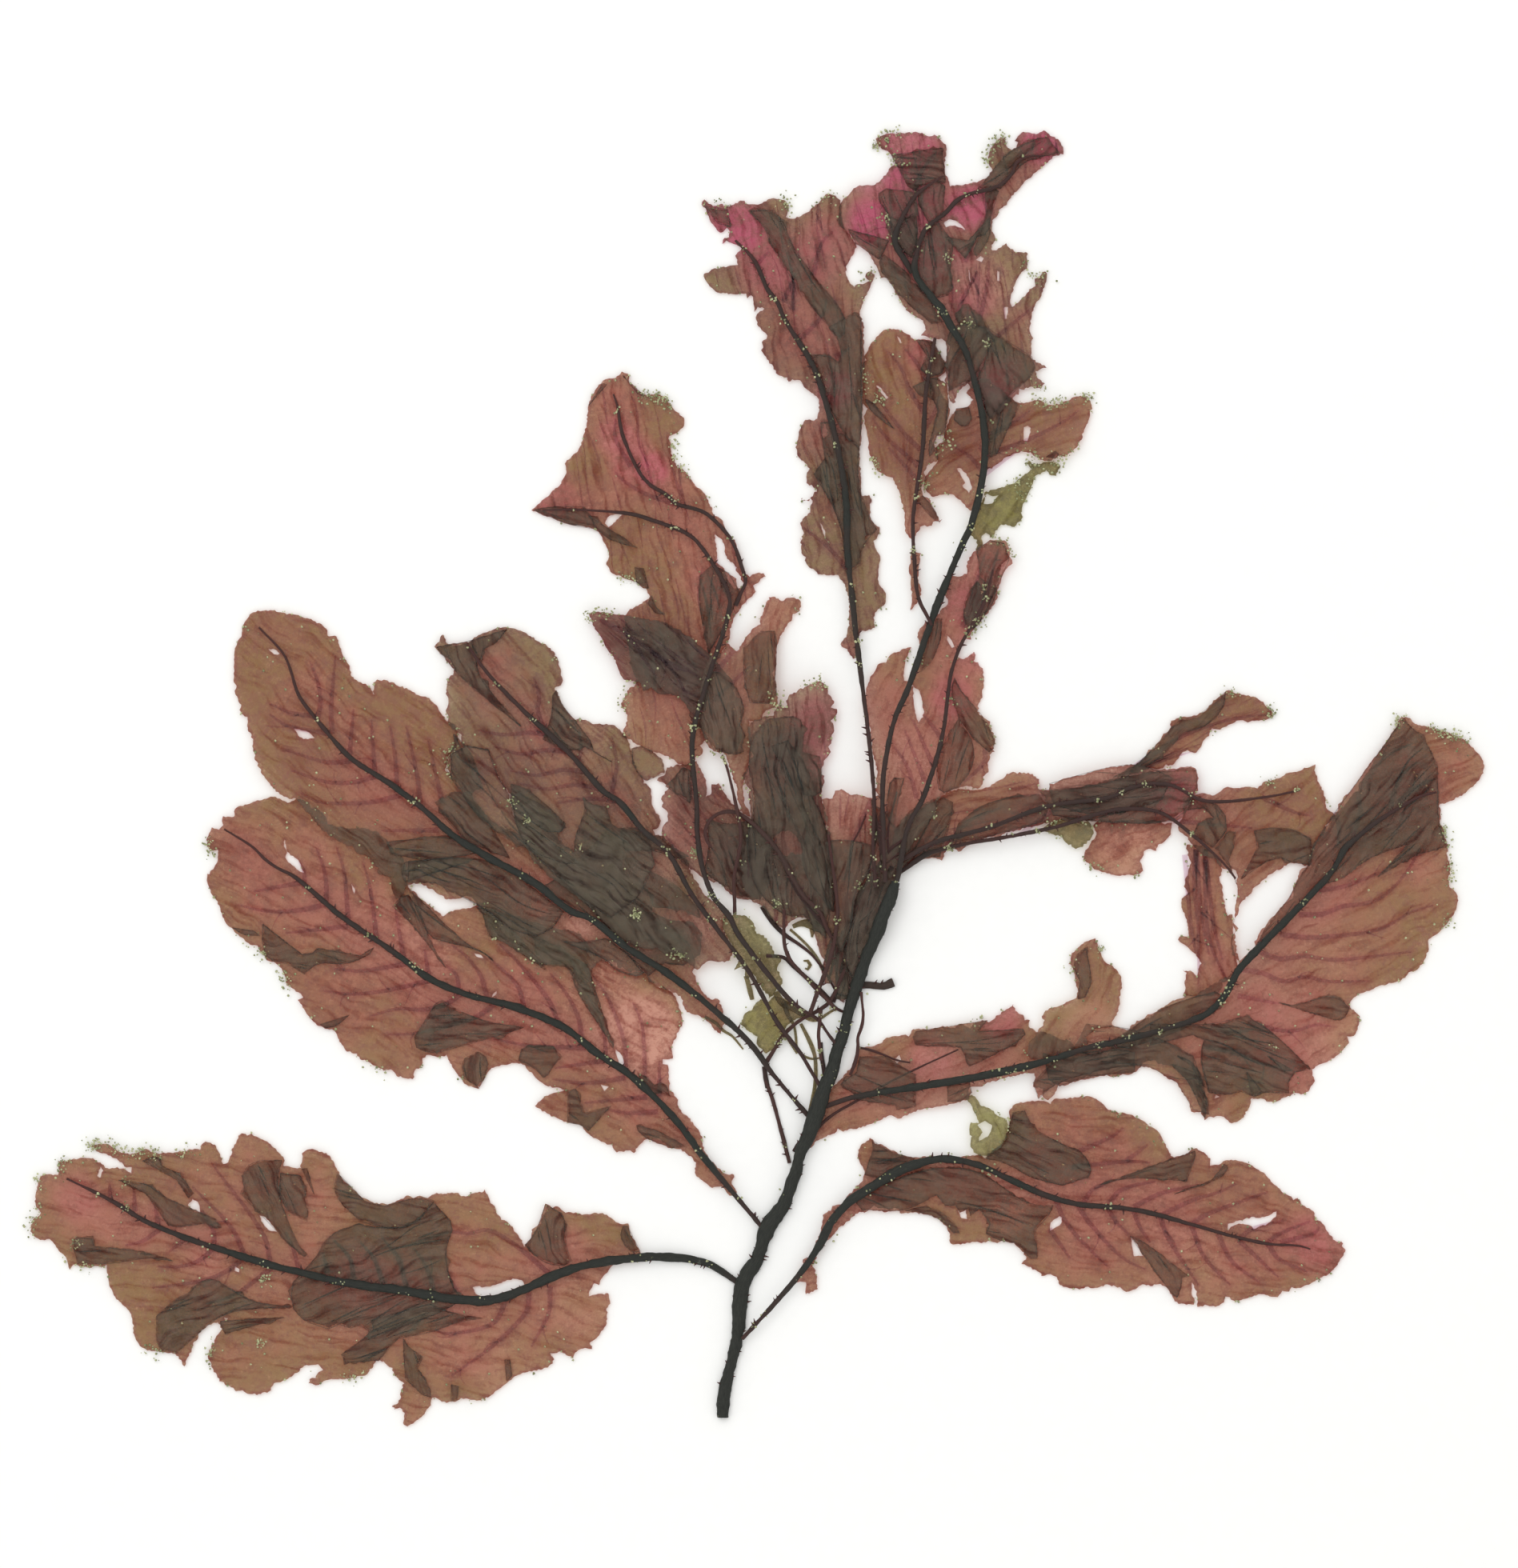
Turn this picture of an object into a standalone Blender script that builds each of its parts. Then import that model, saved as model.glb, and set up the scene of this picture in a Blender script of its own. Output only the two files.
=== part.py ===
"""Pressed tokidadendron bullatum: a branching stipe, its midribs and broad thin blades.

Lengths in the tables are millimetres in plan, taken off the photograph at one scale; the meshes are
built in metres. +X runs to the right of the specimen, +Y to its tips, +Z up from the surface it
lies on. Every blade and stem is its own closed body, laid on what lies under it with a small gap.
"""
import math
from dataclasses import dataclass, field

import bpy
import numpy as np
from mathutils import Vector
from mathutils.geometry import delaunay_2d_cdt

MILLIMETRE = 0.001
BLADE_THICKNESS_MM = 0.35
LAYER_GAP_MM = 0.3
BLADE_MESH_STEP_MM = 5.5
STEM_HEIGHT_TO_WIDTH = 0.62
BLADE_WAVE_MM = 0.35
BLADE_WAVE_LENGTH_MM = 31.0
GROUND_CELL_MM = 0.5
GROUND_LOW_MM = (-140.0, -126.0)
GROUND_SIZE_MM = (282.0, 252.0)
FOOTPRINT_MARGIN_MM = 0.45

OLIVE_BROWN = (0.16, 0.11, 0.055)
ROSEWOOD = (0.21, 0.062, 0.05)
DUSKY_RED = (0.16, 0.043, 0.04)
STIPE_BLACK = (0.018, 0.022, 0.019)
REDDISH_STEM = (0.09, 0.034, 0.026)

LOWER_LEFT_BLADE_OUTLINE = [
    (-130.5, -71.8), (-124.9, -71.1), (-117.2, -73.8), (-119.5, -71.8), (-123.2, -70.2), (-125, -68.9),
    (-122.5, -68.2), (-121, -68.3), (-118, -70.2), (-116.5, -70.2), (-113.9, -69.4), (-112.7, -70),
    (-106, -69.7), (-104.1, -68.5), (-103.1, -68.5), (-101.8, -68.8), (-99.6, -72), (-99, -71.7),
    (-97.5, -68), (-96.6, -66.8), (-95.6, -66.3), (-94.7, -66.4), (-90.9, -68.6), (-88.5, -71.3),
    (-88.7, -72.7), (-85.05, -73.1), (-84.7, -70.5), (-83.4, -69.9), (-80.5, -70.4), (-79.2, -71.8),
    (-77.5, -75), (-73, -79), (-68.6, -79.9), (-66, -78.6), (-57.7, -77.7), (-56.2, -77.8),
    (-55.1, -78.5), (-50.7, -76.9), (-48.7, -81), (-44.9, -85), (-43.3, -87.6), (-40.8, -84.4),
    (-39.3, -79.7), (-38.5, -79.5), (-32.95, -81.6), (-29.8, -81.3), (-28.3, -81.7), (-27, -82.2),
    (-26.1, -83.1), (-24.6, -83.7), (-23.9, -83.5), (-23.4, -85.2), (-20.8, -89.4), (-22, -90.5),
    (-26.5, -91.3), (-29.3, -95), (-30.2, -94.6), (-31, -97), (-27.6, -96.5), (-27.4, -98),
    (-28, -99.3), (-27.8, -101), (-29.5, -104.6), (-31, -105.8), (-30.8, -106.8), (-32.3, -106.8),
    (-33.8, -107.6), (-34.2, -108.6), (-36.8, -107.5), (-38.3, -107.8), (-37.9, -108.9),
    (-38.7, -110.2), (-45.1, -112.2), (-49, -115.5), (-51.1, -116.4), (-53.4, -116.7), (-55.1, -116.4),
    (-56.4, -117.1), (-60.5, -116.2), (-60.7, -117.6), (-61.7, -119.1), (-65.2, -121.5), (-66, -120.8),
    (-66.1, -119.1), (-66.7, -118.1), (-67.7, -118.6), (-68.5, -117.6), (-67.3, -117.1),
    (-65.8, -113.4), (-67.1, -112.5), (-69.6, -109.1), (-71.1, -109.1), (-72, -111), (-75.8, -112.5),
    (-80.5, -112.8), (-82.4, -114), (-83.9, -113.4), (-83.3, -111.8), (-81.5, -110.9), (-84.1, -110),
    (-88.1, -113), (-90, -113.6), (-91.1, -115), (-92.4, -115.3), (-95.8, -115), (-97.9, -114.3),
    (-99.6, -113.2), (-101.6, -110.9), (-102.2, -107.9), (-99.9, -103.2), (-100.7, -101.7),
    (-103.9, -103.8), (-107, -110.1), (-108.8, -107.9), (-113.9, -107.1), (-116.1, -105.3),
    (-117.3, -100.2), (-119.9, -97.2), (-121, -94.2), (-121.4, -91), (-125.2, -91.6), (-127.8, -91.2),
    (-128.5, -91.9), (-131.6, -86.8), (-132.5, -86.3), (-134, -86.5), (-134.8, -86.1), (-135.5, -84.8),
    (-135.6, -83.3), (-134.3, -81.4), (-134.8, -79.9), (-134, -74.9), (-133.1, -74.2), (-131.6, -74.4),
    (-130.3, -73.5),
]
MIDDLE_LEFT_BLADE_OUTLINE = [
    (-97.7, -7.1), (-97.5, -5.8), (-94.9, -4.6), (-90.9, -3.6), (-87.7, -4.5), (-86.1, -4.1),
    (-84.5, -4.5), (-82.5, -5.5), (-80.9, -6.9), (-79.7, -8.7), (-76.9, -9.5), (-71.7, -9.9),
    (-68.1, -12.9), (-65.8, -16), (-65.5, -19.5), (-58.5, -26), (-57, -25), (-52.5, -23.9), (-38, -28),
    (-33, -29), (-29.5, -33.5), (-24, -36.5), (-21.5, -36.3), (-20, -37.5), (-19, -39), (-15.8, -40),
    (-14, -44), (-13.8, -46), (-14.5, -47.5), (-15.5, -52.5), (-17, -52.8), (-16.2, -54), (-16, -57.5),
    (-15.3, -58.5), (-14.3, -62), (-10.2, -66.8), (-9.5, -70), (-6.3, -73.3), (-4, -74.3), (-4.1, -76),
    (-3.4, -77.6), (-4.4, -78.3), (-6.8, -76.5), (-8.5, -76.6), (-9.5, -76), (-10.8, -75),
    (-11.5, -73.5), (-11.2, -72), (-12.5, -70.7), (-16, -69.2), (-20.5, -67.7), (-21.8, -68.5),
    (-22.7, -70.2), (-24.3, -69.8), (-26, -70.1), (-27.5, -68.7), (-31, -67), (-33, -64.8),
    (-35.2, -64.5), (-39.5, -62.5), (-41.2, -61.4), (-40, -60.2), (-35.3, -58.4), (-38.5, -57.8),
    (-43.5, -54), (-48, -53.7), (-49.5, -54.2), (-50.5, -55.2), (-51.7, -58.3), (-54.7, -56.7),
    (-57.2, -53), (-57.6, -51.5), (-60, -52), (-61.3, -51.7), (-62.3, -52.5), (-62.8, -54),
    (-63.8, -54.8), (-64.3, -56.3), (-66.5, -56), (-69, -55), (-75, -52), (-78, -49), (-79, -47),
    (-80.6, -46.9), (-81.8, -46.3), (-83.3, -44.8), (-85.8, -41.5), (-85.5, -40.5), (-88.2, -38.3),
    (-88.2, -37), (-90.7, -34.3), (-94.5, -31.5), (-100.1, -25.9), (-100.7, -23.5), (-102.7, -19.9),
    (-103.1, -17.9), (-102.1, -17.5), (-100.7, -14.8), (-100.7, -13.3), (-102.3, -13.8),
    (-102.7, -12.3), (-101.9, -9.1), (-100.5, -8.7), (-99.7, -7.2),
]
UPPER_LEFT_BLADE_OUTLINE = [
    (-94.9, 30.2), (-94.3, 30.9), (-92.8, 31.3), (-90.4, 31.4), (-83.2, 29.9), (-78.5, 27),
    (-77.1, 22.5), (-76.1, 21.1), (-75.7, 19.1), (-72.2, 16.9), (-71.3, 15.5), (-71.6, 17.9),
    (-70.3, 18.4), (-66.1, 17.2), (-60.5, 14.1), (-59.1, 12.3), (-57.3, 10.9), (-56.1, 8.5),
    (-56.1, 6.1), (-57.7, 4.3), (-58.1, 1.7), (-50, -7), (-46, -9.5), (-38, -12.5), (-34, -14.5),
    (-24, -21.5), (-20, -25), (-15, -28.5), (-12.5, -31), (-11.5, -34), (-11.3, -37), (-10.2, -39.8),
    (-9, -41), (-7.2, -41.5), (-5.8, -45.2), (-6.6, -47.7), (-9.5, -45.2), (-13.2, -43.2), (-14.3, -41),
    (-20, -38), (-21.5, -36.2), (-25.7, -36), (-27.5, -34.5), (-29, -34.3), (-30.5, -36.5),
    (-26.7, -50.3), (-28.5, -47), (-33, -40.5), (-33.7, -38), (-35.5, -35.5), (-41.3, -34.3),
    (-46.5, -31), (-49.5, -30), (-50.3, -27.5), (-52.3, -23.8), (-55, -22.4), (-57.5, -22.7),
    (-62, -20), (-65.2, -19.7), (-66, -21.8), (-67.3, -22.3), (-67.9, -21.1), (-68.1, -19.1),
    (-69.3, -18.1), (-71.1, -17.7), (-72.7, -14.7), (-74.5, -14.3), (-75.3, -13.3), (-82.1, -8.7),
    (-86.1, -3.5), (-87.3, -3.7), (-89.7, -2.3), (-92.9, 2.5), (-95.1, 10.1), (-96.3, 12.1),
    (-97.3, 15.3), (-97.9, 18.9), (-97.1, 25), (-96, 27.2), (-95.8, 28.9),
]
INNER_LEFT_BLADE_OUTLINE = [
    (-60, 24.7), (-58.5, 27.1), (-58, 25.7), (-56.7, 24.8), (-46.4, 28.3), (-41.6, 26.3), (-39.2, 24.8),
    (-37.7, 23.3), (-36.4, 19.4), (-36.8, 17.7), (-37.7, 17), (-34.5, 11.1), (-32.2, 11.1), (-30, 10.3),
    (-27.5, 10.3), (-24.3, 8.5), (-22, 1), (-20.3, -0.5), (-19.5, -4.9), (-18, -6.5), (-18, -8.3),
    (-19, -9.6), (-15, -13), (-12.8, -15.5), (-9.5, -21.5), (-5.3, -25.5), (-6.2, -28), (-4, -32.5),
    (-5, -34.1), (-8.8, -34.3), (-10.9, -35.6), (-15, -33), (-19, -32.5), (-24, -30.5), (-28, -27.5),
    (-32, -23.5), (-40, -17), (-43, -13), (-45, -9), (-45.7, -3.6), (-47.6, -1), (-50, 5.3),
    (-54.5, 6.2), (-55.3, 8.5), (-57.2, 10.1), (-57.8, 16.9), (-57.4, 19.1), (-56.5, 19.8),
    (-56.7, 20.8),
]
WING_BLADE_OUTLINE = [
    (-42, 50.3), (-36.4, 55.7), (-35.4, 57.6), (-35.8, 59), (-33, 61.9), (-31.5, 68), (-31.4, 70),
    (-28.5, 74.5), (-25.8, 75.1), (-25, 76), (-24.2, 75.5), (-21.5, 72), (-17.9, 71.4), (-13.6, 67.5),
    (-13.8, 66.2), (-15.6, 63.5), (-15.7, 62), (-15, 60.3), (-7.6, 50.4), (-5.5, 46.9), (-5.3, 45.2),
    (-3.8, 44.8), (-2.5, 39.9), (-1, 38), (0.3, 38.5), (1.5, 38.4), (2.2, 37.8), (-0.2, 36.1),
    (0.2, 35), (-3.8, 29.9), (-5.3, 25.2), (-7.5, 21.5), (-9, 17), (-9.8, 12), (-9.5, 8), (-10, 5),
    (-10.8, 3.5), (-13.1, 2.4), (-16.9, 4.5), (-20.3, 5.3), (-23.3, 7.5), (-24.7, 7.9), (-24.1, 12.2),
    (-24.9, 13.7), (-23.8, 16.7), (-22.8, 17.7), (-24.5, 30.5), (-19.8, 34.1), (-22.1, 36.7),
    (-26.6, 38.6), (-27.9, 40.1), (-27.5, 42), (-30, 46.3), (-34.3, 47.4),
]
WING_RIGHT_LOBE_OUTLINE = [
    (-8.8, 22), (-6.6, 23.6), (-5.3, 25.2), (-3.6, 24.1), (0.7, 29.9), (2.4, 34.1), (4.1, 34.1),
    (4.9, 33.1), (6.4, 33.9), (8.15, 33.7), (8.4, 32.6), (7.7, 30.7), (4.7, 27.1), (4.1, 25.2),
    (3.9, 18.8), (4.3, 13.5), (1.5, 12.2), (1, 11.1), (-1.3, 10.8), (-0.8, 6.5), (-1, 4), (-2.4, -2.5),
    (-1, -7), (-2.6, -6.2), (-3.4, -2.5), (-5.8, 4.6), (-8, 5), (-10, 8), (-10.5, 13),
]
DARK_LEAF_OUTLINE = [
    (-31.3, 30.9), (-29.6, 31.2), (-17.2, 29.2), (-14.7, 28.2), (-12.5, 26.7), (-5.3, 19.6),
    (-3.8, 17.9), (-2.7, 15.8), (-2.3, 13.7), (-2.8, 10), (-2.5, 8), (-2.8, 6.2), (-3.5, 5),
    (-6.5, 4.6), (-7.5, 5.5), (-8, 7.5), (-9.5, 9), (-10.8, 9.5), (-13, 13.7), (-14.2, 15), (-16, 15.5),
    (-19.7, 15.6), (-21.3, 16.2), (-21.5, 17.9), (-24.9, 18.8), (-26.4, 22), (-30.7, 29),
]
CENTRE_LEAF_OUTLINE = [
    (-18.2, -0.3), (-16.2, 2.2), (-12.5, 2.6), (-11, 3.3), (-9.1, -1), (-9.3, -3.5), (-8.2, -2.9),
    (-8, -1.3), (-7, -1.1), (-4.6, -4.6), (0.5, -9), (2, -12), (3, -16), (2.5, -20), (1, -23),
    (-3, -22.6), (-6.7, -19.7), (-8.5, -19.3), (-11.5, -17.5), (-14.5, -15), (-16.2, -12),
    (-17.4, -11.4), (-17.3, -9.2), (-16.4, -8), (-17.8, -4.6), (-16.4, -1.4),
]
BUNDLE_BLADE_OUTLINE = [
    (-1.3, 9.5), (1, 11.2), (3.5, 11.5), (4.2, 13.5), (5.5, 13.8), (7, 15.8), (12, 18), (13.3, 17),
    (14.9, 14), (14.2, 13.3), (15, 12.8), (13.9, 5.5), (12.3, 2), (12.8, 0), (12.2, -3.8), (12.9, -5),
    (13.8, -9), (14.8, -18), (15.4, -30), (15, -35), (13.5, -34.5), (10, -26), (8, -26), (6.5, -27),
    (5.5, -28.5), (3.5, -27), (1, -23.5), (-1, -22.5), (-2, -20), (-2.7, -15), (-1, -8), (-1.6, -2),
    (-2.5, 0.5), (-1.2, 3), (-0.8, 6),
]
SHEATH_BLADE_OUTLINE = [
    (12.5, -4), (15, -2.5), (16.5, -2.3), (22, -3.8), (22.5, -12), (21.2, -17.8), (19.5, -20),
    (18.5, -23), (18.3, -27), (17.5, -30), (16, -33), (15, -30), (15.3, -25), (15, -21), (14, -17),
    (13.8, -12),
]
CENTRE_BLADE_OUTLINE = [
    (23.5, -15), (21.6, -6), (22.5, 0), (20.5, 15), (21.5, 19), (24, 22.3), (27, 24), (29.3, 24.6),
    (28.5, 23), (27.8, 19.3), (28.6, 18.6), (29.7, 20), (31.2, 24.5), (30.5, 26.5), (31.2, 28.3),
    (35, 31.5), (35.4, 34), (35, 37.8), (39.5, 38.5), (40.2, 41.3), (42.5, 43), (43.5, 44.3),
    (45.5, 44.7), (47, 44.5), (47.8, 42.5), (47.5, 41), (46.3, 39.8), (44.8, 33.3), (40.8, 27.5),
    (40.5, 26), (39.3, 26.2), (38, 22.8), (39, 22.5), (41, 23.9), (41.3, 22.7), (40.3, 21.7),
    (41.6, 21.5), (42.3, 20.5), (42.6, 19), (41.9, 14.5), (42, 12), (43.2, 11), (44.8, 7.3), (44.8, 5),
    (43.7, 4.5), (43.5, 2), (42, -1.7), (38.5, -1.8), (36, -2.5), (34, -4.5), (33.5, -7), (31, -10),
    (25, -19),
]
BRANCH_BLADE_OUTLINE = [
    (26.5, -18), (25.5, -15), (26, -10), (28, -7), (35, -3), (38, -2), (41.5, -2), (46, -0.2),
    (47.5, 0.8), (49.5, 1), (51.5, 0.8), (53, -0.2), (52.9, -2), (56, -2.1), (64.5, -0.9), (73, 1.3),
    (81.5, 2.3), (83, 1.7), (82.9, -1.5), (82, -4), (79.7, -7.5), (78, -8.2), (70, -8.6), (58, -8),
    (52, -9), (36, -12.5), (34.8, -15.2), (33.4, -14.9), (31, -15.2),
]
BRANCH_HORN_OUTLINE = [
    (66, -0.5), (71.5, 2.8), (77, 8.7), (78, 10.7), (83, 12), (88.3, 16.7), (90, 15.7), (94, 15),
    (96.8, 12.5), (97.1, 11.6), (96, 11), (91, 10.6), (84.5, 7.5), (82.5, 5), (80.3, 4.5), (77.5, 2.1),
    (74, 1.7), (70, 0.3),
]
BRANCH_SCRAP_OUTLINE = [
    (53.5, -9.8), (55, -8.3), (57.5, -7.5), (60, -7.5), (62.5, -8.3), (63.5, -10), (63, -11),
    (60, -13.3), (58.8, -12.8), (57.5, -11.3),
]
BRANCH_FAN_OUTLINE = [
    (64, -8), (66, -7.6), (78, -8.4), (77.8, -10), (77, -11.5), (75.5, -12.5), (75, -13.5), (73, -14),
    (72, -15.2), (72.8, -17.4), (71.5, -18), (67.5, -18.2), (64, -17), (61.5, -15.2), (62, -13.5),
    (63.8, -10.5), (63.3, -9),
]
BRANCH_TIP_BLADE_OUTLINE = [
    (80, -5), (82, -3.2), (84, -2.8), (86, -3), (88.5, -1.6), (90, -2), (98, 0), (104.8, 2.4),
    (105.3, -0.5), (108.7, -7), (107, -9), (103.8, -16.5), (100.5, -16), (98, -17), (93, -21),
    (91, -23.5), (90.3, -25.5), (89.8, -31), (90.5, -34), (89.3, -33), (89.4, -28), (90.3, -20),
    (89.7, -18), (89, -17.2), (87.5, -17), (85, -15.3), (82.5, -13.3), (80.5, -11), (79.3, -9),
    (80, -7),
]
HANGING_BLADE_OUTLINE = [
    (80.5, -12), (84.5, -13), (87.5, -17), (87.2, -19), (88, -24.5), (88.5, -25.8), (89.4, -25.5),
    (89.5, -32), (90.5, -35), (89.5, -37.5), (87, -40), (83, -41), (80.2, -40.7), (80.7, -36.5),
    (80, -35.8), (81.5, -36), (82.7, -37), (83, -35), (82.8, -33.2), (79.4, -30.2), (79.9, -29.6),
    (81.2, -29.8), (81.3, -27.5), (79.8, -23.3), (81, -17.5),
]
RIGHT_BLADE_OUTLINE = [
    (9.8, -69.5), (11.5, -68), (16, -66), (20.5, -65), (25, -63.2), (27, -63.8), (28.8, -62.7),
    (38.3, -60.6), (40, -60), (40.2, -59.3), (41.5, -58.2), (44, -57), (50, -55.3), (52.3, -55.2),
    (52.5, -56), (52, -57.8), (53.8, -58.2), (54, -59.5), (54.8, -60.2), (57, -58), (59.5, -56.9),
    (65, -55.8), (71, -55.3), (73, -53.4), (75, -53.3), (79, -54.8), (80.8, -56.8), (82.3, -59),
    (84.2, -64), (87, -63.2), (89.7, -64.4), (91.5, -63.5), (93, -59.8), (97, -60.5), (100.5, -59.2),
    (103, -59.1), (104.8, -57.2), (104.3, -54.5), (108.5, -52.5), (111.5, -49.3), (112.8, -47),
    (113.3, -45), (112.8, -43.8), (111.5, -42.8), (112, -41.5), (117, -39), (121, -37.8),
    (122.5, -36.5), (124, -36), (125, -34.8), (126.5, -31.2), (131.3, -24.5), (131.6, -22.5),
    (130.8, -20.8), (130, -20.4), (130.3, -16), (129.5, -14), (129.9, -12.7), (128.8, -9),
    (128.3, -4.8), (132, -3.3), (135.8, -0.2), (136.6, 1.7), (136, 3.5), (132.8, 7), (127, 9.3),
    (123.5, 10), (122.5, 11), (121, 11.4), (112, -2.5), (105, -12), (103.5, -16.5), (102.2, -17.5),
    (99.5, -22.5), (95.5, -27.5), (92, -33), (88, -37.5), (78, -42), (74, -45), (71.5, -45.6),
    (67.5, -48.8), (65, -49.3), (62.3, -49.8), (51.5, -46.8), (51.2, -45), (48.8, -43.5), (48.3, -42.3),
    (43.5, -45), (32, -47), (29.5, -46.9), (28.8, -48.5), (27, -48.3), (25, -48.7), (23, -49.8),
    (19.5, -50.5), (17.5, -55), (13.5, -59), (11, -64.5),
]
CURLED_BLADE_OUTLINE = [
    (53.5, -45), (53.9, -46.3), (51, -50), (50.5, -52), (52.5, -53.5), (62.3, -49.8), (62.3, -48.6),
    (64, -46.8), (66.5, -46.5), (67.4, -45), (68.5, -41), (68.4, -36.5), (65.5, -34), (63.7, -30),
    (62, -30.5), (60, -31.8), (59, -33), (58.5, -34.8), (59.5, -36), (60.2, -38), (60.5, -40),
    (60, -41), (56.5, -43.2), (54.5, -43.8),
]
LOWER_RIGHT_BLADE_OUTLINE = [
    (8.5, -92.2), (9, -90.3), (10, -89.5), (12.3, -84.8), (13.3, -81.2), (18.8, -76.9), (20, -75),
    (20.3, -74.3), (19.2, -70.8), (19.6, -69), (21.4, -67.3), (25.5, -69.7), (30, -70.9), (44, -70),
    (46.3, -68), (47.4, -66), (47.7, -62.5), (48.5, -61), (54, -60.5), (55.3, -61), (56, -60.2),
    (58, -60), (63.5, -59.9), (68, -62.6), (69.5, -62.8), (75, -66.2), (78.3, -71), (79, -71.2),
    (82.7, -69.3), (86.8, -72.6), (88.2, -71.8), (92.5, -72.4), (100.8, -79.2), (101.6, -78.7),
    (102.9, -80.6), (104, -81.1), (104.6, -82.4), (106.3, -83.9), (108.2, -86.5), (110.2, -87.1),
    (110.4, -88), (109.2, -90.8), (106.5, -93.3), (100.5, -96.3), (97.5, -97.1), (94.5, -96.6),
    (90, -97.9), (88, -97), (87.8, -98.2), (86.5, -98.8), (83, -98.9), (81.8, -94.8), (82.1, -98.6),
    (81.5, -98.7), (79, -98.1), (77, -95.2), (75.5, -94.9), (74, -95.1), (72.5, -94.7), (69.5, -95.8),
    (67.5, -95.1), (65.5, -95), (60, -95.8), (57, -95), (56.5, -93.5), (55, -92.8), (53.6, -93.3),
    (53, -92.2), (50, -91), (50.8, -90.3), (48.8, -87.4), (42, -86.7), (37.5, -87.2), (36.8, -87),
    (36.7, -85), (35.5, -83.3), (33.5, -82.1), (31, -81.6), (27, -81.6), (26.7, -80.9), (21.5, -80.6),
    (17.8, -82.3), (15.6, -84.2), (11.5, -90.3), (11.9, -95.8), (9.4, -96.8), (7.4, -94.6),
]
OLIVE_SCRAP_RIGHT_OUTLINE = [
    (39.3, -60), (40.5, -59.2), (47.3, -64.1), (47, -67.5), (45.5, -69.3), (43, -70.6), (41.3, -70.2),
    (40.2, -69), (41, -67), (40.2, -66.2), (40.4, -64.5), (41.8, -64.6), (41, -61.8),
]
LEFT_TOP_BLADE_OUTLINE = [
    (-10, 107.5), (-9.5, 108.2), (-8, 107.3), (-6.5, 108), (-5, 107.3), (-3.5, 108.2), (-2.5, 108.3),
    (-1.3, 107.7), (0.5, 107.5), (3, 108.9), (4.5, 108.8), (5.8, 108.3), (6.5, 107), (5.8, 105.3),
    (7.5, 105), (11.3, 107.5), (13.2, 109.5), (14.5, 109.3), (15.5, 108.5), (17, 103), (19, 100),
    (16.8, 95), (17.3, 93.5), (18.5, 92), (19.5, 93), (20, 94.3), (21.8, 95.2), (22.4, 94.5),
    (19.5, 87), (20, 86), (20, 66), (19.4, 58), (19.8, 52.8), (21.3, 53), (21.8, 52.3), (21.3, 51),
    (21.4, 49.5), (22, 48), (23, 47), (23, 46), (22, 44.5), (23.2, 42), (22.8, 37.3), (23.2, 36),
    (24.3, 35), (24.5, 34), (24, 32.5), (23, 31.7), (22.4, 30.5), (22.4, 28.3), (19.8, 27.6),
    (18.8, 22.8), (18.3, 22.5), (17.5, 24), (16.1, 25.2), (17.4, 28), (17.6, 31), (16.4, 36.2),
    (15.5, 38), (11.8, 38.4), (10.5, 39.5), (8.8, 41.5), (8.2, 44.5), (8.4, 45.5), (9, 46), (8.5, 47.5),
    (9, 49), (10, 50), (10.5, 52.5), (9, 52.2), (8.2, 52.7), (11, 53.2), (12, 54.3), (9.7, 55),
    (9.5, 56.5), (10, 58), (7.8, 60.5), (8.2, 64), (8.5, 65.7), (9.5, 66.9), (11.8, 67.2), (11.7, 71),
    (6.9, 74.8), (5.9, 74), (5.8, 75), (4.5, 75.2), (1.5, 79.5), (1, 81), (1.8, 83), (0.3, 85.5),
    (0.5, 87), (1.5, 88), (0.5, 88.2), (-0.2, 87.3), (-0.8, 90.5), (-1.5, 90), (-1.8, 90.8), (-6, 91),
    (-7.5, 91.5), (-9.3, 93.3), (-10, 94.5), (-8.5, 95.3), (-3.5, 96.4), (-3.8, 98), (-2.5, 99.3),
    (-3.5, 100.2), (-6.2, 100.2), (-5.8, 101.3), (-5, 101.5), (-5, 102.3), (-6.5, 102.5), (-8.5, 104.5),
]
SLENDER_BLADE_OUTLINE = [
    (26.3, 84.1), (24.5, 83.9), (23, 83), (21, 80), (20.3, 78.5), (20.2, 71.5), (22.3, 59),
    (23.5, 57.3), (25, 56.5), (27.8, 51), (28.3, 46), (29, 45.3), (29.3, 42), (28.9, 39.5),
    (29.6, 34.7), (29, 31.5), (30.5, 33), (31, 34.5), (30.6, 38), (31.3, 42.3), (30, 42.6),
    (30.2, 45.5), (31, 47), (32.5, 47.3), (33.2, 48.2), (35, 47.5), (32.8, 52), (31.5, 53),
    (31.3, 54.5), (32, 56), (31.5, 57.5), (32.5, 59), (33.8, 59.5), (34.5, 61), (33.5, 62.5),
    (33.8, 64), (35.5, 64), (36.5, 70), (35, 72), (34, 75), (35.5, 76), (36, 77.5), (34.5, 79.5),
    (33.5, 82), (30, 82.5), (28.5, 83.6),
]
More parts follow.
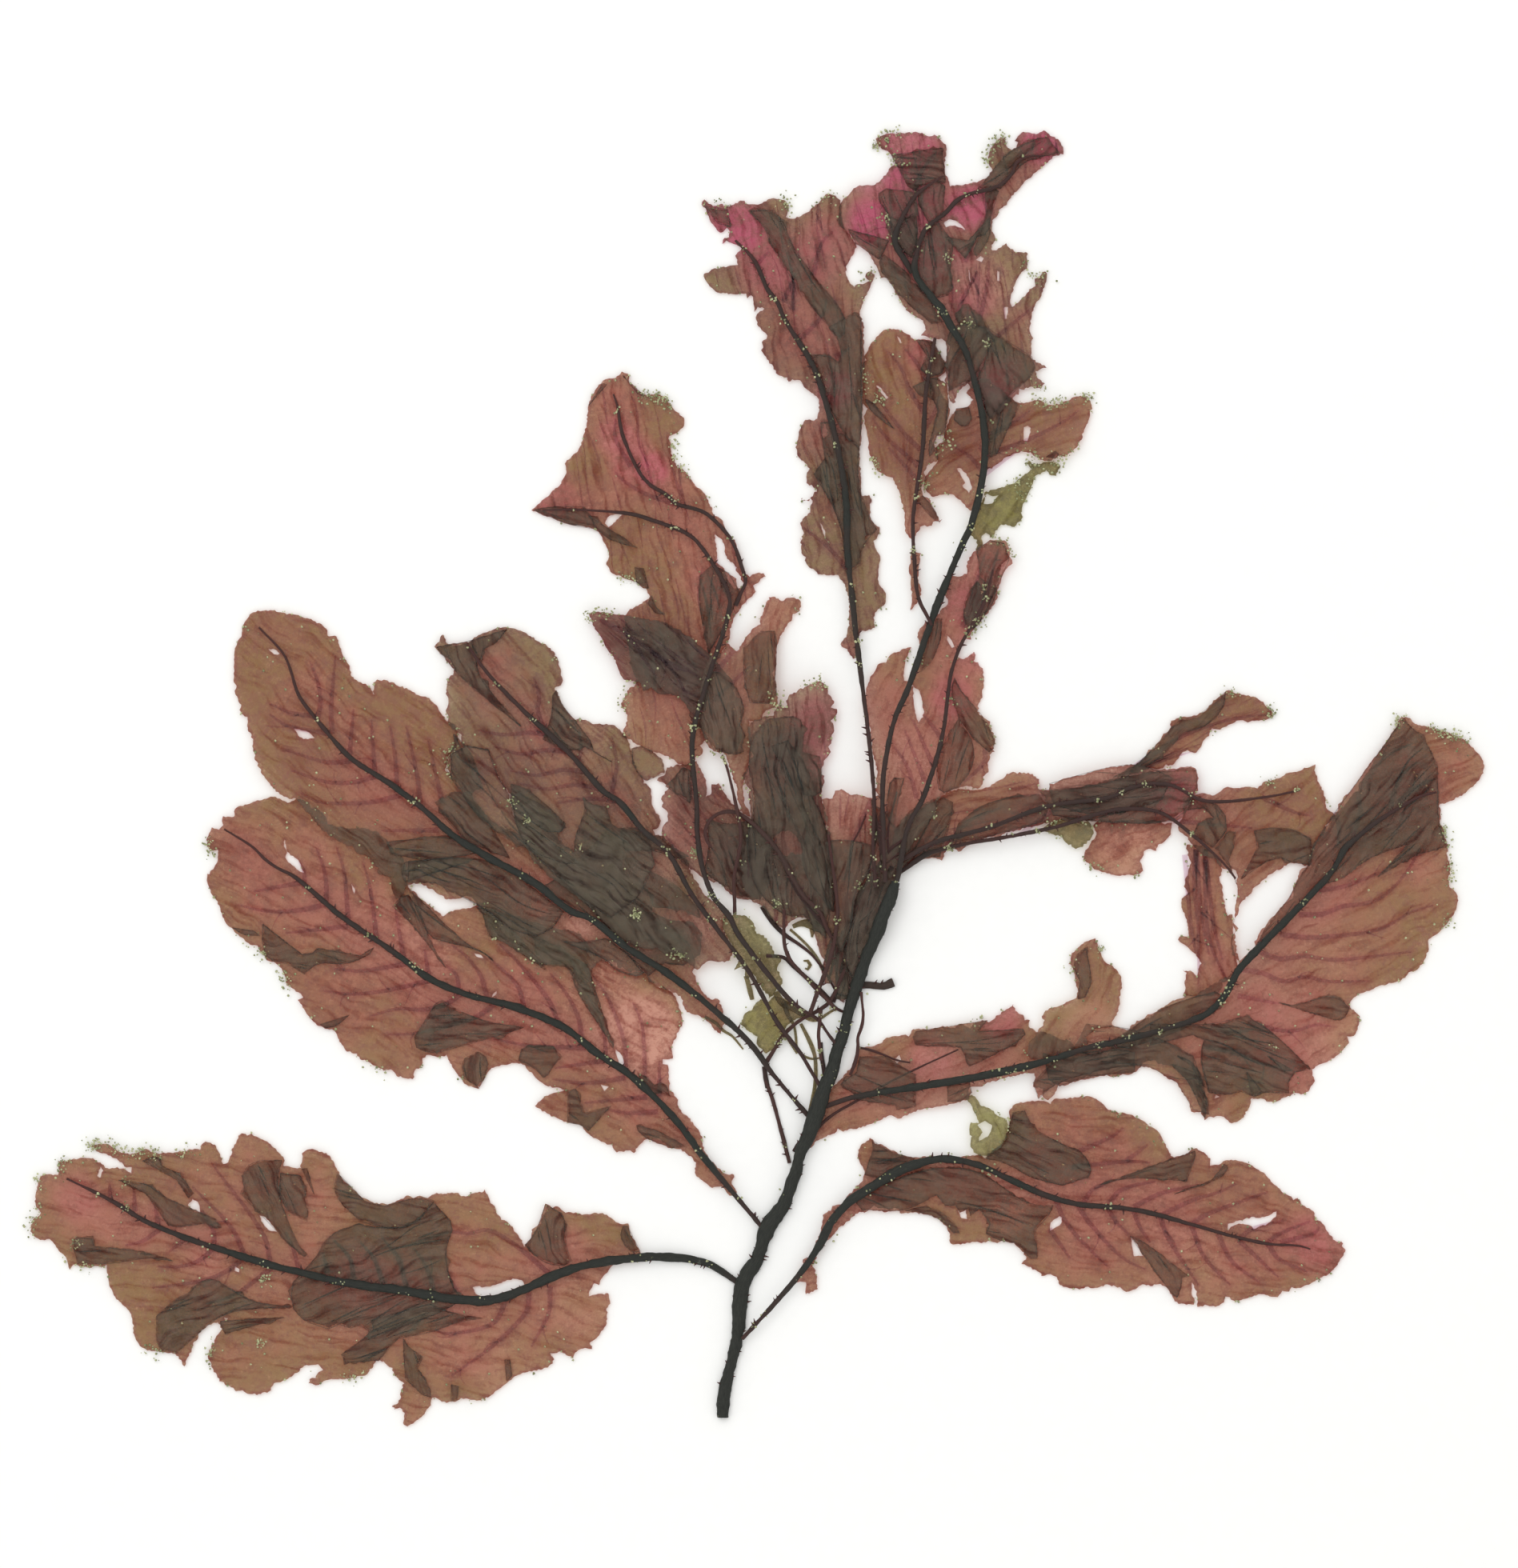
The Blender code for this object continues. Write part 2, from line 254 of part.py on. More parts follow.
RIGHT_MID_BLADE_OUTLINE = [
    (40.3, 50), (36.8, 53), (33, 52.8), (32, 54), (31.8, 56), (34.3, 59.5), (33.8, 61.5), (35.5, 64),
    (37, 68.5), (38.5, 69.5), (40, 69.8), (40.6, 71), (39.8, 72.2), (41, 74.5), (44, 75), (46, 73),
    (49.5, 70.5), (53, 71), (55, 70), (60.5, 71.9), (62.3, 71.3), (63, 70), (63, 68.5), (62.5, 66.5),
    (60, 62), (58.5, 60.8), (55.5, 59.6), (53, 60), (51.5, 61), (49.8, 61.2), (44, 58), (43, 57),
    (41.8, 51),
]
RIGHT_LOW_BLADE_OUTLINE = [
    (43.3, 45.5), (42, 43), (41.2, 42.8), (40, 47), (41.5, 50), (42.5, 53.5), (47, 54.8), (51, 57),
    (52, 58), (51, 59), (51.2, 59.5), (52.5, 58.7), (56, 59.3), (57, 58.5), (56.3, 56.8), (55.5, 57),
    (54.5, 58), (52.6, 56.8), (49.8, 49.8), (49.9, 48.2), (48.5, 47.3), (46.5, 47.5), (44, 45),
]
RIGHT_TOP_BLADE_OUTLINE = [
    (23, 119), (22, 118.5), (23, 120), (24.2, 120.6), (30, 120.9), (33.8, 120.4), (35.6, 117.8),
    (35.6, 113.5), (36.5, 111), (41.5, 111.8), (43.5, 112.8), (44.5, 113.8), (43.5, 115.8), (44.8, 119),
    (46, 120.2), (46.8, 120), (47, 118.5), (48, 117.6), (49, 118.2), (49.3, 119.3), (48.8, 119.6),
    (49.5, 120.8), (51, 121.2), (53, 121), (54, 121.4), (56.8, 119.4), (57.6, 117), (55.5, 116.2),
    (54, 115), (47.3, 108.5), (45.8, 106), (44.5, 105), (44.2, 103), (45, 101), (44.2, 100),
    (44.3, 98.8), (46, 99.2), (47, 100.2), (49.5, 98.5), (51, 98.7), (51, 95.5), (50, 94.8), (48.3, 92),
    (48.2, 88.5), (49.5, 89.3), (51, 91), (52, 93), (54.3, 95), (54.6, 93.3), (52, 87), (51.5, 83.8),
    (52, 82.5), (52, 79), (54.3, 77), (52.5, 76.3), (53, 75), (54, 74), (53.5, 73), (51, 73.3),
    (43.5, 66.5), (42.5, 71), (39.7, 74), (38, 72.5), (37.3, 70), (36.3, 70.5), (35.6, 73), (36, 80),
    (35.2, 82.5), (31, 83), (32, 84), (31.5, 85.5), (28.5, 88), (25.5, 92.8), (24.5, 94), (23.7, 94),
    (21, 98.5), (15, 104.5), (16.7, 108.5), (20, 111), (22.5, 111.2), (24.5, 113), (25.8, 115),
    (26, 116.5),
]
OLIVE_SCRAP_UPPER_OUTLINE = [
    (-5.3, -25.8), (-3, -25.6), (-1, -26.2), (0, -28), (5.3, -33.6), (4.3, -35.5), (5, -38), (4, -40),
    (2.5, -41.3), (-0.5, -37), (-1.5, -37.5), (-2, -35), (-4, -36), (-2.8, -34), (-6, -27.5),
]
OLIVE_SCRAP_LOWER_OUTLINE = [
    (-3, -46), (-2, -44), (-0.5, -42.5), (1, -41.5), (2.5, -42), (3.5, -40.7), (5.5, -41.5),
    (9.5, -44.2), (6, -46), (4, -50), (2, -51.5), (0.5, -50), (0.3, -48.5), (-1.5, -47.5),
]
MAIN_STIPE_PATH = [
    (-6.1, -119.8, 1.9), (-5.9, -115, 2.1), (-4.6, -110, 2), (-3.5, -105.5, 2.2), (-3, -100, 2.3),
    (-2.4, -95, 2.4), (0.3, -90, 2.3), (2, -84.7, 2.6), (5.2, -80, 2.1), (8, -72, 2.2), (9.9, -67, 2.6),
    (12.3, -60, 2.6), (15.2, -51.5, 2.3), (17.9, -43, 2), (19.3, -37.5, 1.8), (21.5, -31.5, 2.2),
    (24, -25.5, 2.2), (26.2, -19.3, 1.6),
]
LOWER_LEFT_MIDRIB_PATH = [
    (-4.3, -93.8, 1.1), (-8, -91.3, 1.5), (-11, -90.3, 1.7), (-15, -89.7, 1.7), (-20, -89.6, 1.7),
    (-25, -90.1, 1.7), (-32, -91.2, 1.7), (-36, -92.5, 1.8), (-44, -96, 1.8), (-48, -97.3, 1.9),
    (-52, -97.8, 1.9), (-60, -96.9, 1.9), (-65, -96.2, 1.8), (-70, -95.3, 1.7), (-75, -94.5, 1.7),
    (-80, -93.5, 1.6), (-85, -92.6, 1.6), (-92, -90.3, 1.5), (-100, -87.8, 1.4), (-108, -85.2, 1.2),
    (-112, -84, 1.1), (-118, -80.5, 0.9), (-124, -77.5, 0.6), (-129, -75, 0.4),
]
MIDDLE_LEFT_MIDRIB_PATH = [
    (0.3, -83, 0.9), (-2, -80, 1.1), (-7, -74.3, 1.3), (-9.5, -71.3, 1.4), (-12.8, -66.5, 1.4),
    (-15, -63.8, 1.5), (-21, -57.8, 1.5), (-24, -55.2, 1.5), (-27, -53, 1.5), (-30, -51.2, 1.5),
    (-34.5, -47.5, 1.5), (-37.5, -45.7, 1.5), (-45, -42.8, 1.5), (-53, -40.7, 1.4), (-56, -39.8, 1.4),
    (-62, -36.8, 1.3), (-68, -32.3, 1.2), (-74, -28.3, 1.1), (-79.5, -24.3, 1), (-84, -20.3, 0.9),
    (-86.5, -18.3, 0.8), (-89.5, -16.8, 0.7), (-92, -15, 0.6), (-94, -13, 0.5), (-99.5, -9.5, 0.4),
]
UPPER_LEFT_MIDRIB_PATH = [
    (8.7, -61.8, 0.9), (3, -55, 1.1), (-0.5, -50.2, 1.2), (-3, -47.8, 1.3), (-8, -43.8, 1.3),
    (-12.5, -39.8, 1.4), (-14.8, -37.6, 1.4), (-21.6, -33.3, 1.4), (-24.6, -31.3, 1.5),
    (-30.6, -26.4, 1.5), (-34.4, -24.9, 1.5), (-37.4, -22.8, 1.5), (-40.4, -20.2, 1.5),
    (-48.1, -16, 1.4), (-54.5, -12.1, 1.4), (-57.4, -10, 1.3), (-60, -7.4, 1.3), (-65, -3.6, 1.2),
    (-72, 1.3, 1.1), (-74.5, 2.8, 1), (-80.5, 9, 0.9), (-84.5, 14, 0.7), (-86.8, 18.8, 0.6),
    (-87.3, 21, 0.5), (-88.5, 23.5, 0.5), (-93, 28.3, 0.4),
]
INNER_LEFT_MIDRIB_PATH = [
    (10.9, -55.6, 0.8), (8.5, -51.5, 0.9), (4, -45.5, 0.9), (0.15, -38.6, 1), (-1.6, -35.6, 1),
    (-6.7, -28.8, 1), (-11.8, -21.9, 1), (-14, -18, 1), (-16.5, -13.8, 1.1), (-21.2, -9.6, 1.2),
    (-25.4, -4.5, 1.2), (-28.4, -2.5, 1.2), (-33.3, 2.8, 1.1), (-35.5, 5.4, 1.1), (-38.2, 7.7, 1),
    (-40.8, 10.5, 1), (-43.8, 13, 0.9), (-50, 19.5, 0.7), (-52, 22.5, 0.5), (-54, 25, 0.4),
]
WING_STEM_PATH = [
    (13.6, -47.8, 0.9), (11.5, -45, 0.9), (9, -43.5, 1), (6, -41, 1.2), (1.4, -35.4, 1.4),
    (-3.3, -29, 1.5), (-5, -25.6, 1.5), (-7.7, -22.4, 1.5), (-9.2, -19, 1.4), (-10.3, -14.7, 1.4),
    (-10.9, -9.6, 1.4), (-10.9, -5.3, 1.4), (-11.6, 3.2, 1.4), (-11.8, 7.5, 1.4), (-10.2, 13.7, 1.4),
    (-8.1, 20.9, 1.3), (-5.9, 27.7, 1.3), (-5.1, 30.7, 1.3), (-5, 34.5, 1.2), (-8.1, 40, 1.1),
    (-11, 44.4, 1.1), (-13, 45.9, 1.1), (-18.5, 48, 1), (-24.5, 49.7, 0.9), (-33, 50.3, 0.6),
    (-39.8, 50.3, 0.4),
]
WING_FORK_PATH = [
    (-2.8, 34.6, 1.1), (-1.9, 36.8, 1.1), (-4.4, 44.4, 1.1), (-6.6, 47, 1.1), (-9.1, 49.5, 1.1),
    (-14.7, 51.4, 1.1), (-16.8, 53.3, 1.1), (-19.4, 54.8, 1), (-21.5, 57, 1), (-24.9, 64.5, 0.9),
    (-25.9, 70, 0.6), (-26.6, 72, 0.5),
]
CENTRE_MIDRIB_PATH = [
    (26.9, -17, 1.3), (28.3, -10, 1.2), (31, -4.5, 1.2), (32.7, 0, 1.2), (35, 8, 1.1), (35.7, 12, 1.1),
    (36, 16, 1), (36.5, 19, 0.9), (38.5, 25, 0.9), (41.3, 30, 0.8), (43.8, 36, 0.6), (44.5, 39, 0.5),
]
LEFT_TOP_MIDRIB_PATH = [
    (22.3, -18, 0.8), (22, -13, 0.8), (22.2, -8, 0.8), (22.2, -3.5, 0.9), (21.7, 2, 1), (21, 7, 1),
    (20.6, 12, 1), (19.8, 20, 1.1), (18.9, 28, 1.2), (18, 36, 1.4), (17.2, 44, 1.4), (16.9, 52, 1.4),
    (15.8, 60, 1.3), (15, 64, 1.3), (12.6, 72, 1.3), (11.3, 76, 1.2), (8.5, 81.5, 1.2),
    (5.2, 86.5, 1.1), (4.2, 89, 1.1), (2.3, 91.5, 1), (-0.2, 97, 0.8), (-3.8, 100.8, 0.5),
]
RIGHT_TOP_MIDRIB_PATH = [
    (24.2, -17, 1.1), (24, -12, 1.2), (23.9, -7, 1.2), (23.7, -2, 1.3), (24, 1.5, 1.3),
    (25.3, 8.5, 1.3), (27.6, 15, 1.4), (30.7, 23, 1.7), (32.6, 28.5, 1.7), (35.5, 35.5, 1.6),
    (38.3, 43, 1.7), (40.2, 47, 1.7), (42.3, 55, 1.7), (43, 63, 1.8), (42.7, 66.5, 1.7),
    (41.3, 73, 1.6), (39, 80.5, 1.6), (36.2, 85, 2), (35, 87.5, 2), (31.3, 92.5, 1.8), (29.8, 95, 1.6),
    (31, 101, 1.3), (32, 103, 1.2), (36, 106.3, 1.1), (37.5, 108, 1), (39.5, 109.2, 1),
    (44.5, 110.6, 1), (46.5, 111.7, 0.9), (48, 113.3, 0.8), (49, 115.5, 0.7), (51, 116.5, 0.6),
    (54, 116.7, 0.4),
]
RIGHT_TOP_FORK_PATH = [
    (28.2, 96.8, 1.2), (27, 98.5, 1.2), (26.2, 100.3, 1.3), (26.5, 102.5, 1.3), (29.8, 109, 0.9),
    (31.5, 110.5, 0.8), (35.2, 112.9, 0.4),
]
SLENDER_MIDRIB_PATH = [
    (31.9, 30.8, 0.8), (30.8, 33, 0.8), (30.2, 35.5, 0.8), (29.7, 41.5, 0.9), (29.5, 49, 0.9),
    (30.7, 57, 0.9), (31.5, 65, 1), (32, 73, 1), (33.2, 80, 0.9), (33.6, 82.5, 0.8),
]
LOWER_RIGHT_MIDRIB_PATH = [
    (-0.9, -103.2, 0.8), (3, -99, 1.1), (7.5, -93.8, 1.3), (11.5, -88.3, 1.7), (14.3, -83.2, 1.9),
    (18.3, -78.8, 2), (24, -75.2, 2), (27, -73.6, 1.9), (33, -71.5, 1.7), (36, -71.3, 1.6),
    (42, -72.6, 1.4), (48, -75, 1.3), (54, -77.8, 1.2), (57, -79, 1.2), (63, -79.8, 1.1),
    (69, -80.5, 1.1), (75, -81.8, 1), (81, -83.5, 0.9), (87, -85.2, 0.8), (93, -86.5, 0.6),
    (96, -87.2, 0.6), (102, -87.6, 0.4), (104, -88.2, 0.4),
]
RIGHT_MIDRIB_PATH = [
    (14.8, -60.9, 1), (18, -59.8, 1.1), (26, -58.2, 1.5), (34, -57, 1.6), (38, -56.5, 1.6),
    (45, -55, 1.6), (52, -53.6, 1.4), (58, -51.8, 1.3), (64, -50, 1.2), (70, -48.6, 1.2),
    (76, -46.8, 1.3), (82, -45.2, 1.3), (84, -44.4, 1.3), (86, -42.8, 1.3), (88, -40.5, 1.3),
    (90.5, -35.8, 1.4), (95, -31, 1.4), (100, -25.8, 1.4), (106, -19.6, 1.4), (109, -15.5, 1.3),
    (110, -13.5, 1.3), (116, -8.3, 1), (121, -5.2, 0.7), (124.5, -3.4, 0.5), (127.5, -2.6, 0.4),
]
BRANCH_UPPER_MIDRIB_PATH = [
    (29.3, -14.2, 0.9), (33, -12.2, 1), (40, -10.3, 1), (48, -7.8, 0.9), (51, -6.5, 0.9),
    (55, -5.2, 0.9), (63, -4.2, 0.9), (66.5, -3.5, 0.9), (69.5, -2, 0.9), (72.5, -1.2, 0.8),
    (75.5, -1, 0.8), (78.5, -1.5, 0.8), (84, -4.2, 0.7), (92, -3.8, 0.6), (95.5, -3.5, 0.5),
    (102, -2.2, 0.4),
]
BRANCH_LOWER_MIDRIB_PATH = [
    (28.6, -16.6, 1), (32, -14.3, 1), (36, -13, 0.9), (44, -11.6, 0.9), (52, -10, 0.8), (58, -8.6, 0.8),
    (64, -6.8, 0.8), (67, -6, 0.8), (73, -5.8, 0.8), (76, -6.5, 0.8), (81, -10, 0.8), (83.5, -12, 0.7),
    (88, -16.3, 0.5), (89.9, -18.8, 0.4),
]
HOOKED_STEM_PATH = [
    (13.2, -27.6, 0.8), (12, -25, 0.9), (9.5, -22.5, 1), (5.8, -16.5, 1), (4.5, -14, 1), (1, -9.8, 1),
    (-3, -6.6, 0.8), (-5.2, -6.2, 0.8), (-7.3, -6.8, 0.7), (-8.8, -8.2, 0.7), (-9.4, -10, 0.6),
    (-9, -11.8, 0.6), (-8.3, -12.8, 0.5),
]
SLENDER_RED_STEM_PATH = [
    (-3.9, -23, 0.7), (-4, -18.5, 0.7), (-3.5, -15, 0.7), (-2.8, -12, 0.7), (-2.9, -9, 0.7),
    (-4.6, -1, 0.6), (-6.2, 4.4, 0.4),
]
BUNDLE_STEM_PATH = [
    (11, -41.7, 0.9), (13.3, -35.5, 0.9), (14.3, -32.5, 0.9), (15, -29, 0.8), (15.4, -25.5, 0.8),
    (15.2, -22, 0.8), (14, -14, 0.6), (13.6, -10.5, 0.5),
]
CROSS_STEM_PATH = [
    (3.2, -51.4, 0.8), (5, -48.5, 0.8), (6.5, -46.8, 0.8), (8.5, -45.2, 0.8), (12.5, -43, 0.8),
    (14.1, -41.5, 0.8), (17.3, -33.8, 0.8), (19.8, -28, 0.7),
]
OBLIQUE_STEM_PATH = [
    (13.6, -41.6, 0.8), (8.3, -36, 0.8), (6.8, -34.3, 0.8), (5.8, -32.3, 0.8), (5.4, -30, 0.7),
    (5.4, -24.5, 0.6),
]
LEANING_STEM_PATH = [
    (5.8, -69.8, 0.8), (3.8, -62.5, 0.8), (1.9, -56.6, 0.7),
]
LOOP_STEM_PATH = [
    (20, -42.4, 0.6), (20.2, -44.4, 0.6), (19.9, -46.5, 0.7), (19.2, -48.5, 0.7), (19.2, -50.5, 0.7),
    (18.7, -53, 0.7), (17.7, -55.6, 0.6),
]
SIDE_STEM_PATH = [
    (12, -45.8, 0.7), (11.8, -48, 0.7), (12.3, -52.8, 0.6),
]
STUB_PATH = [
    (20.9, -38.8, 0.9), (22.3, -39, 0.9), (24, -38.9, 1.1), (25.8, -38.2, 1.2),
]
LOWER_LEFT_HOLE = [
    (-52.8, -95.5), (-50.5, -95.3), (-48, -94.6), (-45.5, -93.8), (-43.8, -94), (-43.5, -94.8),
    (-45, -95.7), (-47.5, -96.8), (-50, -97.2), (-52, -96.9),
]
MIDDLE_LEFT_HOLE = [
    (-88.2, -11.2), (-87.7, -12.5), (-87.3, -14), (-86, -15), (-85.3, -16), (-84.7, -17.5),
    (-85.5, -17), (-87, -15.8), (-88, -14.8), (-88, -13.5), (-88.6, -12.3),
]
WING_HOLE = [
    (-7.6, 45.9), (-5.9, 44), (-5.7, 41.8), (-4.4, 39.9), (-3.2, 38), (-2.3, 36.1), (-3.8, 35.6),
    (-4.9, 37.3), (-6.1, 39.7), (-7.2, 42.7),
]
WING_SMALL_HOLE = [
    (-28.1, 47.8), (-27.5, 49.1), (-26.2, 49.5), (-24.9, 49.4), (-25.8, 48.7), (-27.5, 47.2),
]
LOWER_RIGHT_HOLE = [
    (87.9, -84.7), (88.7, -83.6), (90, -82.9), (92.5, -82.6), (95, -82.7), (96.5, -82.1), (97.6, -81.3),
    (97, -82.4), (95.5, -83.5), (93.8, -83.9), (91, -83.5), (89.6, -84), (88.6, -84.9),
]
CENTRE_HOLE = [
    (29, 17.8), (30, 17.2), (31, 15.5), (31.5, 13), (31.3, 11.5), (30.5, 10.3), (30, 11.5), (29.7, 14),
]
LOWER_RIGHT_SMALL_HOLE = [
    (55.3, -84.7), (55.4, -83.3), (57, -82), (57.5, -82.3), (57.2, -83.5),
]
SCRAP_HOLE = [
    (41.8, -65), (43, -64.3), (44.3, -65), (43.7, -66.8), (42, -67.8), (42.6, -66.3),
]
BUNDLE_HOLE = [
    (3.2, -11.5), (4.5, -10.3), (6.5, -10), (7.5, -11), (8.5, -12.5), (8.8, -14), (8, -14.5),
    (6.5, -13.7), (5, -14), (3.8, -12.8),
]


@dataclass
class Blade:
    """A thin sheet with a traced margin and, where the specimen is torn through, its holes."""

    name: str
    outline: list
    colour: tuple
    holes: list = field(default_factory=list)


@dataclass
class Stem:
    """A flattened stem along a traced line of (x, y, width)."""

    name: str
    path: list
    colour: tuple


LAYERS = [
    Blade("lower_left_blade", LOWER_LEFT_BLADE_OUTLINE, ROSEWOOD, [LOWER_LEFT_HOLE]),
    Blade("lower_right_blade", LOWER_RIGHT_BLADE_OUTLINE, ROSEWOOD, [LOWER_RIGHT_HOLE, LOWER_RIGHT_SMALL_HOLE]),
    Blade("olive_scrap_right", OLIVE_SCRAP_RIGHT_OUTLINE, OLIVE_BROWN, [SCRAP_HOLE]),
    Blade("middle_left_blade", MIDDLE_LEFT_BLADE_OUTLINE, ROSEWOOD, [MIDDLE_LEFT_HOLE]),
    Blade("upper_left_blade", UPPER_LEFT_BLADE_OUTLINE, ROSEWOOD),
    Blade("inner_left_blade", INNER_LEFT_BLADE_OUTLINE, DUSKY_RED),
    Blade("centre_leaf", CENTRE_LEAF_OUTLINE, DUSKY_RED),
    Blade("wing_blade", WING_BLADE_OUTLINE, ROSEWOOD, [WING_HOLE, WING_SMALL_HOLE]),
    Blade("dark_leaf", DARK_LEAF_OUTLINE, DUSKY_RED),
    Blade("wing_right_lobe", WING_RIGHT_LOBE_OUTLINE, OLIVE_BROWN),
    Blade("hanging_blade", HANGING_BLADE_OUTLINE, ROSEWOOD),
    Blade("branch_tip_blade", BRANCH_TIP_BLADE_OUTLINE, ROSEWOOD),
    Blade("right_blade", RIGHT_BLADE_OUTLINE, ROSEWOOD),
    Blade("curled_blade", CURLED_BLADE_OUTLINE, ROSEWOOD),
    Blade("branch_fan", BRANCH_FAN_OUTLINE, ROSEWOOD),
    Blade("branch_scrap", BRANCH_SCRAP_OUTLINE, OLIVE_BROWN),
    Blade("branch_horn", BRANCH_HORN_OUTLINE, ROSEWOOD),
    Blade("branch_blade", BRANCH_BLADE_OUTLINE, ROSEWOOD),
    Blade("right_low_blade", RIGHT_LOW_BLADE_OUTLINE, OLIVE_BROWN),
    Blade("right_mid_blade", RIGHT_MID_BLADE_OUTLINE, ROSEWOOD),
    Blade("slender_blade", SLENDER_BLADE_OUTLINE, ROSEWOOD),
    Blade("left_top_blade", LEFT_TOP_BLADE_OUTLINE, DUSKY_RED),
    Blade("right_top_blade", RIGHT_TOP_BLADE_OUTLINE, DUSKY_RED),
    Blade("bundle_blade", BUNDLE_BLADE_OUTLINE, DUSKY_RED, [BUNDLE_HOLE]),
    Blade("sheath_blade", SHEATH_BLADE_OUTLINE, ROSEWOOD),
    Blade("centre_blade", CENTRE_BLADE_OUTLINE, ROSEWOOD, [CENTRE_HOLE]),
    Blade("olive_scrap_lower", OLIVE_SCRAP_LOWER_OUTLINE, OLIVE_BROWN),
    Blade("olive_scrap_upper", OLIVE_SCRAP_UPPER_OUTLINE, OLIVE_BROWN),
    Stem("main_stipe", MAIN_STIPE_PATH, STIPE_BLACK),
    Stem("lower_left_midrib", LOWER_LEFT_MIDRIB_PATH, STIPE_BLACK),
    Stem("lower_right_midrib", LOWER_RIGHT_MIDRIB_PATH, STIPE_BLACK),
    Stem("middle_left_midrib", MIDDLE_LEFT_MIDRIB_PATH, STIPE_BLACK),
    Stem("right_midrib", RIGHT_MIDRIB_PATH, STIPE_BLACK),
    Stem("upper_left_midrib", UPPER_LEFT_MIDRIB_PATH, STIPE_BLACK),
    Stem("leaning_stem", LEANING_STEM_PATH, REDDISH_STEM),
    Stem("cross_stem", CROSS_STEM_PATH, REDDISH_STEM),
    Stem("inner_left_midrib", INNER_LEFT_MIDRIB_PATH, STIPE_BLACK),
    Stem("wing_stem", WING_STEM_PATH, STIPE_BLACK),
    Stem("wing_fork", WING_FORK_PATH, STIPE_BLACK),
    Stem("side_stem", SIDE_STEM_PATH, REDDISH_STEM),
    Stem("loop_stem", LOOP_STEM_PATH, REDDISH_STEM),
    Stem("stub", STUB_PATH, REDDISH_STEM),
    Stem("oblique_stem", OBLIQUE_STEM_PATH, REDDISH_STEM),
    Stem("hooked_stem", HOOKED_STEM_PATH, REDDISH_STEM),
    Stem("slender_red_stem", SLENDER_RED_STEM_PATH, REDDISH_STEM),
    Stem("bundle_stem", BUNDLE_STEM_PATH, REDDISH_STEM),
    Stem("branch_lower_midrib", BRANCH_LOWER_MIDRIB_PATH, STIPE_BLACK),
    Stem("branch_upper_midrib", BRANCH_UPPER_MIDRIB_PATH, STIPE_BLACK),
    Stem("centre_midrib", CENTRE_MIDRIB_PATH, STIPE_BLACK),
    Stem("left_top_midrib", LEFT_TOP_MIDRIB_PATH, STIPE_BLACK),
    Stem("right_top_midrib", RIGHT_TOP_MIDRIB_PATH, STIPE_BLACK),
    Stem("right_top_fork", RIGHT_TOP_FORK_PATH, STIPE_BLACK),
    Stem("slender_midrib", SLENDER_MIDRIB_PATH, STIPE_BLACK),
]


class Ground:
    """Height of everything laid so far, kept on a square grid of cells."""

    def __init__(self):
        """Starts one gap below the surface, so that the first layer lies on the surface."""
        columns = math.ceil(GROUND_SIZE_MM[0] / GROUND_CELL_MM)
        rows = math.ceil(GROUND_SIZE_MM[1] / GROUND_CELL_MM)
        self.height = np.full((columns, rows), -LAYER_GAP_MM)

    def footprint(self, corners):
        """Returns the grid window round a triangle and the mask of the cells it covers."""
        low = np.array(GROUND_LOW_MM)
        first = np.floor((corners.min(axis=0) - FOOTPRINT_MARGIN_MM - low) / GROUND_CELL_MM).astype(int)
        last = np.ceil((corners.max(axis=0) + FOOTPRINT_MARGIN_MM - low) / GROUND_CELL_MM).astype(int)
        x = low[0] + (np.arange(first[0], last[0]) + 0.5)[:, None] * GROUND_CELL_MM
        y = low[1] + (np.arange(first[1], last[1]) + 0.5)[None, :] * GROUND_CELL_MM
        mask = np.ones((last[0] - first[0], last[1] - first[1]), dtype=bool)
        for index in range(3):
            start = corners[index]
            edge = corners[(index + 1) % 3] - start
            length = math.hypot(edge[0], edge[1])
            outside = ((x - start[0]) * edge[1] - (y - start[1]) * edge[0]) / length
            mask &= outside <= FOOTPRINT_MARGIN_MM
        return (slice(first[0], last[0]), slice(first[1], last[1])), mask

    def under(self, corners):
        """Returns the highest ground below a triangle."""
        window, mask = self.footprint(corners)
        return float(self.height[window][mask].max(initial=-LAYER_GAP_MM))

    def cover(self, corners, tops):
        """Raises the ground below a triangle to its upper side, given the height of each corner."""
        window, mask = self.footprint(corners)
        x = GROUND_LOW_MM[0] + (np.arange(window[0].start, window[0].stop) + 0.5) * GROUND_CELL_MM
        y = GROUND_LOW_MM[1] + (np.arange(window[1].start, window[1].stop) + 0.5) * GROUND_CELL_MM
        sides = np.array([corners[1] - corners[0], corners[2] - corners[0]])
        slope = np.linalg.solve(sides, np.array([tops[1] - tops[0], tops[2] - tops[0]]))
        plane = tops[0] + slope[0] * (x[:, None] - corners[0][0]) + slope[1] * (y[None, :] - corners[0][1])
        plane = np.minimum(plane + np.abs(slope).sum() * GROUND_CELL_MM / 2.0, max(tops))
        patch = self.height[window]
        patch[mask] = np.maximum(patch[mask], plane[mask])


def crossings(point, loop):
    """Counts how often a line going right from a point crosses a closed loop."""
    count = 0
    for start, end in zip(loop, loop[1:] + loop[:1]):
        if (start[1] > point[1]) == (end[1] > point[1]):
            continue
        along = (point[1] - start[1]) / (end[1] - start[1])
        if start[0] + along * (end[0] - start[0]) > point[0]:
            count += 1
    return count


def inside(point, loops):
    """Returns True for a point within the margin and outside every hole."""
    return sum(crossings(point, loop) for loop in loops) % 2 == 1


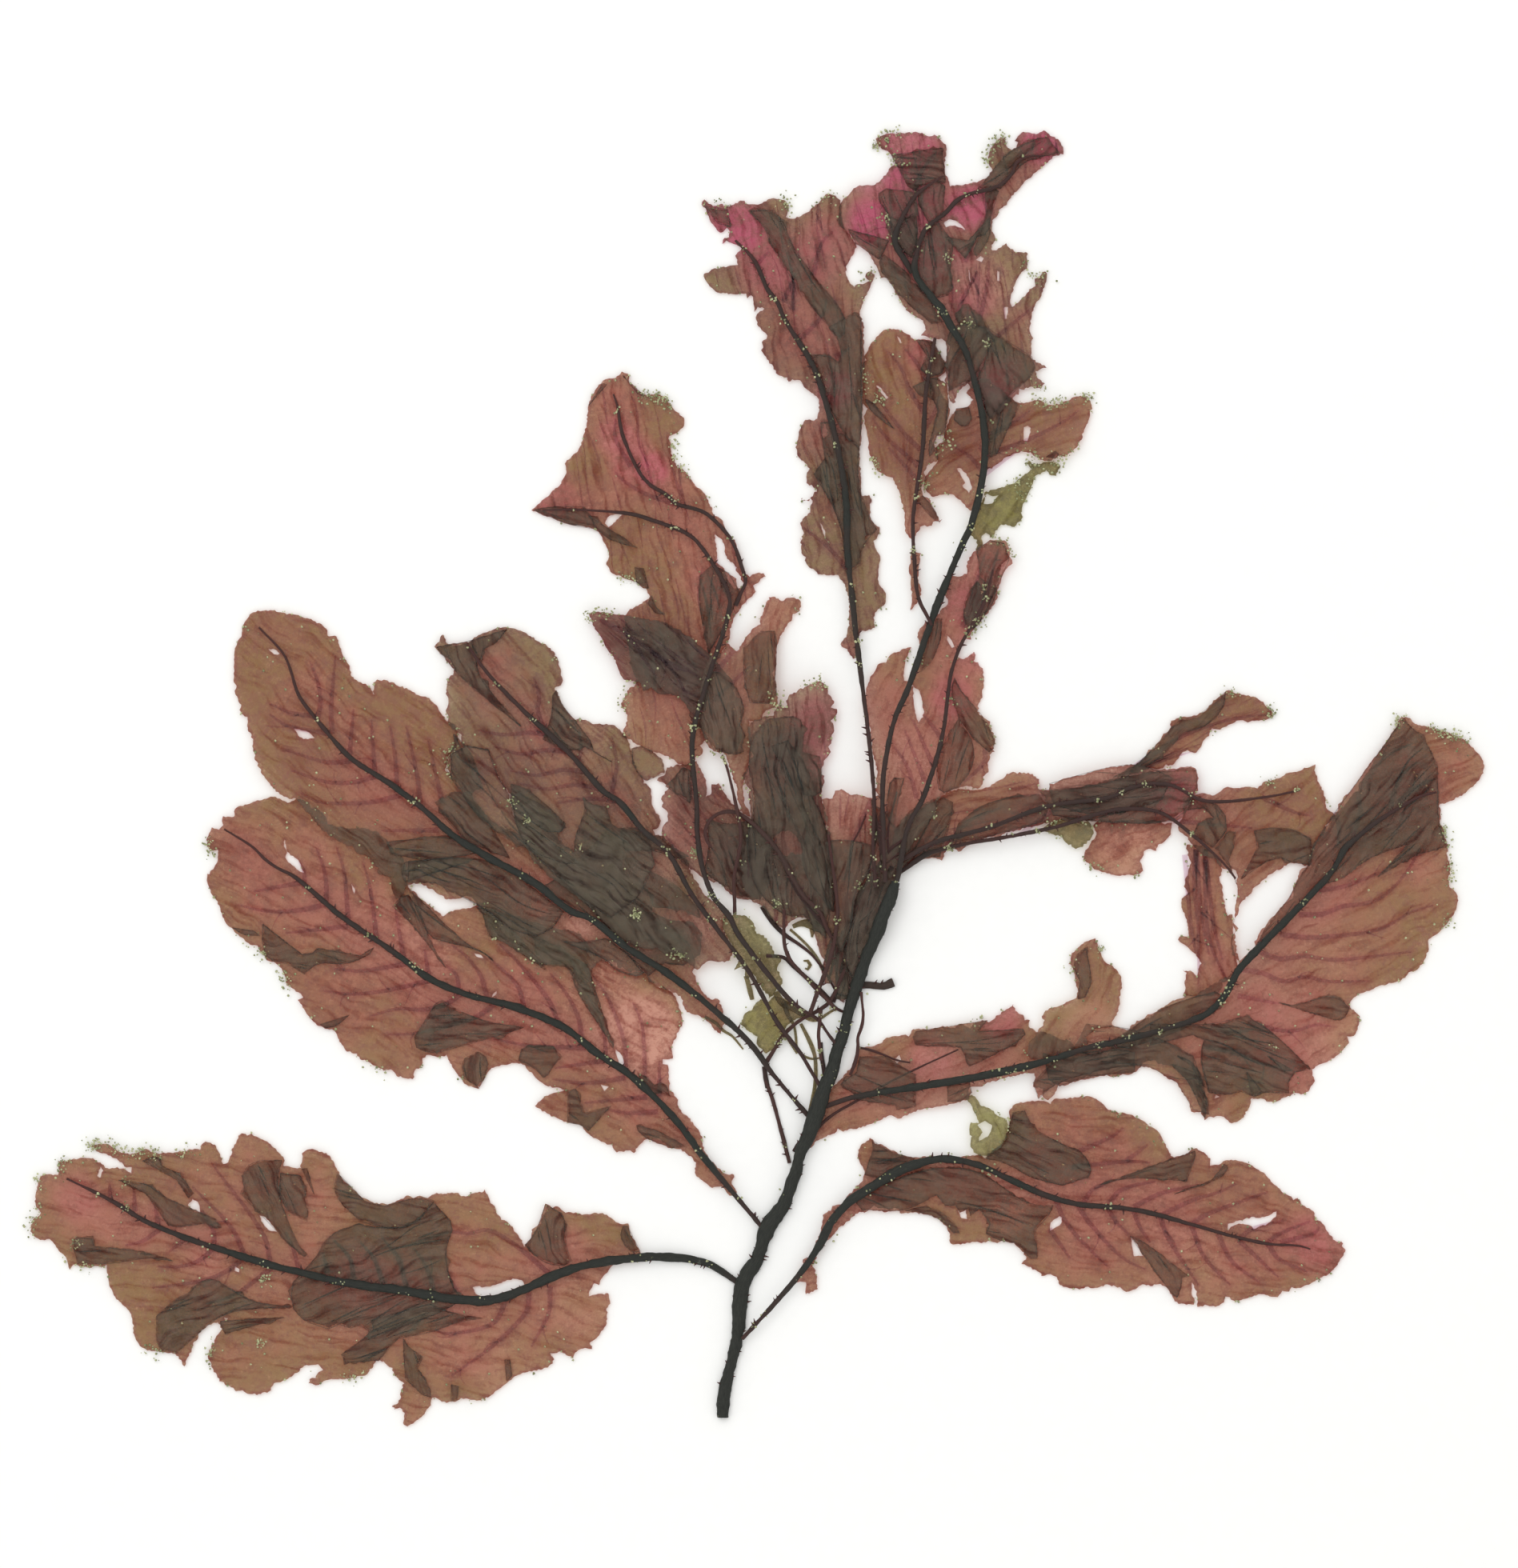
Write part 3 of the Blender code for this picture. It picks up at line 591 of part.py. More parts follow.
def distance_to_loops(point, loops):
    """Returns the shortest distance from a point to any of the closed loops."""
    best = math.inf
    for loop in loops:
        for start, end in zip(loop, loop[1:] + loop[:1]):
            edge = (end[0] - start[0], end[1] - start[1])
            offset = (point[0] - start[0], point[1] - start[1])
            along = (offset[0] * edge[0] + offset[1] * edge[1]) / (edge[0] ** 2 + edge[1] ** 2)
            along = min(1.0, max(0.0, along))
            best = min(best, math.hypot(offset[0] - along * edge[0], offset[1] - along * edge[1]))
    return best


def plan_mesh(loops):
    """Triangulates the area between a margin and its holes.

    Returns the plan points, the counter-clockwise triangles and the directed rim edges.
    """
    points = []
    edges = []
    for loop in loops:
        first = len(points)
        points.extend(loop)
        edges.extend((first + i, first + (i + 1) % len(loop)) for i in range(len(loop)))
    margin = loops[0]
    row_step = BLADE_MESH_STEP_MM * math.sqrt(0.75)
    low_x = min(p[0] for p in margin)
    low_y = min(p[1] for p in margin)
    rows = math.ceil((max(p[1] for p in margin) - low_y) / row_step)
    columns = math.ceil((max(p[0] for p in margin) - low_x) / BLADE_MESH_STEP_MM)
    for row in range(rows + 1):
        for column in range(columns + 1):
            x = low_x + (column + 0.5 * (row % 2)) * BLADE_MESH_STEP_MM
            point = (x, low_y + row * row_step)
            if inside(point, loops) and distance_to_loops(point, loops) > 0.42 * BLADE_MESH_STEP_MM:
                points.append(point)
    vertices, _, faces, *_ = delaunay_2d_cdt([Vector(p) for p in points], edges, [], 0, 1e-6)
    plan = [(v.x, v.y) for v in vertices]
    triangles = []
    for face in faces:
        centre = (sum(plan[i][0] for i in face) / 3.0, sum(plan[i][1] for i in face) / 3.0)
        if inside(centre, loops):
            triangles.append(tuple(face))
    directed = {(face[i], face[(i + 1) % 3]) for face in triangles for i in range(3)}
    rim = sorted(edge for edge in directed if (edge[1], edge[0]) not in directed)
    return plan, triangles, rim


def eased(heights, neighbours, rounds):
    """Lifts each height towards the mean of its neighbours, and never lowers one."""
    for _ in range(rounds):
        means = [sum(heights[n] for n in near) / len(near) if near else 0.0 for near in neighbours]
        heights = [max(own, mean) for own, mean in zip(heights, means)]
    return heights


def wave(x, y):
    """Returns the slight rise and fall of a dried sheet above its support."""
    turn = 2.0 * math.pi / BLADE_WAVE_LENGTH_MM
    return 0.5 * BLADE_WAVE_MM * (1.0 + math.sin(turn * x) * math.sin(1.3 * turn * y + 0.7))


def lay_blade(blade, ground):
    """Returns the vertices (mm) and faces of a blade laid on the ground, and raises the ground."""
    plan, triangles, rim = plan_mesh([blade.outline] + blade.holes)
    neighbours = [set() for _ in plan]
    lowest = [0.0] * len(plan)
    for triangle in triangles:
        support = ground.under(np.array([plan[i] for i in triangle])) + LAYER_GAP_MM
        for index in triangle:
            lowest[index] = max(lowest[index], support)
            neighbours[index].update(i for i in triangle if i != index)
    lowest = eased(lowest, neighbours, 3)
    bottoms = [z + wave(x, y) for (x, y), z in zip(plan, lowest)]
    vertices = [(x, y, z) for (x, y), z in zip(plan, bottoms)]
    vertices += [(x, y, z + BLADE_THICKNESS_MM) for (x, y), z in zip(plan, bottoms)]
    upper = len(plan)
    faces = [(a, c, b) for a, b, c in triangles]
    faces += [(a + upper, b + upper, c + upper) for a, b, c in triangles]
    faces += [(a, b, b + upper, a + upper) for a, b in rim]
    for triangle in triangles:
        tops = [bottoms[i] + BLADE_THICKNESS_MM for i in triangle]
        ground.cover(np.array([plan[i] for i in triangle]), tops)
    return vertices, faces


def lay_stem(stem, ground):
    """Returns the vertices (mm) and faces of a stem laid on the ground, and raises the ground."""
    count = len(stem.path)
    sides = []
    for index, (x, y, width) in enumerate(stem.path):
        before = stem.path[max(index - 1, 0)]
        after = stem.path[min(index + 1, count - 1)]
        run = (after[0] - before[0], after[1] - before[1])
        length = math.hypot(run[0], run[1])
        across = (-run[1] / length * width / 2.0, run[0] / length * width / 2.0)
        sides.append((x, y, across, width * STEM_HEIGHT_TO_WIDTH))
    spans = []
    lowest = [0.0] * count
    for index in range(count - 1):
        x0, y0, across0, _ = sides[index]
        x1, y1, across1, _ = sides[index + 1]
        left0 = (x0 + across0[0], y0 + across0[1])
        right0 = (x0 - across0[0], y0 - across0[1])
        left1 = (x1 + across1[0], y1 + across1[1])
        right1 = (x1 - across1[0], y1 - across1[1])
        halves = (np.array([left0, right0, right1]), np.array([left0, right1, left1]))
        spans.append(halves)
        support = max(ground.under(half) for half in halves) + LAYER_GAP_MM
        lowest[index] = max(lowest[index], support)
        lowest[index + 1] = max(lowest[index + 1], support)
    neighbours = [[i for i in (index - 1, index + 1) if 0 <= i < count] for index in range(count)]
    lowest = eased(lowest, neighbours, 2)
    vertices = []
    for (x, y, across, height), z in zip(sides, lowest):
        for side, rise in ((-0.55, 0.0), (-1.0, 0.45), (-0.6, 1.0), (0.6, 1.0), (1.0, 0.45), (0.55, 0.0)):
            vertices.append((x + side * across[0], y + side * across[1], z + rise * height))
    faces = [tuple(range(6)), tuple(6 * (count - 1) + i for i in reversed(range(6)))]
    for index in range(count - 1):
        near = 6 * index
        far = near + 6
        for i in range(6):
            j = (i + 1) % 6
            faces.append((near + j, near + i, far + i, far + j))
    tops = [z + side[3] for z, side in zip(lowest, sides)]
    for index, halves in enumerate(spans):
        ground.cover(halves[0], (tops[index], tops[index], tops[index + 1]))
        ground.cover(halves[1], (tops[index], tops[index + 1], tops[index + 1]))
    return vertices, faces


def principled(name, colour):
    """Returns a Principled material of one base colour."""
    material = bpy.data.materials.new(name)
    material.use_nodes = True
    shader = material.node_tree.nodes["Principled BSDF"]
    shader.inputs["Base Color"].default_value = (*colour, 1.0)
    shader.inputs["Roughness"].default_value = 0.55
    return material


def add_object(name, vertices, faces, colour):
    """Adds one closed body to the scene under its own name and material."""
    mesh = bpy.data.meshes.new(name)
    mesh.from_pydata([Vector(v) * MILLIMETRE for v in vertices], [], faces)
    mesh.materials.append(principled(name + "_finish", colour))
    mesh.validate()
    mesh.update()
    body = bpy.data.objects.new(name, mesh)
    bpy.context.scene.collection.objects.link(body)


def main():
    """Lays every blade and stem from the bottom up and centres the whole on the origin."""
    for old in list(bpy.data.objects):
        bpy.data.objects.remove(old, do_unlink=True)
    ground = Ground()
    laid = []
    for piece in LAYERS:
        lay = lay_blade if isinstance(piece, Blade) else lay_stem
        vertices, faces = lay(piece, ground)
        laid.append((piece, vertices, faces))
    everything = np.array([v for _, vertices, _ in laid for v in vertices])
    low = everything.min(axis=0)
    high = everything.max(axis=0)
    shift = ((low[0] + high[0]) / 2.0, (low[1] + high[1]) / 2.0, low[2])
    for piece, vertices, faces in laid:
        moved = [(x - shift[0], y - shift[1], z - shift[2]) for x, y, z in vertices]
        add_object(piece.name, moved, faces, piece.colour)


main()
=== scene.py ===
"""Looks of a pressed red seaweed: a branching stipe with wavy translucent blades, lying on a pale table.

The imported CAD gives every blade's outline and height. This script lays a fine, puckered
membrane in each outline, folds second layers over it where the real plant is folded, runs
veins, stems, spines and crumbs along it, and lights it from above on white.
"""

import logging
import math
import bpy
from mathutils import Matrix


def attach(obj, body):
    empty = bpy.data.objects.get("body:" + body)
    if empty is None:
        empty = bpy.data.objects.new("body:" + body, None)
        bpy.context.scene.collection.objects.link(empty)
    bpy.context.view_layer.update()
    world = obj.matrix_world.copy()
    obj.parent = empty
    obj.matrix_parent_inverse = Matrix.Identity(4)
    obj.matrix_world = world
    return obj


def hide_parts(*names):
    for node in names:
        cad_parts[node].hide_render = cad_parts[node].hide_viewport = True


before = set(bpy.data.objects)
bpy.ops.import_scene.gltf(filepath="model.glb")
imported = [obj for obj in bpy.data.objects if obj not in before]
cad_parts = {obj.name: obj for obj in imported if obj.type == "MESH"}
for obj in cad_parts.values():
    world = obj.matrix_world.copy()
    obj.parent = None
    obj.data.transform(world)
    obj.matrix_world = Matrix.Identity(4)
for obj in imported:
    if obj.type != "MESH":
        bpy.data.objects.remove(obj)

import zlib
from dataclasses import dataclass, field
from enum import Enum
from typing import Callable, ClassVar

import bpy
import numpy as np
from mathutils import Vector, kdtree
from mathutils.bvhtree import BVHTree
from mathutils.geometry import delaunay_2d_cdt

Node = bpy.types.Node
Socket = bpy.types.NodeSocket

LOG = logging.getLogger("seaweed")
MM = 0.001
TRACE_ORIGIN = np.array((0.5, -0.05))  # the traced paths' origin in the row's frame, mm
BLADE_SPACING = 0.75  # distance between a membrane's mesh points, mm
RIM_STEP = 0.4  # distance between points along a margin, mm
CORNER = 0.62  # cosine of the turn from which a traced point stays a corner
MEMBRANE = 0.16  # thickness of a membrane, mm
REFLECTED = (0.051, 0.0525, 0.042)  # what a membrane itself reflects, linear
BODY_SHARE = 0.15  # share of the membrane's own matter against what shines through
DOWN = Vector((0, 0, -1))
SKY = 20.0  # height from which rays look down, above everything, mm
FAR = 30.0  # distance told of a rib or vein where a sheet has none, mm
TINY = 1e-9


def entries(text: str) -> dict[str, str]:
    """Reads a table in which each entry is an @, a name and the entry's points."""
    return dict(part.split(maxsplit=1) for part in text.split("@")[1:])


# Each stem as traced: x, y and width, mm.
STEMS = entries("""
@main_stipe -6.1,-119.8,1.9 -5.9,-115,2.1 -4.6,-110,2 -3.5,-105.5,2.2 -2.4,-95,2.4 0.3,-90,2.3 1.2,-87.5,2.2
2,-84.7,2.6 5.2,-80,2.1 6.2,-77.5,1.9 8.6,-70,2.3 9.9,-67,2.6 12.3,-60,2.6 14.3,-54.5,2.2 15.2,-51.5,2.3
17,-46,2 19.3,-37.5,1.8 22.8,-28.5,2.3 25.3,-22,2 26.2,-19.3,1.6
@lower_left_midrib -4.3,-93.8,1.1 -8,-91.3,1.5 -11,-90.3,1.7 -15,-89.7,1.7 -20,-89.6,1.7 -32,-91.2,1.7
-36,-92.5,1.8 -44,-96,1.8 -48,-97.3,1.9 -52,-97.8,1.9 -65,-96.2,1.8 -85,-92.6,1.6 -112,-84,1.1 -121,-78.9,0.8
-129,-75,0.4
@middle_left_midrib 0.3,-83,0.9 -9.5,-71.3,1.4 -15,-63.8,1.5 -24,-55.2,1.5 -30,-51.2,1.5 -34.5,-47.5,1.5
-37.5,-45.7,1.5 -45,-42.8,1.5 -56,-39.8,1.4 -62,-36.8,1.3 -68,-32.3,1.2 -77,-26.2,1.1 -86.5,-18.3,0.8
-89.5,-16.8,0.7 -92,-15,0.6 -94,-13,0.5 -99.5,-9.5,0.4
@upper_left_midrib 8.7,-61.8,0.9 3,-55,1.1 -0.5,-50.2,1.2 -14.8,-37.6,1.4 -24.6,-31.3,1.5 -30.6,-26.4,1.5
-34.4,-24.9,1.5 -40.4,-20.2,1.5 -54.5,-12.1,1.4 -57.4,-10,1.3 -62.5,-5.4,1.3 -70,0,1.1 -74.5,2.8,1 -76.5,4.5,1
-84.5,14,0.7 -85.8,16.3,0.7 -87.3,21,0.5 -88.5,23.5,0.5 -93,28.3,0.4
@inner_left_midrib 10.9,-55.6,0.8 8.5,-51.5,0.9 4,-45.5,0.9 -1.6,-35.6,1 -11.8,-21.9,1 -16.5,-13.8,1.1
-21.2,-9.6,1.2 -25.4,-4.5,1.2 -28.4,-2.5,1.2 -35.5,5.4,1.1 -43.8,13,0.9 -50,19.5,0.7 -54,25,0.4
@wing_stem 13.6,-47.8,0.9 11.5,-45,0.9 9,-43.5,1 6,-41,1.2 1.4,-35.4,1.4 -3.3,-29,1.5 -5,-25.6,1.5
-7.7,-22.4,1.5 -9.2,-19,1.4 -10.3,-14.7,1.4 -10.9,-9.6,1.4 -10.9,-5.3,1.4 -11.8,7.5,1.4 -9.3,17.1,1.3
-5.1,30.7,1.3 -5,34.5,1.2 -11,44.4,1.1 -13,45.9,1.1 -15.1,46.9,1.1 -21.5,49.1,1 -24.5,49.7,0.9 -33,50.3,0.6
-39.8,50.3,0.4
@wing_fork -2.8,34.6,1.1 -1.9,36.8,1.1 -2.5,39.3,1.1 -4.4,44.4,1.1 -9.1,49.5,1.1 -11.7,50.6,1.1 -14.7,51.4,1.1
-16.8,53.3,1.1 -19.4,54.8,1 -21.5,57,1 -24.9,64.5,0.9 -25.9,70,0.6 -26.6,72,0.5
@centre_midrib 26.9,-17,1.3 28.3,-10,1.2 29.3,-7.5,1.2 31,-4.5,1.2 32.7,0,1.2 35,8,1.1 36.5,19,0.9
37.5,22.5,0.9 38.5,25,0.9 42.8,33,0.7 44.5,39,0.5
@left_top_midrib 22.3,-18,0.8 22,-13,0.8 22.2,-3.5,0.9 18.3,32,1.3 17.2,44,1.4 16.9,52,1.4 15,64,1.3
11.3,76,1.2 9.8,79,1.2 5.2,86.5,1.1 4.2,89,1.1 2.3,91.5,1 -0.2,97,0.8 -3.8,100.8,0.5
@right_top_midrib 24.2,-17,1.1 23.7,-2,1.3 24,1.5,1.3 25.3,8.5,1.3 26.4,12,1.4 28.8,17.5,1.5 32.6,28.5,1.7
38.3,43,1.7 40.2,47,1.7 42.3,55,1.7 43,63,1.8 42,70,1.7 39,80.5,1.6 36.2,85,2 35,87.5,2 33,90,1.9 29.8,95,1.6
30.3,98.5,1.3 31,101,1.3 32,103,1.2 36,106.3,1.1 37.5,108,1 39.5,109.2,1 44.5,110.6,1 46.5,111.7,0.9
48,113.3,0.8 49,115.5,0.7 51,116.5,0.6 54,116.7,0.4
@right_top_fork 28.2,96.8,1.2 26.2,100.3,1.3 26.5,102.5,1.3 29.8,109,0.9 31.5,110.5,0.8 35.2,112.9,0.4
@slender_midrib 31.9,30.8,0.8 30.8,33,0.8 30.2,35.5,0.8 29.5,45,0.9 29.5,49,0.9 31.2,61,1 32,73,1
33.6,82.5,0.8
@lower_right_midrib -0.9,-103.2,0.8 7.5,-93.8,1.3 11.5,-88.3,1.7 14.3,-83.2,1.9 16,-81,1.9 18.3,-78.8,2
27,-73.6,1.9 30,-72.3,1.8 33,-71.5,1.7 36,-71.3,1.6 42,-72.6,1.4 57,-79,1.2 72,-81,1 90,-85.9,0.7 96,-87.2,0.6
102,-87.6,0.4 104,-88.2,0.4
@right_midrib 14.8,-60.9,1 18,-59.8,1.1 30,-57.7,1.6 38,-56.5,1.6 52,-53.6,1.4 64,-50,1.2 67,-49.5,1.2
84,-44.4,1.3 86,-42.8,1.3 88,-40.5,1.3 90.5,-35.8,1.4 92.5,-33.5,1.4 106,-19.6,1.4 109,-15.5,1.3 110,-13.5,1.3
112,-11.5,1.2 116,-8.3,1 121,-5.2,0.7 124.5,-3.4,0.5 127.5,-2.6,0.4
@branch_upper_midrib 29.3,-14.2,0.9 33,-12.2,1 44,-9.1,0.9 55,-5.2,0.9 66.5,-3.5,0.9 69.5,-2,0.9 72.5,-1.2,0.8
75.5,-1,0.8 78.5,-1.5,0.8 84,-4.2,0.7 95.5,-3.5,0.5 102,-2.2,0.4
@branch_lower_midrib 28.6,-16.6,1 32,-14.3,1 36,-13,0.9 55,-9.4,0.8 67,-6,0.8 73,-5.8,0.8 76,-6.5,0.8
78.5,-8,0.8 83.5,-12,0.7 88,-16.3,0.5 89.9,-18.8,0.4
@hooked_stem 13.2,-27.6,0.8 12,-25,0.9 9.5,-22.5,1 7.5,-19.5,1 4.5,-14,1 1,-9.8,1 -3,-6.6,0.8 -5.2,-6.2,0.8
-7.3,-6.8,0.7 -8.8,-8.2,0.7 -9.4,-10,0.6 -9,-11.8,0.6 -8.3,-12.8,0.5
@slender_red_stem -3.9,-23,0.7 -4,-18.5,0.7 -2.8,-12,0.7 -2.9,-9,0.7 -5.3,2,0.5 -6.2,4.4,0.4
@bundle_stem 11,-41.7,0.9 14.3,-32.5,0.9 15.4,-25.5,0.8 15.2,-22,0.8 13.6,-10.5,0.5
@cross_stem 3.2,-51.4,0.8 5,-48.5,0.8 6.5,-46.8,0.8 8.5,-45.2,0.8 12.5,-43,0.8 14.1,-41.5,0.8 19.8,-28,0.7
@oblique_stem 13.6,-41.6,0.8 6.8,-34.3,0.8 5.8,-32.3,0.8 5.4,-30,0.7 5.4,-24.5,0.6
@leaning_stem 5.8,-69.8,0.8 3,-59.5,0.8 1.9,-56.6,0.7
@loop_stem 20,-42.4,0.6 20.2,-44.4,0.6 19.9,-46.5,0.7 19.2,-48.5,0.7 19.2,-50.5,0.7 18.7,-53,0.7
17.7,-55.6,0.6
@side_stem 12,-45.8,0.7 11.8,-48,0.7 12.3,-52.8,0.6
@stub 20.9,-38.8,0.9 24,-38.9,1.1 25.8,-38.2,1.2
""")

# Small torn holes that the CAD leaves closed.
HOLES = entries("""
@lower_left_blade -105.5,-78.7 -104.5,-79.5 -104,-81.5 -105,-81.2 -106.3,-80; -93,-81.9 -92,-82.2 -89.3,-85.2
-91,-84.8 -92.5,-83.3; -122.7,-72.8 -122.2,-73.5 -122.7,-74.9 -123.3,-74.5; -97.5,-91.5 -96.7,-92 -96.8,-92.6
-97.6,-92.3; -99.7,-101 -98.8,-101.2 -99.2,-101.6
@middle_left_blade -75.7,-19.8 -75,-21 -75.2,-21.6 -75.5,-20.9; -49.3,-40.6 -48.5,-39.8 -48.5,-40.3
-49.4,-41.1; -52.7,-32.8 -51.3,-33.2 -51,-33.7 -52.3,-33.4; -29,-57.4 -27.5,-57.8 -28.3,-58.6; -26.1,-51
-25,-52 -24.5,-54 -24.9,-54.6 -25.8,-52.8
@upper_left_blade -91.2,24.2 -90,24.1 -89.2,23.4 -90.2,23.2; -86.3,9.2 -84,8.8 -82.5,7.6 -83.5,7.4 -85,7.6
@lower_right_blade 38,-81 39.6,-80.7 39.7,-82.6 38.6,-82.4; 70.3,-85.9 71.5,-87.2 72.6,-89.5 71,-89.5 70.6,-88
@right_blade 26,-52.7 27,-51.8 27.3,-52.8 26.5,-53.4; 64.3,-51 66,-50.3 67,-50.8 65.8,-51.9 64.5,-51.5;
86.3,-59.3 87,-59.7 86,-60
@centre_blade 36.8,24.5 35.9,26 35.8,27 36.6,26 37.2,24.7
@left_top_blade 12,48.3 13,46.5 13.2,45 14.3,43.7 13.6,44.3 12.7,46; 12.4,64.5 12.8,63.8 13.4,64.5 13.2,66
12.7,67
@right_top_blade 35.3,104 36.2,104.8 37.5,104.5 38.8,103.6 39.4,102.7 37,103.6 35.8,103.4; 41.3,97.2 42.2,97.9
42.8,97.5 42.4,96.8; 39.8,95.4 40.2,95.4 40.4,93 40.1,92.9; 46.6,88.3 47.3,88.3 47.1,86.2 46.8,86.2; 45.3,95.2
45.7,95 45.7,93.2 45.3,93.3
@right_mid_blade 37.4,58.2 38.3,58.3 39.3,57 40.5,54.2 40,53.4 38.2,55 39,55.5 38.5,56.5; 50.3,65.8 51,66.2
51.6,65.7 50.9,63.3 50.3,63.4 50.2,64.5
@right_low_blade 43,53.3 43.5,53.5 44.5,52.9 46,53.3 44,51.5 42.8,51.5
@slender_blade 22.6,73.7 23,73.6 24.8,71.4 24.5,71.1; 26.5,82.9 27,82.6 27.4,81.6 27.1,81.6; 23.4,68.3 24,68
24.8,66.8 24.5,66.7
""")

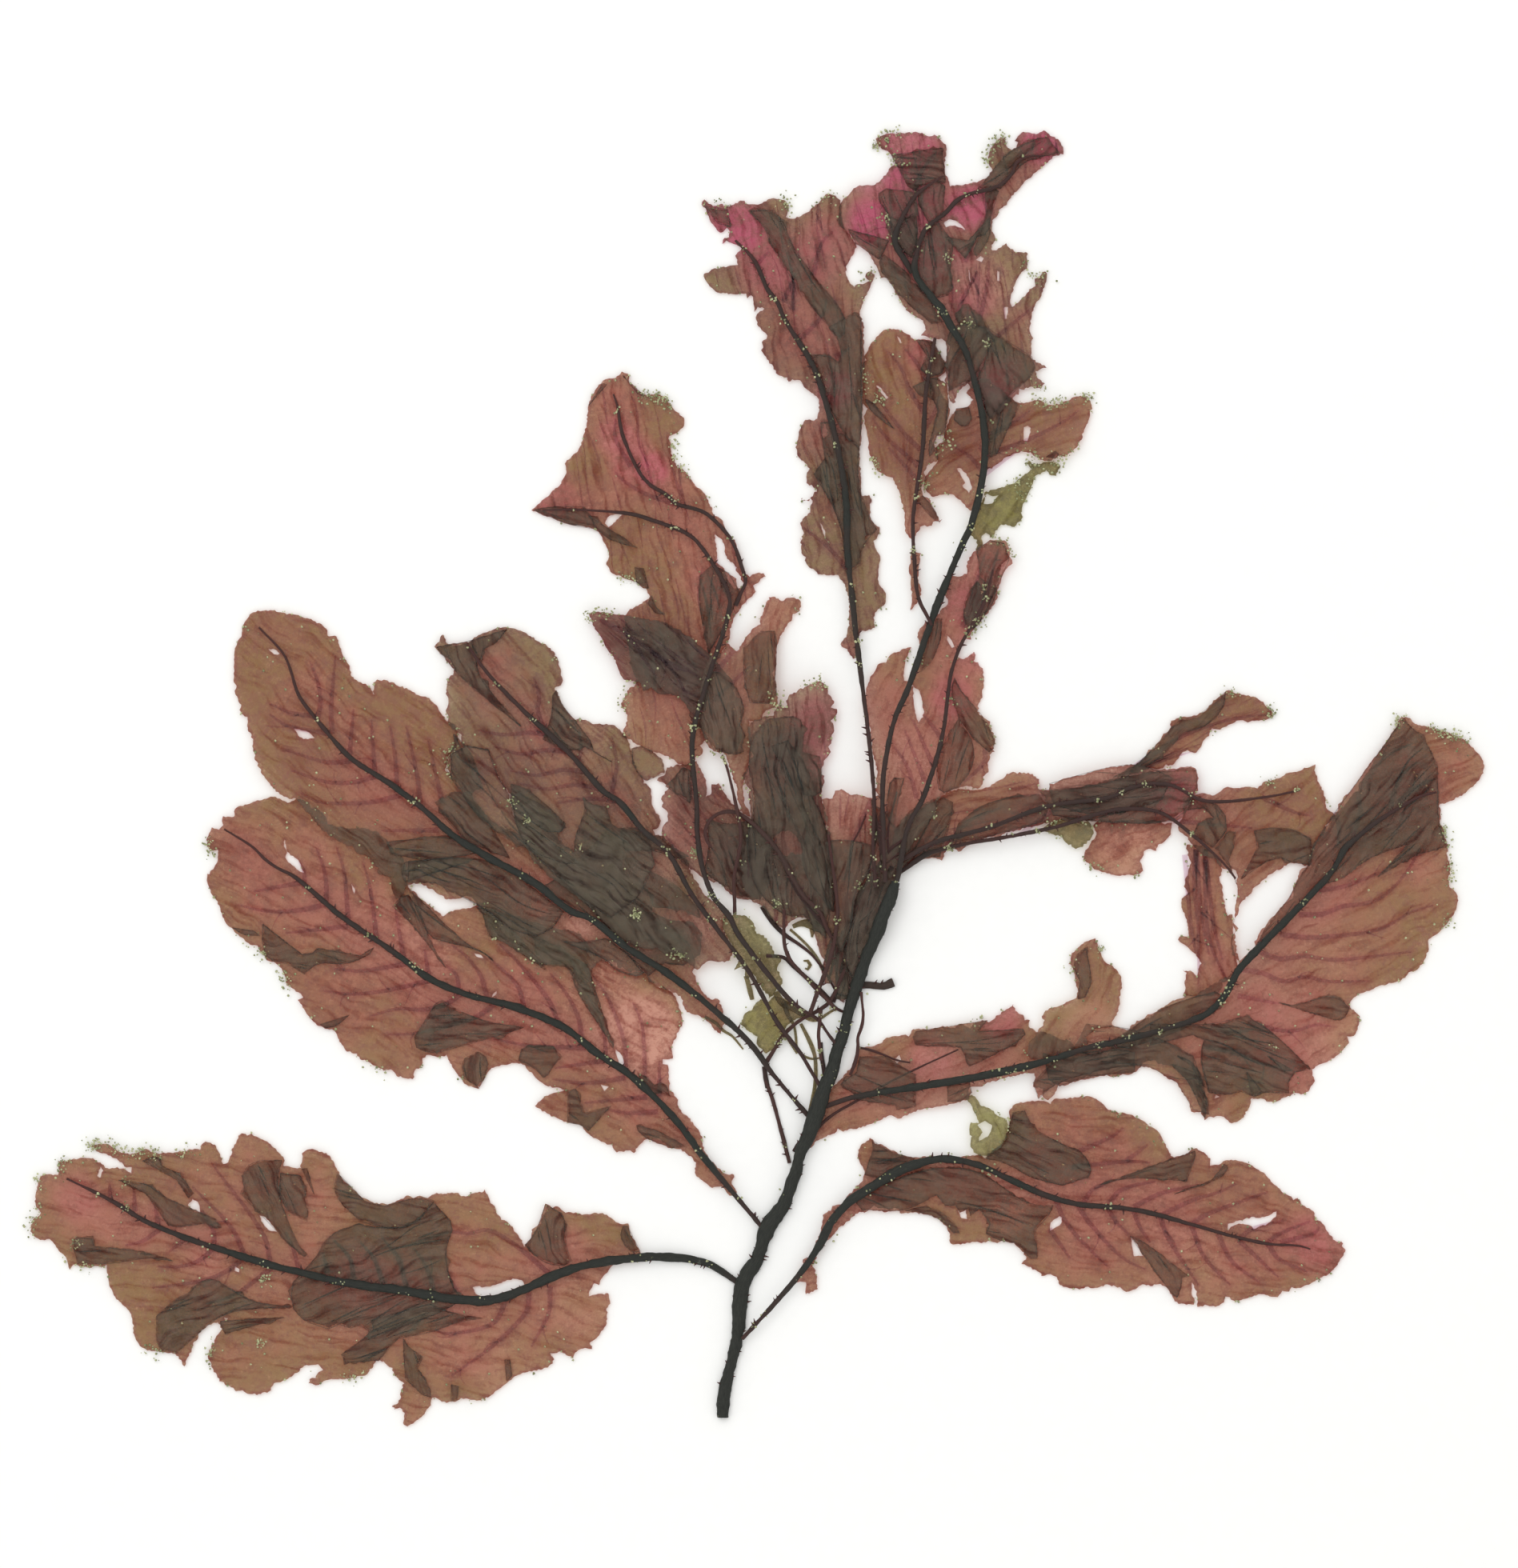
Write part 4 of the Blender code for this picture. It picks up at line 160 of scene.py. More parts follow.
# Where a blade is folded over itself or doubled: the outline of the upper layer.
FOLDS = entries("""
@lower_left_blade -119.3,-75.3 -114,-76.2 -110.5,-78.5 -101,-82.6 -100.5,-84 -101.5,-84.3 -103,-83.4
-108.5,-84 -110,-83.7 -114.5,-77.5; -114.8,-71.7 -113,-71 -111.7,-71.2 -111.3,-72.6 -108,-74.3 -105.2,-77.8
-106.2,-78.6 -108.5,-75.2; -95,-72.5 -93,-71.7 -88.8,-71.6 -89.6,-76 -89,-79 -85.5,-87.5 -84,-89.3 -84.5,-89.6
-87,-87.5 -96.5,-77.8 -95.8,-76.5 -96.2,-74.5; -89,-74 -85.3,-74.5 -83.8,-80.5 -84,-83 -87.8,-81 -89,-78;
-85,-73.2 -84,-73 -82.6,-78.2; -128,-87.2 -127.3,-86 -124.5,-86.3 -123.8,-87.7 -113.5,-89 -109,-90.5
-113,-89.9 -121,-90.9 -127,-91; -112.2,-100.8 -108.5,-97.5 -106,-96.3 -104.2,-94.5 -102.5,-93.9 -101,-94
-94,-98 -87,-99 -96,-99.6 -99,-100.4 -101,-101.3 -108.5,-107.7 -111.5,-107.2 -112.2,-105.3; -100.3,-101.8
-88,-101 -99.3,-104; -86.9,-97 -86.6,-94.5 -82,-89.2 -80.8,-87 -78.5,-85 -76.3,-84.2 -74.3,-83.5 -72.5,-84
-66,-84.1 -64,-83.2 -60.3,-79.5 -57.2,-83 -56.8,-84.6 -57.6,-86.7 -58,-89.5 -57.6,-92.3 -56.5,-95.5 -55,-97.5
-58,-99.5 -72.5,-105 -72.5,-103.5 -74,-102.5 -76,-103 -78,-102.3 -80,-103.2 -84.5,-101.5 -86.5,-99.5;
-79,-76.8 -78,-79 -74,-83 -70,-84 -66,-84.1 -63,-82.8 -60.2,-79.2 -62,-78.6 -65,-78.9 -69.5,-80.2 -73.2,-79.2
-78.3,-74; -39.3,-79.8 -36.5,-81.5 -35.3,-83.5 -35.5,-87 -34.5,-90.5 -36,-91.3 -38.5,-91 -40.5,-90 -43.1,-87.4
-41.5,-85.5; -24.8,-83.9 -24,-83.8 -21.6,-88.6 -23,-88.8 -24.5,-87.5 -25.3,-85.5; -77.6,-108 -71.5,-103.5
-72,-101.5 -61,-98.5 -58,-99.8 -51,-101.2 -56,-102 -60,-103.5 -67,-105 -70.5,-109 -76.8,-109.5; -66,-105
-65,-106.5 -62.3,-108.4 -63.3,-110.5 -61,-114.5 -60.8,-116 -62.5,-115.5 -65.6,-112.5; -47,-109 -46,-109
-45.6,-112 -46.6,-113; -57,-113.6 -55.6,-114 -55.8,-116.4 -57,-116.8
@middle_left_blade -98,-28 -94,-28.6 -92.8,-29.5 -96,-29.2; -92.3,-27.3 -85,-33 -83,-32.8 -82,-31.9 -74,-33.2
-71.5,-31.7 -72.3,-33 -75,-34.2 -78,-34.8 -81,-34.6 -83,-35.2 -84.5,-36.7 -88,-34.7 -90.5,-34.2 -91.8,-33
-92.4,-30.5; -58.8,-41.6 -54.5,-44 -50,-45.6 -43.5,-46.7 -54,-49.9 -60,-51.3 -61.8,-51.2 -63.5,-50.4
-63.9,-48.5 -60,-42.3; -54.5,-52.5 -52,-51.2 -50.5,-52.2 -50.2,-54 -51,-56.6 -51.8,-58 -54.8,-56 -55,-53.8;
-43.8,-50.8 -42.5,-50 -38,-50.2 -36.2,-52.2 -37.8,-53.8 -38.8,-55.5 -39.8,-56 -41,-54.5 -44.2,-52.7;
-35.2,-58.5 -33.7,-58.3 -32,-62.7 -27,-61.4 -31.3,-66 -32.5,-65 -35.2,-64.4; -81.5,-46.1 -76,-44.3 -78.5,-46.3
-80.5,-46.8; -68,-24 -66.5,-22.3 -65,-21.8 -63,-25 -60.4,-31.5 -58,-35.5 -65,-26.7; -64.8,-20.8 -54,-31
-50.5,-33 -49,-34.3 -51,-32.7 -60.3,-30 -62,-28; -52.2,-24.2 -50,-24.8 -47,-27 -39,-36 -41,-35 -46,-31.3
-50,-29.5 -51,-25.5; -45.5,-27.8 -42,-29 -31.5,-35 -26.5,-50.5 -33.2,-40 -34.5,-36 -36,-35 -40.8,-34.5
-41.5,-30; -22.3,-65 -18,-66.3 -13,-69 -15.5,-69.3 -20.5,-67.3 -22,-66; -22,-55.3 -20.4,-56 -19,-57.5
-17.6,-57 -16.6,-57.6 -16,-59.6 -17.4,-58.9 -19.4,-59 -21,-57.5
@upper_left_blade -56.5,8.3 -56.3,6 -57.7,4.3 -58,1.7 -55.3,-1.4 -53,-3.4 -51,-2 -53.5,5; -65.6,-15.7 -58,-15
-52.5,-15.1 -58,-17 -65.6,-19.4 -66.2,-18; -60,-4.5 -57,-2.6 -53.5,-2.5 -50,-8 -46,-15 -54,-11.5 -58,-7.5;
-32,-14 -28,-10 -25,-12 -25,-17 -19,-22 -19.5,-25 -16,-26.5 -12,-27 -10,-29 -10.5,-33 -13.5,-35 -17,-34.5
-20,-37 -30,-27 -40,-20.5 -36,-18; -65,-15.5 -52,-15 -46,-17.5 -36,-25 -38,-28 -41,-29.5 -46,-28 -50,-25
-60,-19.5 -65,-19.5; -65,-11.5 -60,-11 -56,-11.6 -52,-14 -56,-14.6 -62,-15.2 -68,-14 -69,-12; -36,-30.5
-33,-30.7 -28,-30 -24,-33 -21,-36.5 -22.5,-37 -25.5,-36 -28,-34; -24.5,-15 -22,-14.8 -20.5,-17 -15,-20 -11,-24
-10.5,-26 -14,-24.5 -19,-24 -20,-21.5 -23,-19
@inner_left_blade -59.8,24.6 -54.2,25.6 -46.5,28 -49.1,25 -51,24.4 -51.4,22.5 -52.3,21.9 -51.5,19 -43.9,9.7
-55,18.9; -37.3,16.5 -36.6,14.5 -31,7 -30.3,5 -26.8,3 -32,6 -34,5.3 -36,5.5 -39.8,7.3 -38.2,12 -38,15.5;
-45.8,-3 -44,-3.2 -40,-5 -36,-8.3 -35.5,-9.2 -37,-10.3 -36,-12.5 -34,-14 -33.5,-10.5 -32,-6 -32.3,-3.5
-30.5,-5 -28,-5.3 -27,-8.5 -25,-9.7 -20,-11 -19,-16 -22,-22 -27,-26 -31,-23.5 -40,-15.5 -43,-12 -45,-8;
-57,4.5 -54,6.2 -50,5.3 -48.5,1 -46,-3.5 -45,-7 -36,-13.5 -33,-16 -37,-15.5 -50.5,-8.5 -57,0; -45.8,-1 -43,-2
-38,-6 -35.5,-8.5 -36.5,-10 -39,-10 -45,-6 -46,-4; -25.5,-9.3 -22,-9.2 -12.5,-14.6 -15,-15.2 -18,-13.8
-24.5,-13.4; -23,5.5 -21.5,6 -19.5,5 -17.5,3.5 -17,1 -20.5,-0.5 -22,1 -23,3
@wing_blade -31.3,49.3 -21.9,43.1 -27.5,45 -29.2,46.3; -41.5,50.3 -38,50.9 -32,50.9 -30.5,48.5 -30,46.7
-35,47.7; -31.2,69.9 -28.6,74.1 -27.9,73.8; -24.9,75.6 -20.5,71.4 -22,72; -22.6,39.6 -20.9,39.3 -20,35.6
-21,35.7 -22.3,36.8; -19.5,34.3 -18.5,32 -17,30.7 -18.8,31 -20.2,32.8; -10.5,38 -8,40 -5,38.5 -3,35 -4.5,31
-8.8,23.5 -10.5,33
@wing_right_lobe -2.3,24.5 1,27.5 3.6,27.6 4,25 3.7,18.8 4,15.8 2.5,14 -1,14.2 -2,18; -9.3,17.5 -8.3,20
-6.5,19.8 -3.5,16.5 -2.5,14.5 -2.3,12.5 -3,10 -2,8 -2.7,6 -2.2,5 -4,4.5 -7.8,5.5 -10.5,10
@centre_blade 37.3,18.8 38.5,16.5 43.1,10.8 44.8,7 44.6,5.6 43.8,4.9 42,6.5 38,11.5 36.8,16.5; 38,11 35.5,7
34,2 34.3,-2 35.3,-2.6 38,-1.6 40,1 41,4 40.5,7; 31,20 33,22 34.5,26 35,30 33.6,29.9 32,28.2 31.5,26.6;
41.5,37 43,35 45.1,35.7 44.6,33.3 41.8,29.2 40.6,27.9 39.5,28.5 39,31 39.5,34; 25.2,-1 26,0 27.8,0 26.5,-5
26,-9 25,-8 24.5,-5; 41.5,43 44,44.5 46.5,44 47.5,41 43,31 41,28 39.5,29 42,37
@branch_blade 36.5,-13 38,-8.5 42,-5.5 48,-3.5 53,-3 55,-5 54,-8 42,-11.5 38.5,-13.3; 53.2,-2.3 64.5,-1.2
70,0.4 81.3,2 82.6,1.5 82.7,-1.5 80.3,-6.3 78,-7.9 74,-8.3 60,-7.7 56,-6.9; 25.9,-15 26.3,-10 28.2,-7.2
35,-3.5 37,-4.5 36.5,-8 34.5,-14.6 31,-15 28,-16.6; 55,-1 66,2 71,2.5 75,1.5 78,0 76,-4 70,-6 62,-6.5 56,-5
@branch_horn 67,0.2 71.5,2.8 79.5,10.9 83,11.7 88.1,16.3 87.8,14 86.3,11.5 84,9.8 80,8.5 78,6 75,3.5 72,1.6
@branch_tip_blade 93.5,-9.8 97,-9.3 101,-9.7 104,-11.5 104.3,-14 103.6,-16.1 101,-15.8 98.5,-14.9 96,-15.5
91,-18.8 94,-13; 82,-3.4 86.5,-5 88,-7 88.2,-9.8 85.7,-13 82,-10.5 83,-8.5 86,-7.5 84,-5.5 80.9,-5.9; 86,-13
88.5,-10 90,-10 89.5,-13 88.5,-15.5 90.2,-20 89,-17
@right_blade 104,-16 104.5,-13 121.2,11 125,7.5 127.8,2.5 128.2,-9 129.6,-12.7 123,-14.8 116.5,-18.5
122.5,-12.2 115,-15 109.5,-18.8 105.5,-20.3 96.5,-29.5 93.8,-31.3 95.7,-27.7 99.7,-22.7 102.4,-17.7; 74,-46
85,-46 92,-44.5 97,-47.8 104,-54.5 101,-55 99.8,-57 100,-59 95,-58.8 93.5,-59.6 91,-58.7 88,-59.2 85,-58.8
83.5,-52 84,-49 82,-48 74,-50; 92,-55 95,-58.7 93,-59.4; 79,-52 82,-54 83.5,-57.5 84.5,-58 83.5,-55.5
81.5,-53; 96,-52 100.8,-54.8 99,-54.8; 78,-53.6 81,-56.8 84.3,-63.7 84.5,-60 82,-55; 98,-42 101,-42.5
107,-40.9 109.5,-41.3 111.3,-43 110.5,-44.8 108.5,-45.3; 30,-47.4 43.5,-45.3 41.5,-47.5 50,-47 50.5,-48 48,-50
40,-54 38.5,-50.3 30,-50 29.5,-48.5; 16,-57.3 19,-55 19.6,-52.2 24.2,-52.1 30,-55.5 30,-61.5 26.5,-62 26.2,-61
20,-60.3; 36,-57.6 40,-57 40.5,-58.8 38.5,-60.2 36,-60.6; 54,-51.6 58,-52.6 68,-50.9 71,-51.4 71,-55 68,-55.3
62,-56 57,-57.6 55,-56.5; 62,-46 70,-47 76,-49 82,-52 84,-58 85,-63 82,-62 79,-57 74,-54 68,-54 56,-57.5
53,-60 52,-57 56,-53 60,-50; 66,-50 74,-44.5 79,-42 86,-40 88,-41 87,-43 80,-47 70,-50.5
@curled_blade 60.9,-32.4 62,-32 62.5,-35 62.8,-38 61.8,-41 60.4,-41.3 60.8,-38 59.6,-35.5 60,-33.6
@lower_right_blade 47.9,-64 48.3,-62.6 50.5,-62.3 51.5,-64.5 53,-66 58,-68.8 60.5,-69.6 62,-71.3 62.8,-73.2
62.3,-74.8 57.5,-76.2 52,-74.8 46.5,-72 43,-71.2 46.6,-68.2; 64.5,-76.2 82.3,-69.8 82.5,-70.7 80.8,-75.4
70,-75; 78.5,-77.9 85.5,-75.6 87.3,-74.6 88.3,-73.5 88.4,-72.5 87.8,-72.3 86,-74.8 84.5,-75.7; 70.2,-85.8
72.5,-86.8 81.2,-93.3 80,-93.6 79.6,-95.5 79,-97.3 78.5,-97; 20.5,-74.3 22,-69.5 21.8,-67.8 25.5,-70 30,-71.2
24,-75.2; 18,-78.4 30,-74 36,-73 42,-74 50,-79 53,-80 55.8,-80 54.8,-82 52.5,-84.5 52.8,-90 51.5,-90 48.5,-87
46,-86.6 43.2,-85.3 44,-83.5 42,-80.5 40.3,-82 40,-80.5 38.3,-81.3 37.5,-80 35.5,-80 34,-78 28,-80.8 20,-80.8;
28,-81 31,-80.3 34,-80.8 37,-83 38.3,-85.3 36.9,-85 35,-83 31,-81.4
@left_top_blade -1,106.3 3,106.5 5,104.5 7.5,99 15.5,88.5 16.8,86 16.7,83.5 15.8,82.5 10.5,88.5 3.5,99
1.5,103.3; 13.8,84.5 18.5,87.3 19.8,86 19.7,65 19.3,62.2 18.8,63 17.5,63.5 14.3,69 12,76 10.2,79.5 14,79
15.5,78 16.2,79.5 15.5,82; 12.2,66.7 13,60 11,57 14,52 16,47 17,38 19.5,40 20.5,44 22.7,46.7 21,50 19.3,56
19.3,62 14,66.7; -9.6,107.3 -5.2,106.6 -4.7,103.4 -7,104
@bundle_blade 21,-17 23.5,-16 26,-18 25.5,-22 18,-40 16.5,-42 15,-41 19.3,-21; -0.6,8 2,11 7,11.6 8.5,11 9,8
8.8,5 12,4 12.4,2 12.3,-2.5 11,-3.3 9,-3 8.5,0 9,-5 12.8,-14 14,-24 13,-30 9,-25.5 7,-26 4,-24.5 1,-21.5
-0.5,-18 -1.5,-12 -0.4,-6 -1.2,3; 14.5,-29 16,-30 17,-33 18,-41 15.5,-40.5 14.5,-38 13,-38.5 12.5,-36; 8.8,-15
9.5,-10 8,-4 3,6 6,7 9,3 10.5,-3 12.8,-8 14.8,-19 14.6,-25 10,-19
@sheath_blade 13.2,-12 16,-11.5 22.2,-12.5 21,-17.8 19.3,-20 18.3,-23 18,-27 16,-32.4 15.2,-30 15.2,-21;
22.2,-5 24,-6 27.5,-12 26,-20 21,-35 19.5,-38 18,-37 17,-34 17.3,-30 21.3,-17.5 22,-13; 19.5,-27 22,-24.5
24.5,-19 27.2,-15.5 29,-15 26.8,-18.5 25.3,-24 20,-36 19,-32
@centre_leaf -16.8,-1.5 -13.5,2 -12.2,1.5 -12,-3.5 -12.3,-4.5; -9,-8 -4,-8.5 -1.6,-8 0.2,-9.4 1.5,-12 2.5,-16
2,-20 0.6,-22.6 -3,-22.2 -9.5,-17.6 -8.8,-13
@right_top_blade 25.5,116.8 35,118.1 35.6,111.5 34,112 31,111 30,110 28.5,111; 23,109.5 24.5,110.5 30,109.8
30.5,105 30.2,101 29.5,97.5 27.5,99 26,101 25,105.5 23.3,108; 24.2,105.5 27,104.5 30,106 30.3,102 29.8,98
28.6,97.8 26,101 24.8,103; 30.5,110 34,112 35.4,111 35.3,108 35.2,105.5 32.5,104 30.6,108; 31.5,103 34,104.5
37,100.5 36.5,94.5 37,92 36,90.5 33.5,90 30.5,93.5 29.5,95.5; 35.5,101.5 40,100.8 43.8,105 44,103.5 43,102
41.5,101.5 39.3,97.5; 37,84.7 39,85 43,84.5 44,83 43.8,80.5 42,76.5 40.5,74.6 36.2,72.6 36,82.5; 37.3,87
39,88.3 41,87.8 42.5,86.5 44,84 51.8,79 52.4,77 51.8,75.7 48,72 43.7,67.5 42.7,71 41,73.8 43.5,79.5 43.5,83.5
38,85.3; 23.5,95 27.5,90.2 33,85.2 35,85.5 33,89 28,95 24,98.2 23.2,96.8; 17.5,102.8 25,100.8 23.2,97.2
18.8,100.2; 42,110.8 47.5,117.2 53,120 54.8,120 56.6,117.7 57,117.2 52,116.1 50,115 46,110.5 44,110; 43,109.5
44,111 45.5,110 44,104.5 43.8,101.8 41.5,97.5 41,99 43.2,106
@right_mid_blade 42.5,70 43.8,72.3 46,71.8 49.6,70.2 48.5,68 45,60.5 43.5,60 43.3,67; 37.6,69.3 40,69.6
40.5,67.5 39.8,66.2 38.6,66 37.2,67.3; 54.4,60.2 56.2,61.4 56.9,60.6 56.2,60
@slender_blade 33.2,75 35.8,74 36.2,70.4 35.4,64.3 34,64.2 32.6,60.5 32.5,62 34.3,69 33,71.5 30.5,72
29.5,73.4; 30.2,52 31.3,53 33.2,50.8 34.6,48 33.6,48.4; 20.6,71 22,70.4 26,65.5 22,68.6; 30.2,82.2 33.4,81.8
35.6,77.5 34.8,75.9 32.6,75.3 31,76.6 32,79.4
""")

# Side veins as traced, from the midrib outwards.
VEINS = entries("""
@lower_left_blade -101.5,-87 -101.5,-85 -103.5,-81.5 -106.5,-78 -110,-75; -96,-89 -98,-84.5 -105.5,-76.5;
-91,-90.5 -92,-86 -102,-72; -85.5,-92.5 -86.5,-88.5 -88,-85; -80.3,-92 -81,-89; -75.3,-93.5 -76,-90 -79,-86.5;
-70,-94 -71.5,-90 -74,-87; -65.5,-95 -67,-90 -70,-86; -60.3,-96 -61.5,-92 -64,-88; -55.5,-97 -57.5,-93;
-39,-92.5 -45,-87.5 -50,-84.7 -54,-85.3 -57,-85 -66,-87.8; -120.9,-78.5 -121,-76; -116.3,-80.5 -116.5,-77;
-112,-83 -112.6,-80; -112,-84.8 -115,-86.8 -118,-87.5; -107,-86.5 -110,-88.8; -101.5,-88 -104.5,-90.5
-108,-91.5 -112,-91.5; -96,-90 -99,-92.3 -103,-94 -113,-95.5; -91,-92 -98,-97 -103,-98.5; -60,-98 -65,-104;
-47,-98.5 -48.5,-101.5 -51,-103 -58.5,-104 -60,-103.2; -42.5,-97 -42.7,-99.5 -45,-102.5 -50,-107 -57,-112;
-38.5,-96 -38.7,-100 -42,-106.5
@middle_left_blade -84.5,-20 -84.6,-17.5 -85.5,-15.5; -80.5,-23.5 -80.4,-20 -81,-16.5 -82.3,-13; -76.3,-26.8
-77.2,-17 -78.5,-13; -71,-30 -72.3,-20 -73.5,-16; -66,-33 -67.5,-24.5; -61.3,-36.5 -62,-32; -55.6,-39.8
-56,-37 -58,-35; -50.3,-41 -51.5,-37 -54,-33.5 -57,-31.2; -43.3,-43.5 -44.5,-39 -50,-33.5; -37,-46 -38.5,-42
-44.5,-34.5 -48,-31; -32.6,-49.3 -33,-45.5 -35,-41 -38.5,-36.5; -28,-52.5 -28.3,-48.5 -29.2,-45; -24.3,-55
-24.5,-50 -26,-45 -28,-40.5 -30.5,-37; -20.7,-58 -21.3,-46 -23,-42; -18,-59 -18,-53; -86,-19.7 -94,-21.2;
-82,-24 -86,-24.8 -92,-24.8 -97,-23.7; -77,-27.8 -88,-29; -66,-34.8 -74,-36.1 -79,-35.7; -61.5,-38 -70,-39.9
-76,-40.4 -81,-39.8; -56,-41 -58,-42.3 -62,-43.3 -67,-43.2 -72,-44.5; -49.5,-42.8 -52,-44.5 -58,-46.5
-64,-47.8 -69,-48; -32.5,-50.5 -43,-50 -49,-48.8; -29,-53 -37.5,-54.3; -25,-56.2 -30,-57 -34,-57 -38,-56.3;
-21,-59.8 -32,-60.8; -19,-62.5 -24,-62.7 -28,-62
@upper_left_blade -82,11.5 -81.5,14 -82,18 -83.5,22; -79.3,9 -79.5,13 -78.7,23; -76,5 -75.3,13; -71.3,1
-72,11; -67.2,-1.5 -67.5,4 -68.5,10; -62.8,-5 -63.3,0 -65.5,10; -58.8,-4 -61.3,7; -83,11.7 -87,12.3 -91,14;
-80.5,8.5 -88,10 -91,12; -76,3.3 -80,3 -88,5.3; -71.5,0.3 -75,-0.7 -80,-0.7 -87,1.5; -67,-3.3 -71,-4.3
-76,-4.7 -82,-4.3 -85,-2.8; -60,-9.7 -70,-9.8
@inner_left_blade -38,8 -42,8.6 -47,8.2 -52,9; -35,5 -39,5.3 -44,4.6 -49,6; -31.8,1.2 -36,1.6 -41,0.6 -46,1.5;
-29,-2 -34,-1.2 -39,-2 -44,-1; -26,-4.3 -31,-3.8 -37,-4.6; -40,10 -40.8,13 -40.5,15 -41.5,19; -33.5,3 -32.7,5
-33,9; -27,-3 -26,3 -27,8
@lower_right_blade 61.9,-78.9 63,-77.2 66,-75.6; 66.8,-79 68,-77.5 71,-76.3 75,-75.6; 71.5,-80 76,-77.8
84,-76; 76.3,-81.8 82,-79 87,-77.5 90,-76; 82.3,-83.2 84,-82 96,-77.5; 91,-86 93,-84.5 99,-82.8; 96,-87
98,-85.5 104,-83; 99,-86.8 105,-85 106,-83.5; 61.5,-69.5 67,-67 69,-65.5; 60,-72.8 70,-71.8 74,-72; 70,-71.3
73.5,-68.7; 56.5,-79.5 57.5,-82 60,-85.5 66,-91.5; 60.5,-80 62,-82.5 69,-90 73,-92; 66.2,-80.8 67.5,-83
70,-85.5; 71,-81.3 72,-84 74,-87; 76,-82.5 77,-85.5 83,-95; 82,-84.5 84,-89.5 89,-95; 87,-86 89.3,-90.5
94.5,-94.5; 91,-87 98,-93.5; 96.5,-88 98,-90 103.5,-92.5; 55.5,-85 59,-90
@right_blade 91,-35.8 95,-36.5 99,-38 103,-37.2 107,-38 115,-38; 94.5,-32.5 98,-33.8 103,-33.3 108,-34
123,-32.5; 99,-29.3 104,-29.8 117,-28.2 123,-25 127,-23.8; 102.5,-25.5 106,-25.5 110,-24 114,-23.5 117,-22.5
120,-20 123,-16 124.5,-13; 105,-21 110,-20.3 118,-17.3; 91,-40.8 98,-42.2; 93,-45.8 97,-47 101,-47.3 105,-46.2
108,-46.5; 84.5,-50.3 90,-51.5 95,-53.5 100,-54.5; 86,-46.5 90,-47.5 94,-46.8; 112,-10.5 113.3,-6 113,-3 118,4
123,6.5; 119,-6 119.5,-3 121.5,1 124,3; 121,-4 125,-1 127.5,0; 108.8,-7 109.3,-10 109,-13
@hanging_blade 82.5,-14 82.3,-20 83,-28 83,-39; 84.3,-14 85,-30 88.3,-37.8; 82.6,-14 83.8,-27 85,-33; 80.5,-15
82,-30 83.5,-36; 84.5,-16 86,-28 87.5,-34
@branch_horn 70,1.5 78,6.8 82,8.8 90,11.3 97,12
@branch_tip_blade 79,-8 93,-9.3; 95.5,-3.8 101,-6.3 104,-7
@centre_blade 30,-3 28.5,2 26,6; 31.5,0 28,9; 33,3 29.5,11; 34.5,8 31.5,12; 43,5 43,3.5 42,2 39,-0.8; 42,30
45.5,43; 39,29 43,42
@left_top_blade 5.5,90 7.5,94.5; 7,88.5 7.3,93; 9,83 12,86 13,88 13.3,90; 11,95 12.5,100.5 14.5,102.5;
15.5,79.3 18,80.8; 16.5,40 14,43 9,47; 0.3,96.3 2.5,98.8
@wing_blade -15.5,51.6 -20.5,53.3 -25,56 -26.3,57.5; -23.7,59 -26.3,64 -26.2,67.5
@sheath_blade 21.5,-4.5 18.2,-12 17,-18.5
@right_top_blade 38,86.5 38.5,89 41.5,95; 42,86 43.5,93 43.8,97; 45,82.5 51.5,88; 39.5,97.5 42.5,104.5;
30,110.5 31,113.5 34,117.6; 28,97 23.5,107.5
@right_mid_blade 43,60.5 50,63 58,67 60.5,69; 43,57 49,61.3; 42.5,62 45,64.2 47,67 48,70; 42.2,58 40,60.5
37.5,62; 44.5,64.8 48,66.5 51.5,69
@slender_blade 30.5,62 28,64.5 22.5,71.8; 30,59 24,64.5 22,67.5; 31.3,69 29,72.5 27.5,76.5 25,80; 32,74
30.5,77.5 28,80.5; 29.8,56.5 25,62; 32,66 33.5,68.5 34.5,71.5
@dark_leaf -28.5,29.5 -19,23.5 -15,19.5 -12.5,15; -24,27 -18.5,19; -19,23.5 -15,21 -12,19.8
@wing_right_lobe -7,20.5 -4,24 1.5,33; -7.5,15 -1,21
@branch_blade 30,-14 62,-8.3 80,-3.5; 36,-12.5 40,-8 46,-5.5; 50,-10.2 56,-6 64,-4
""")

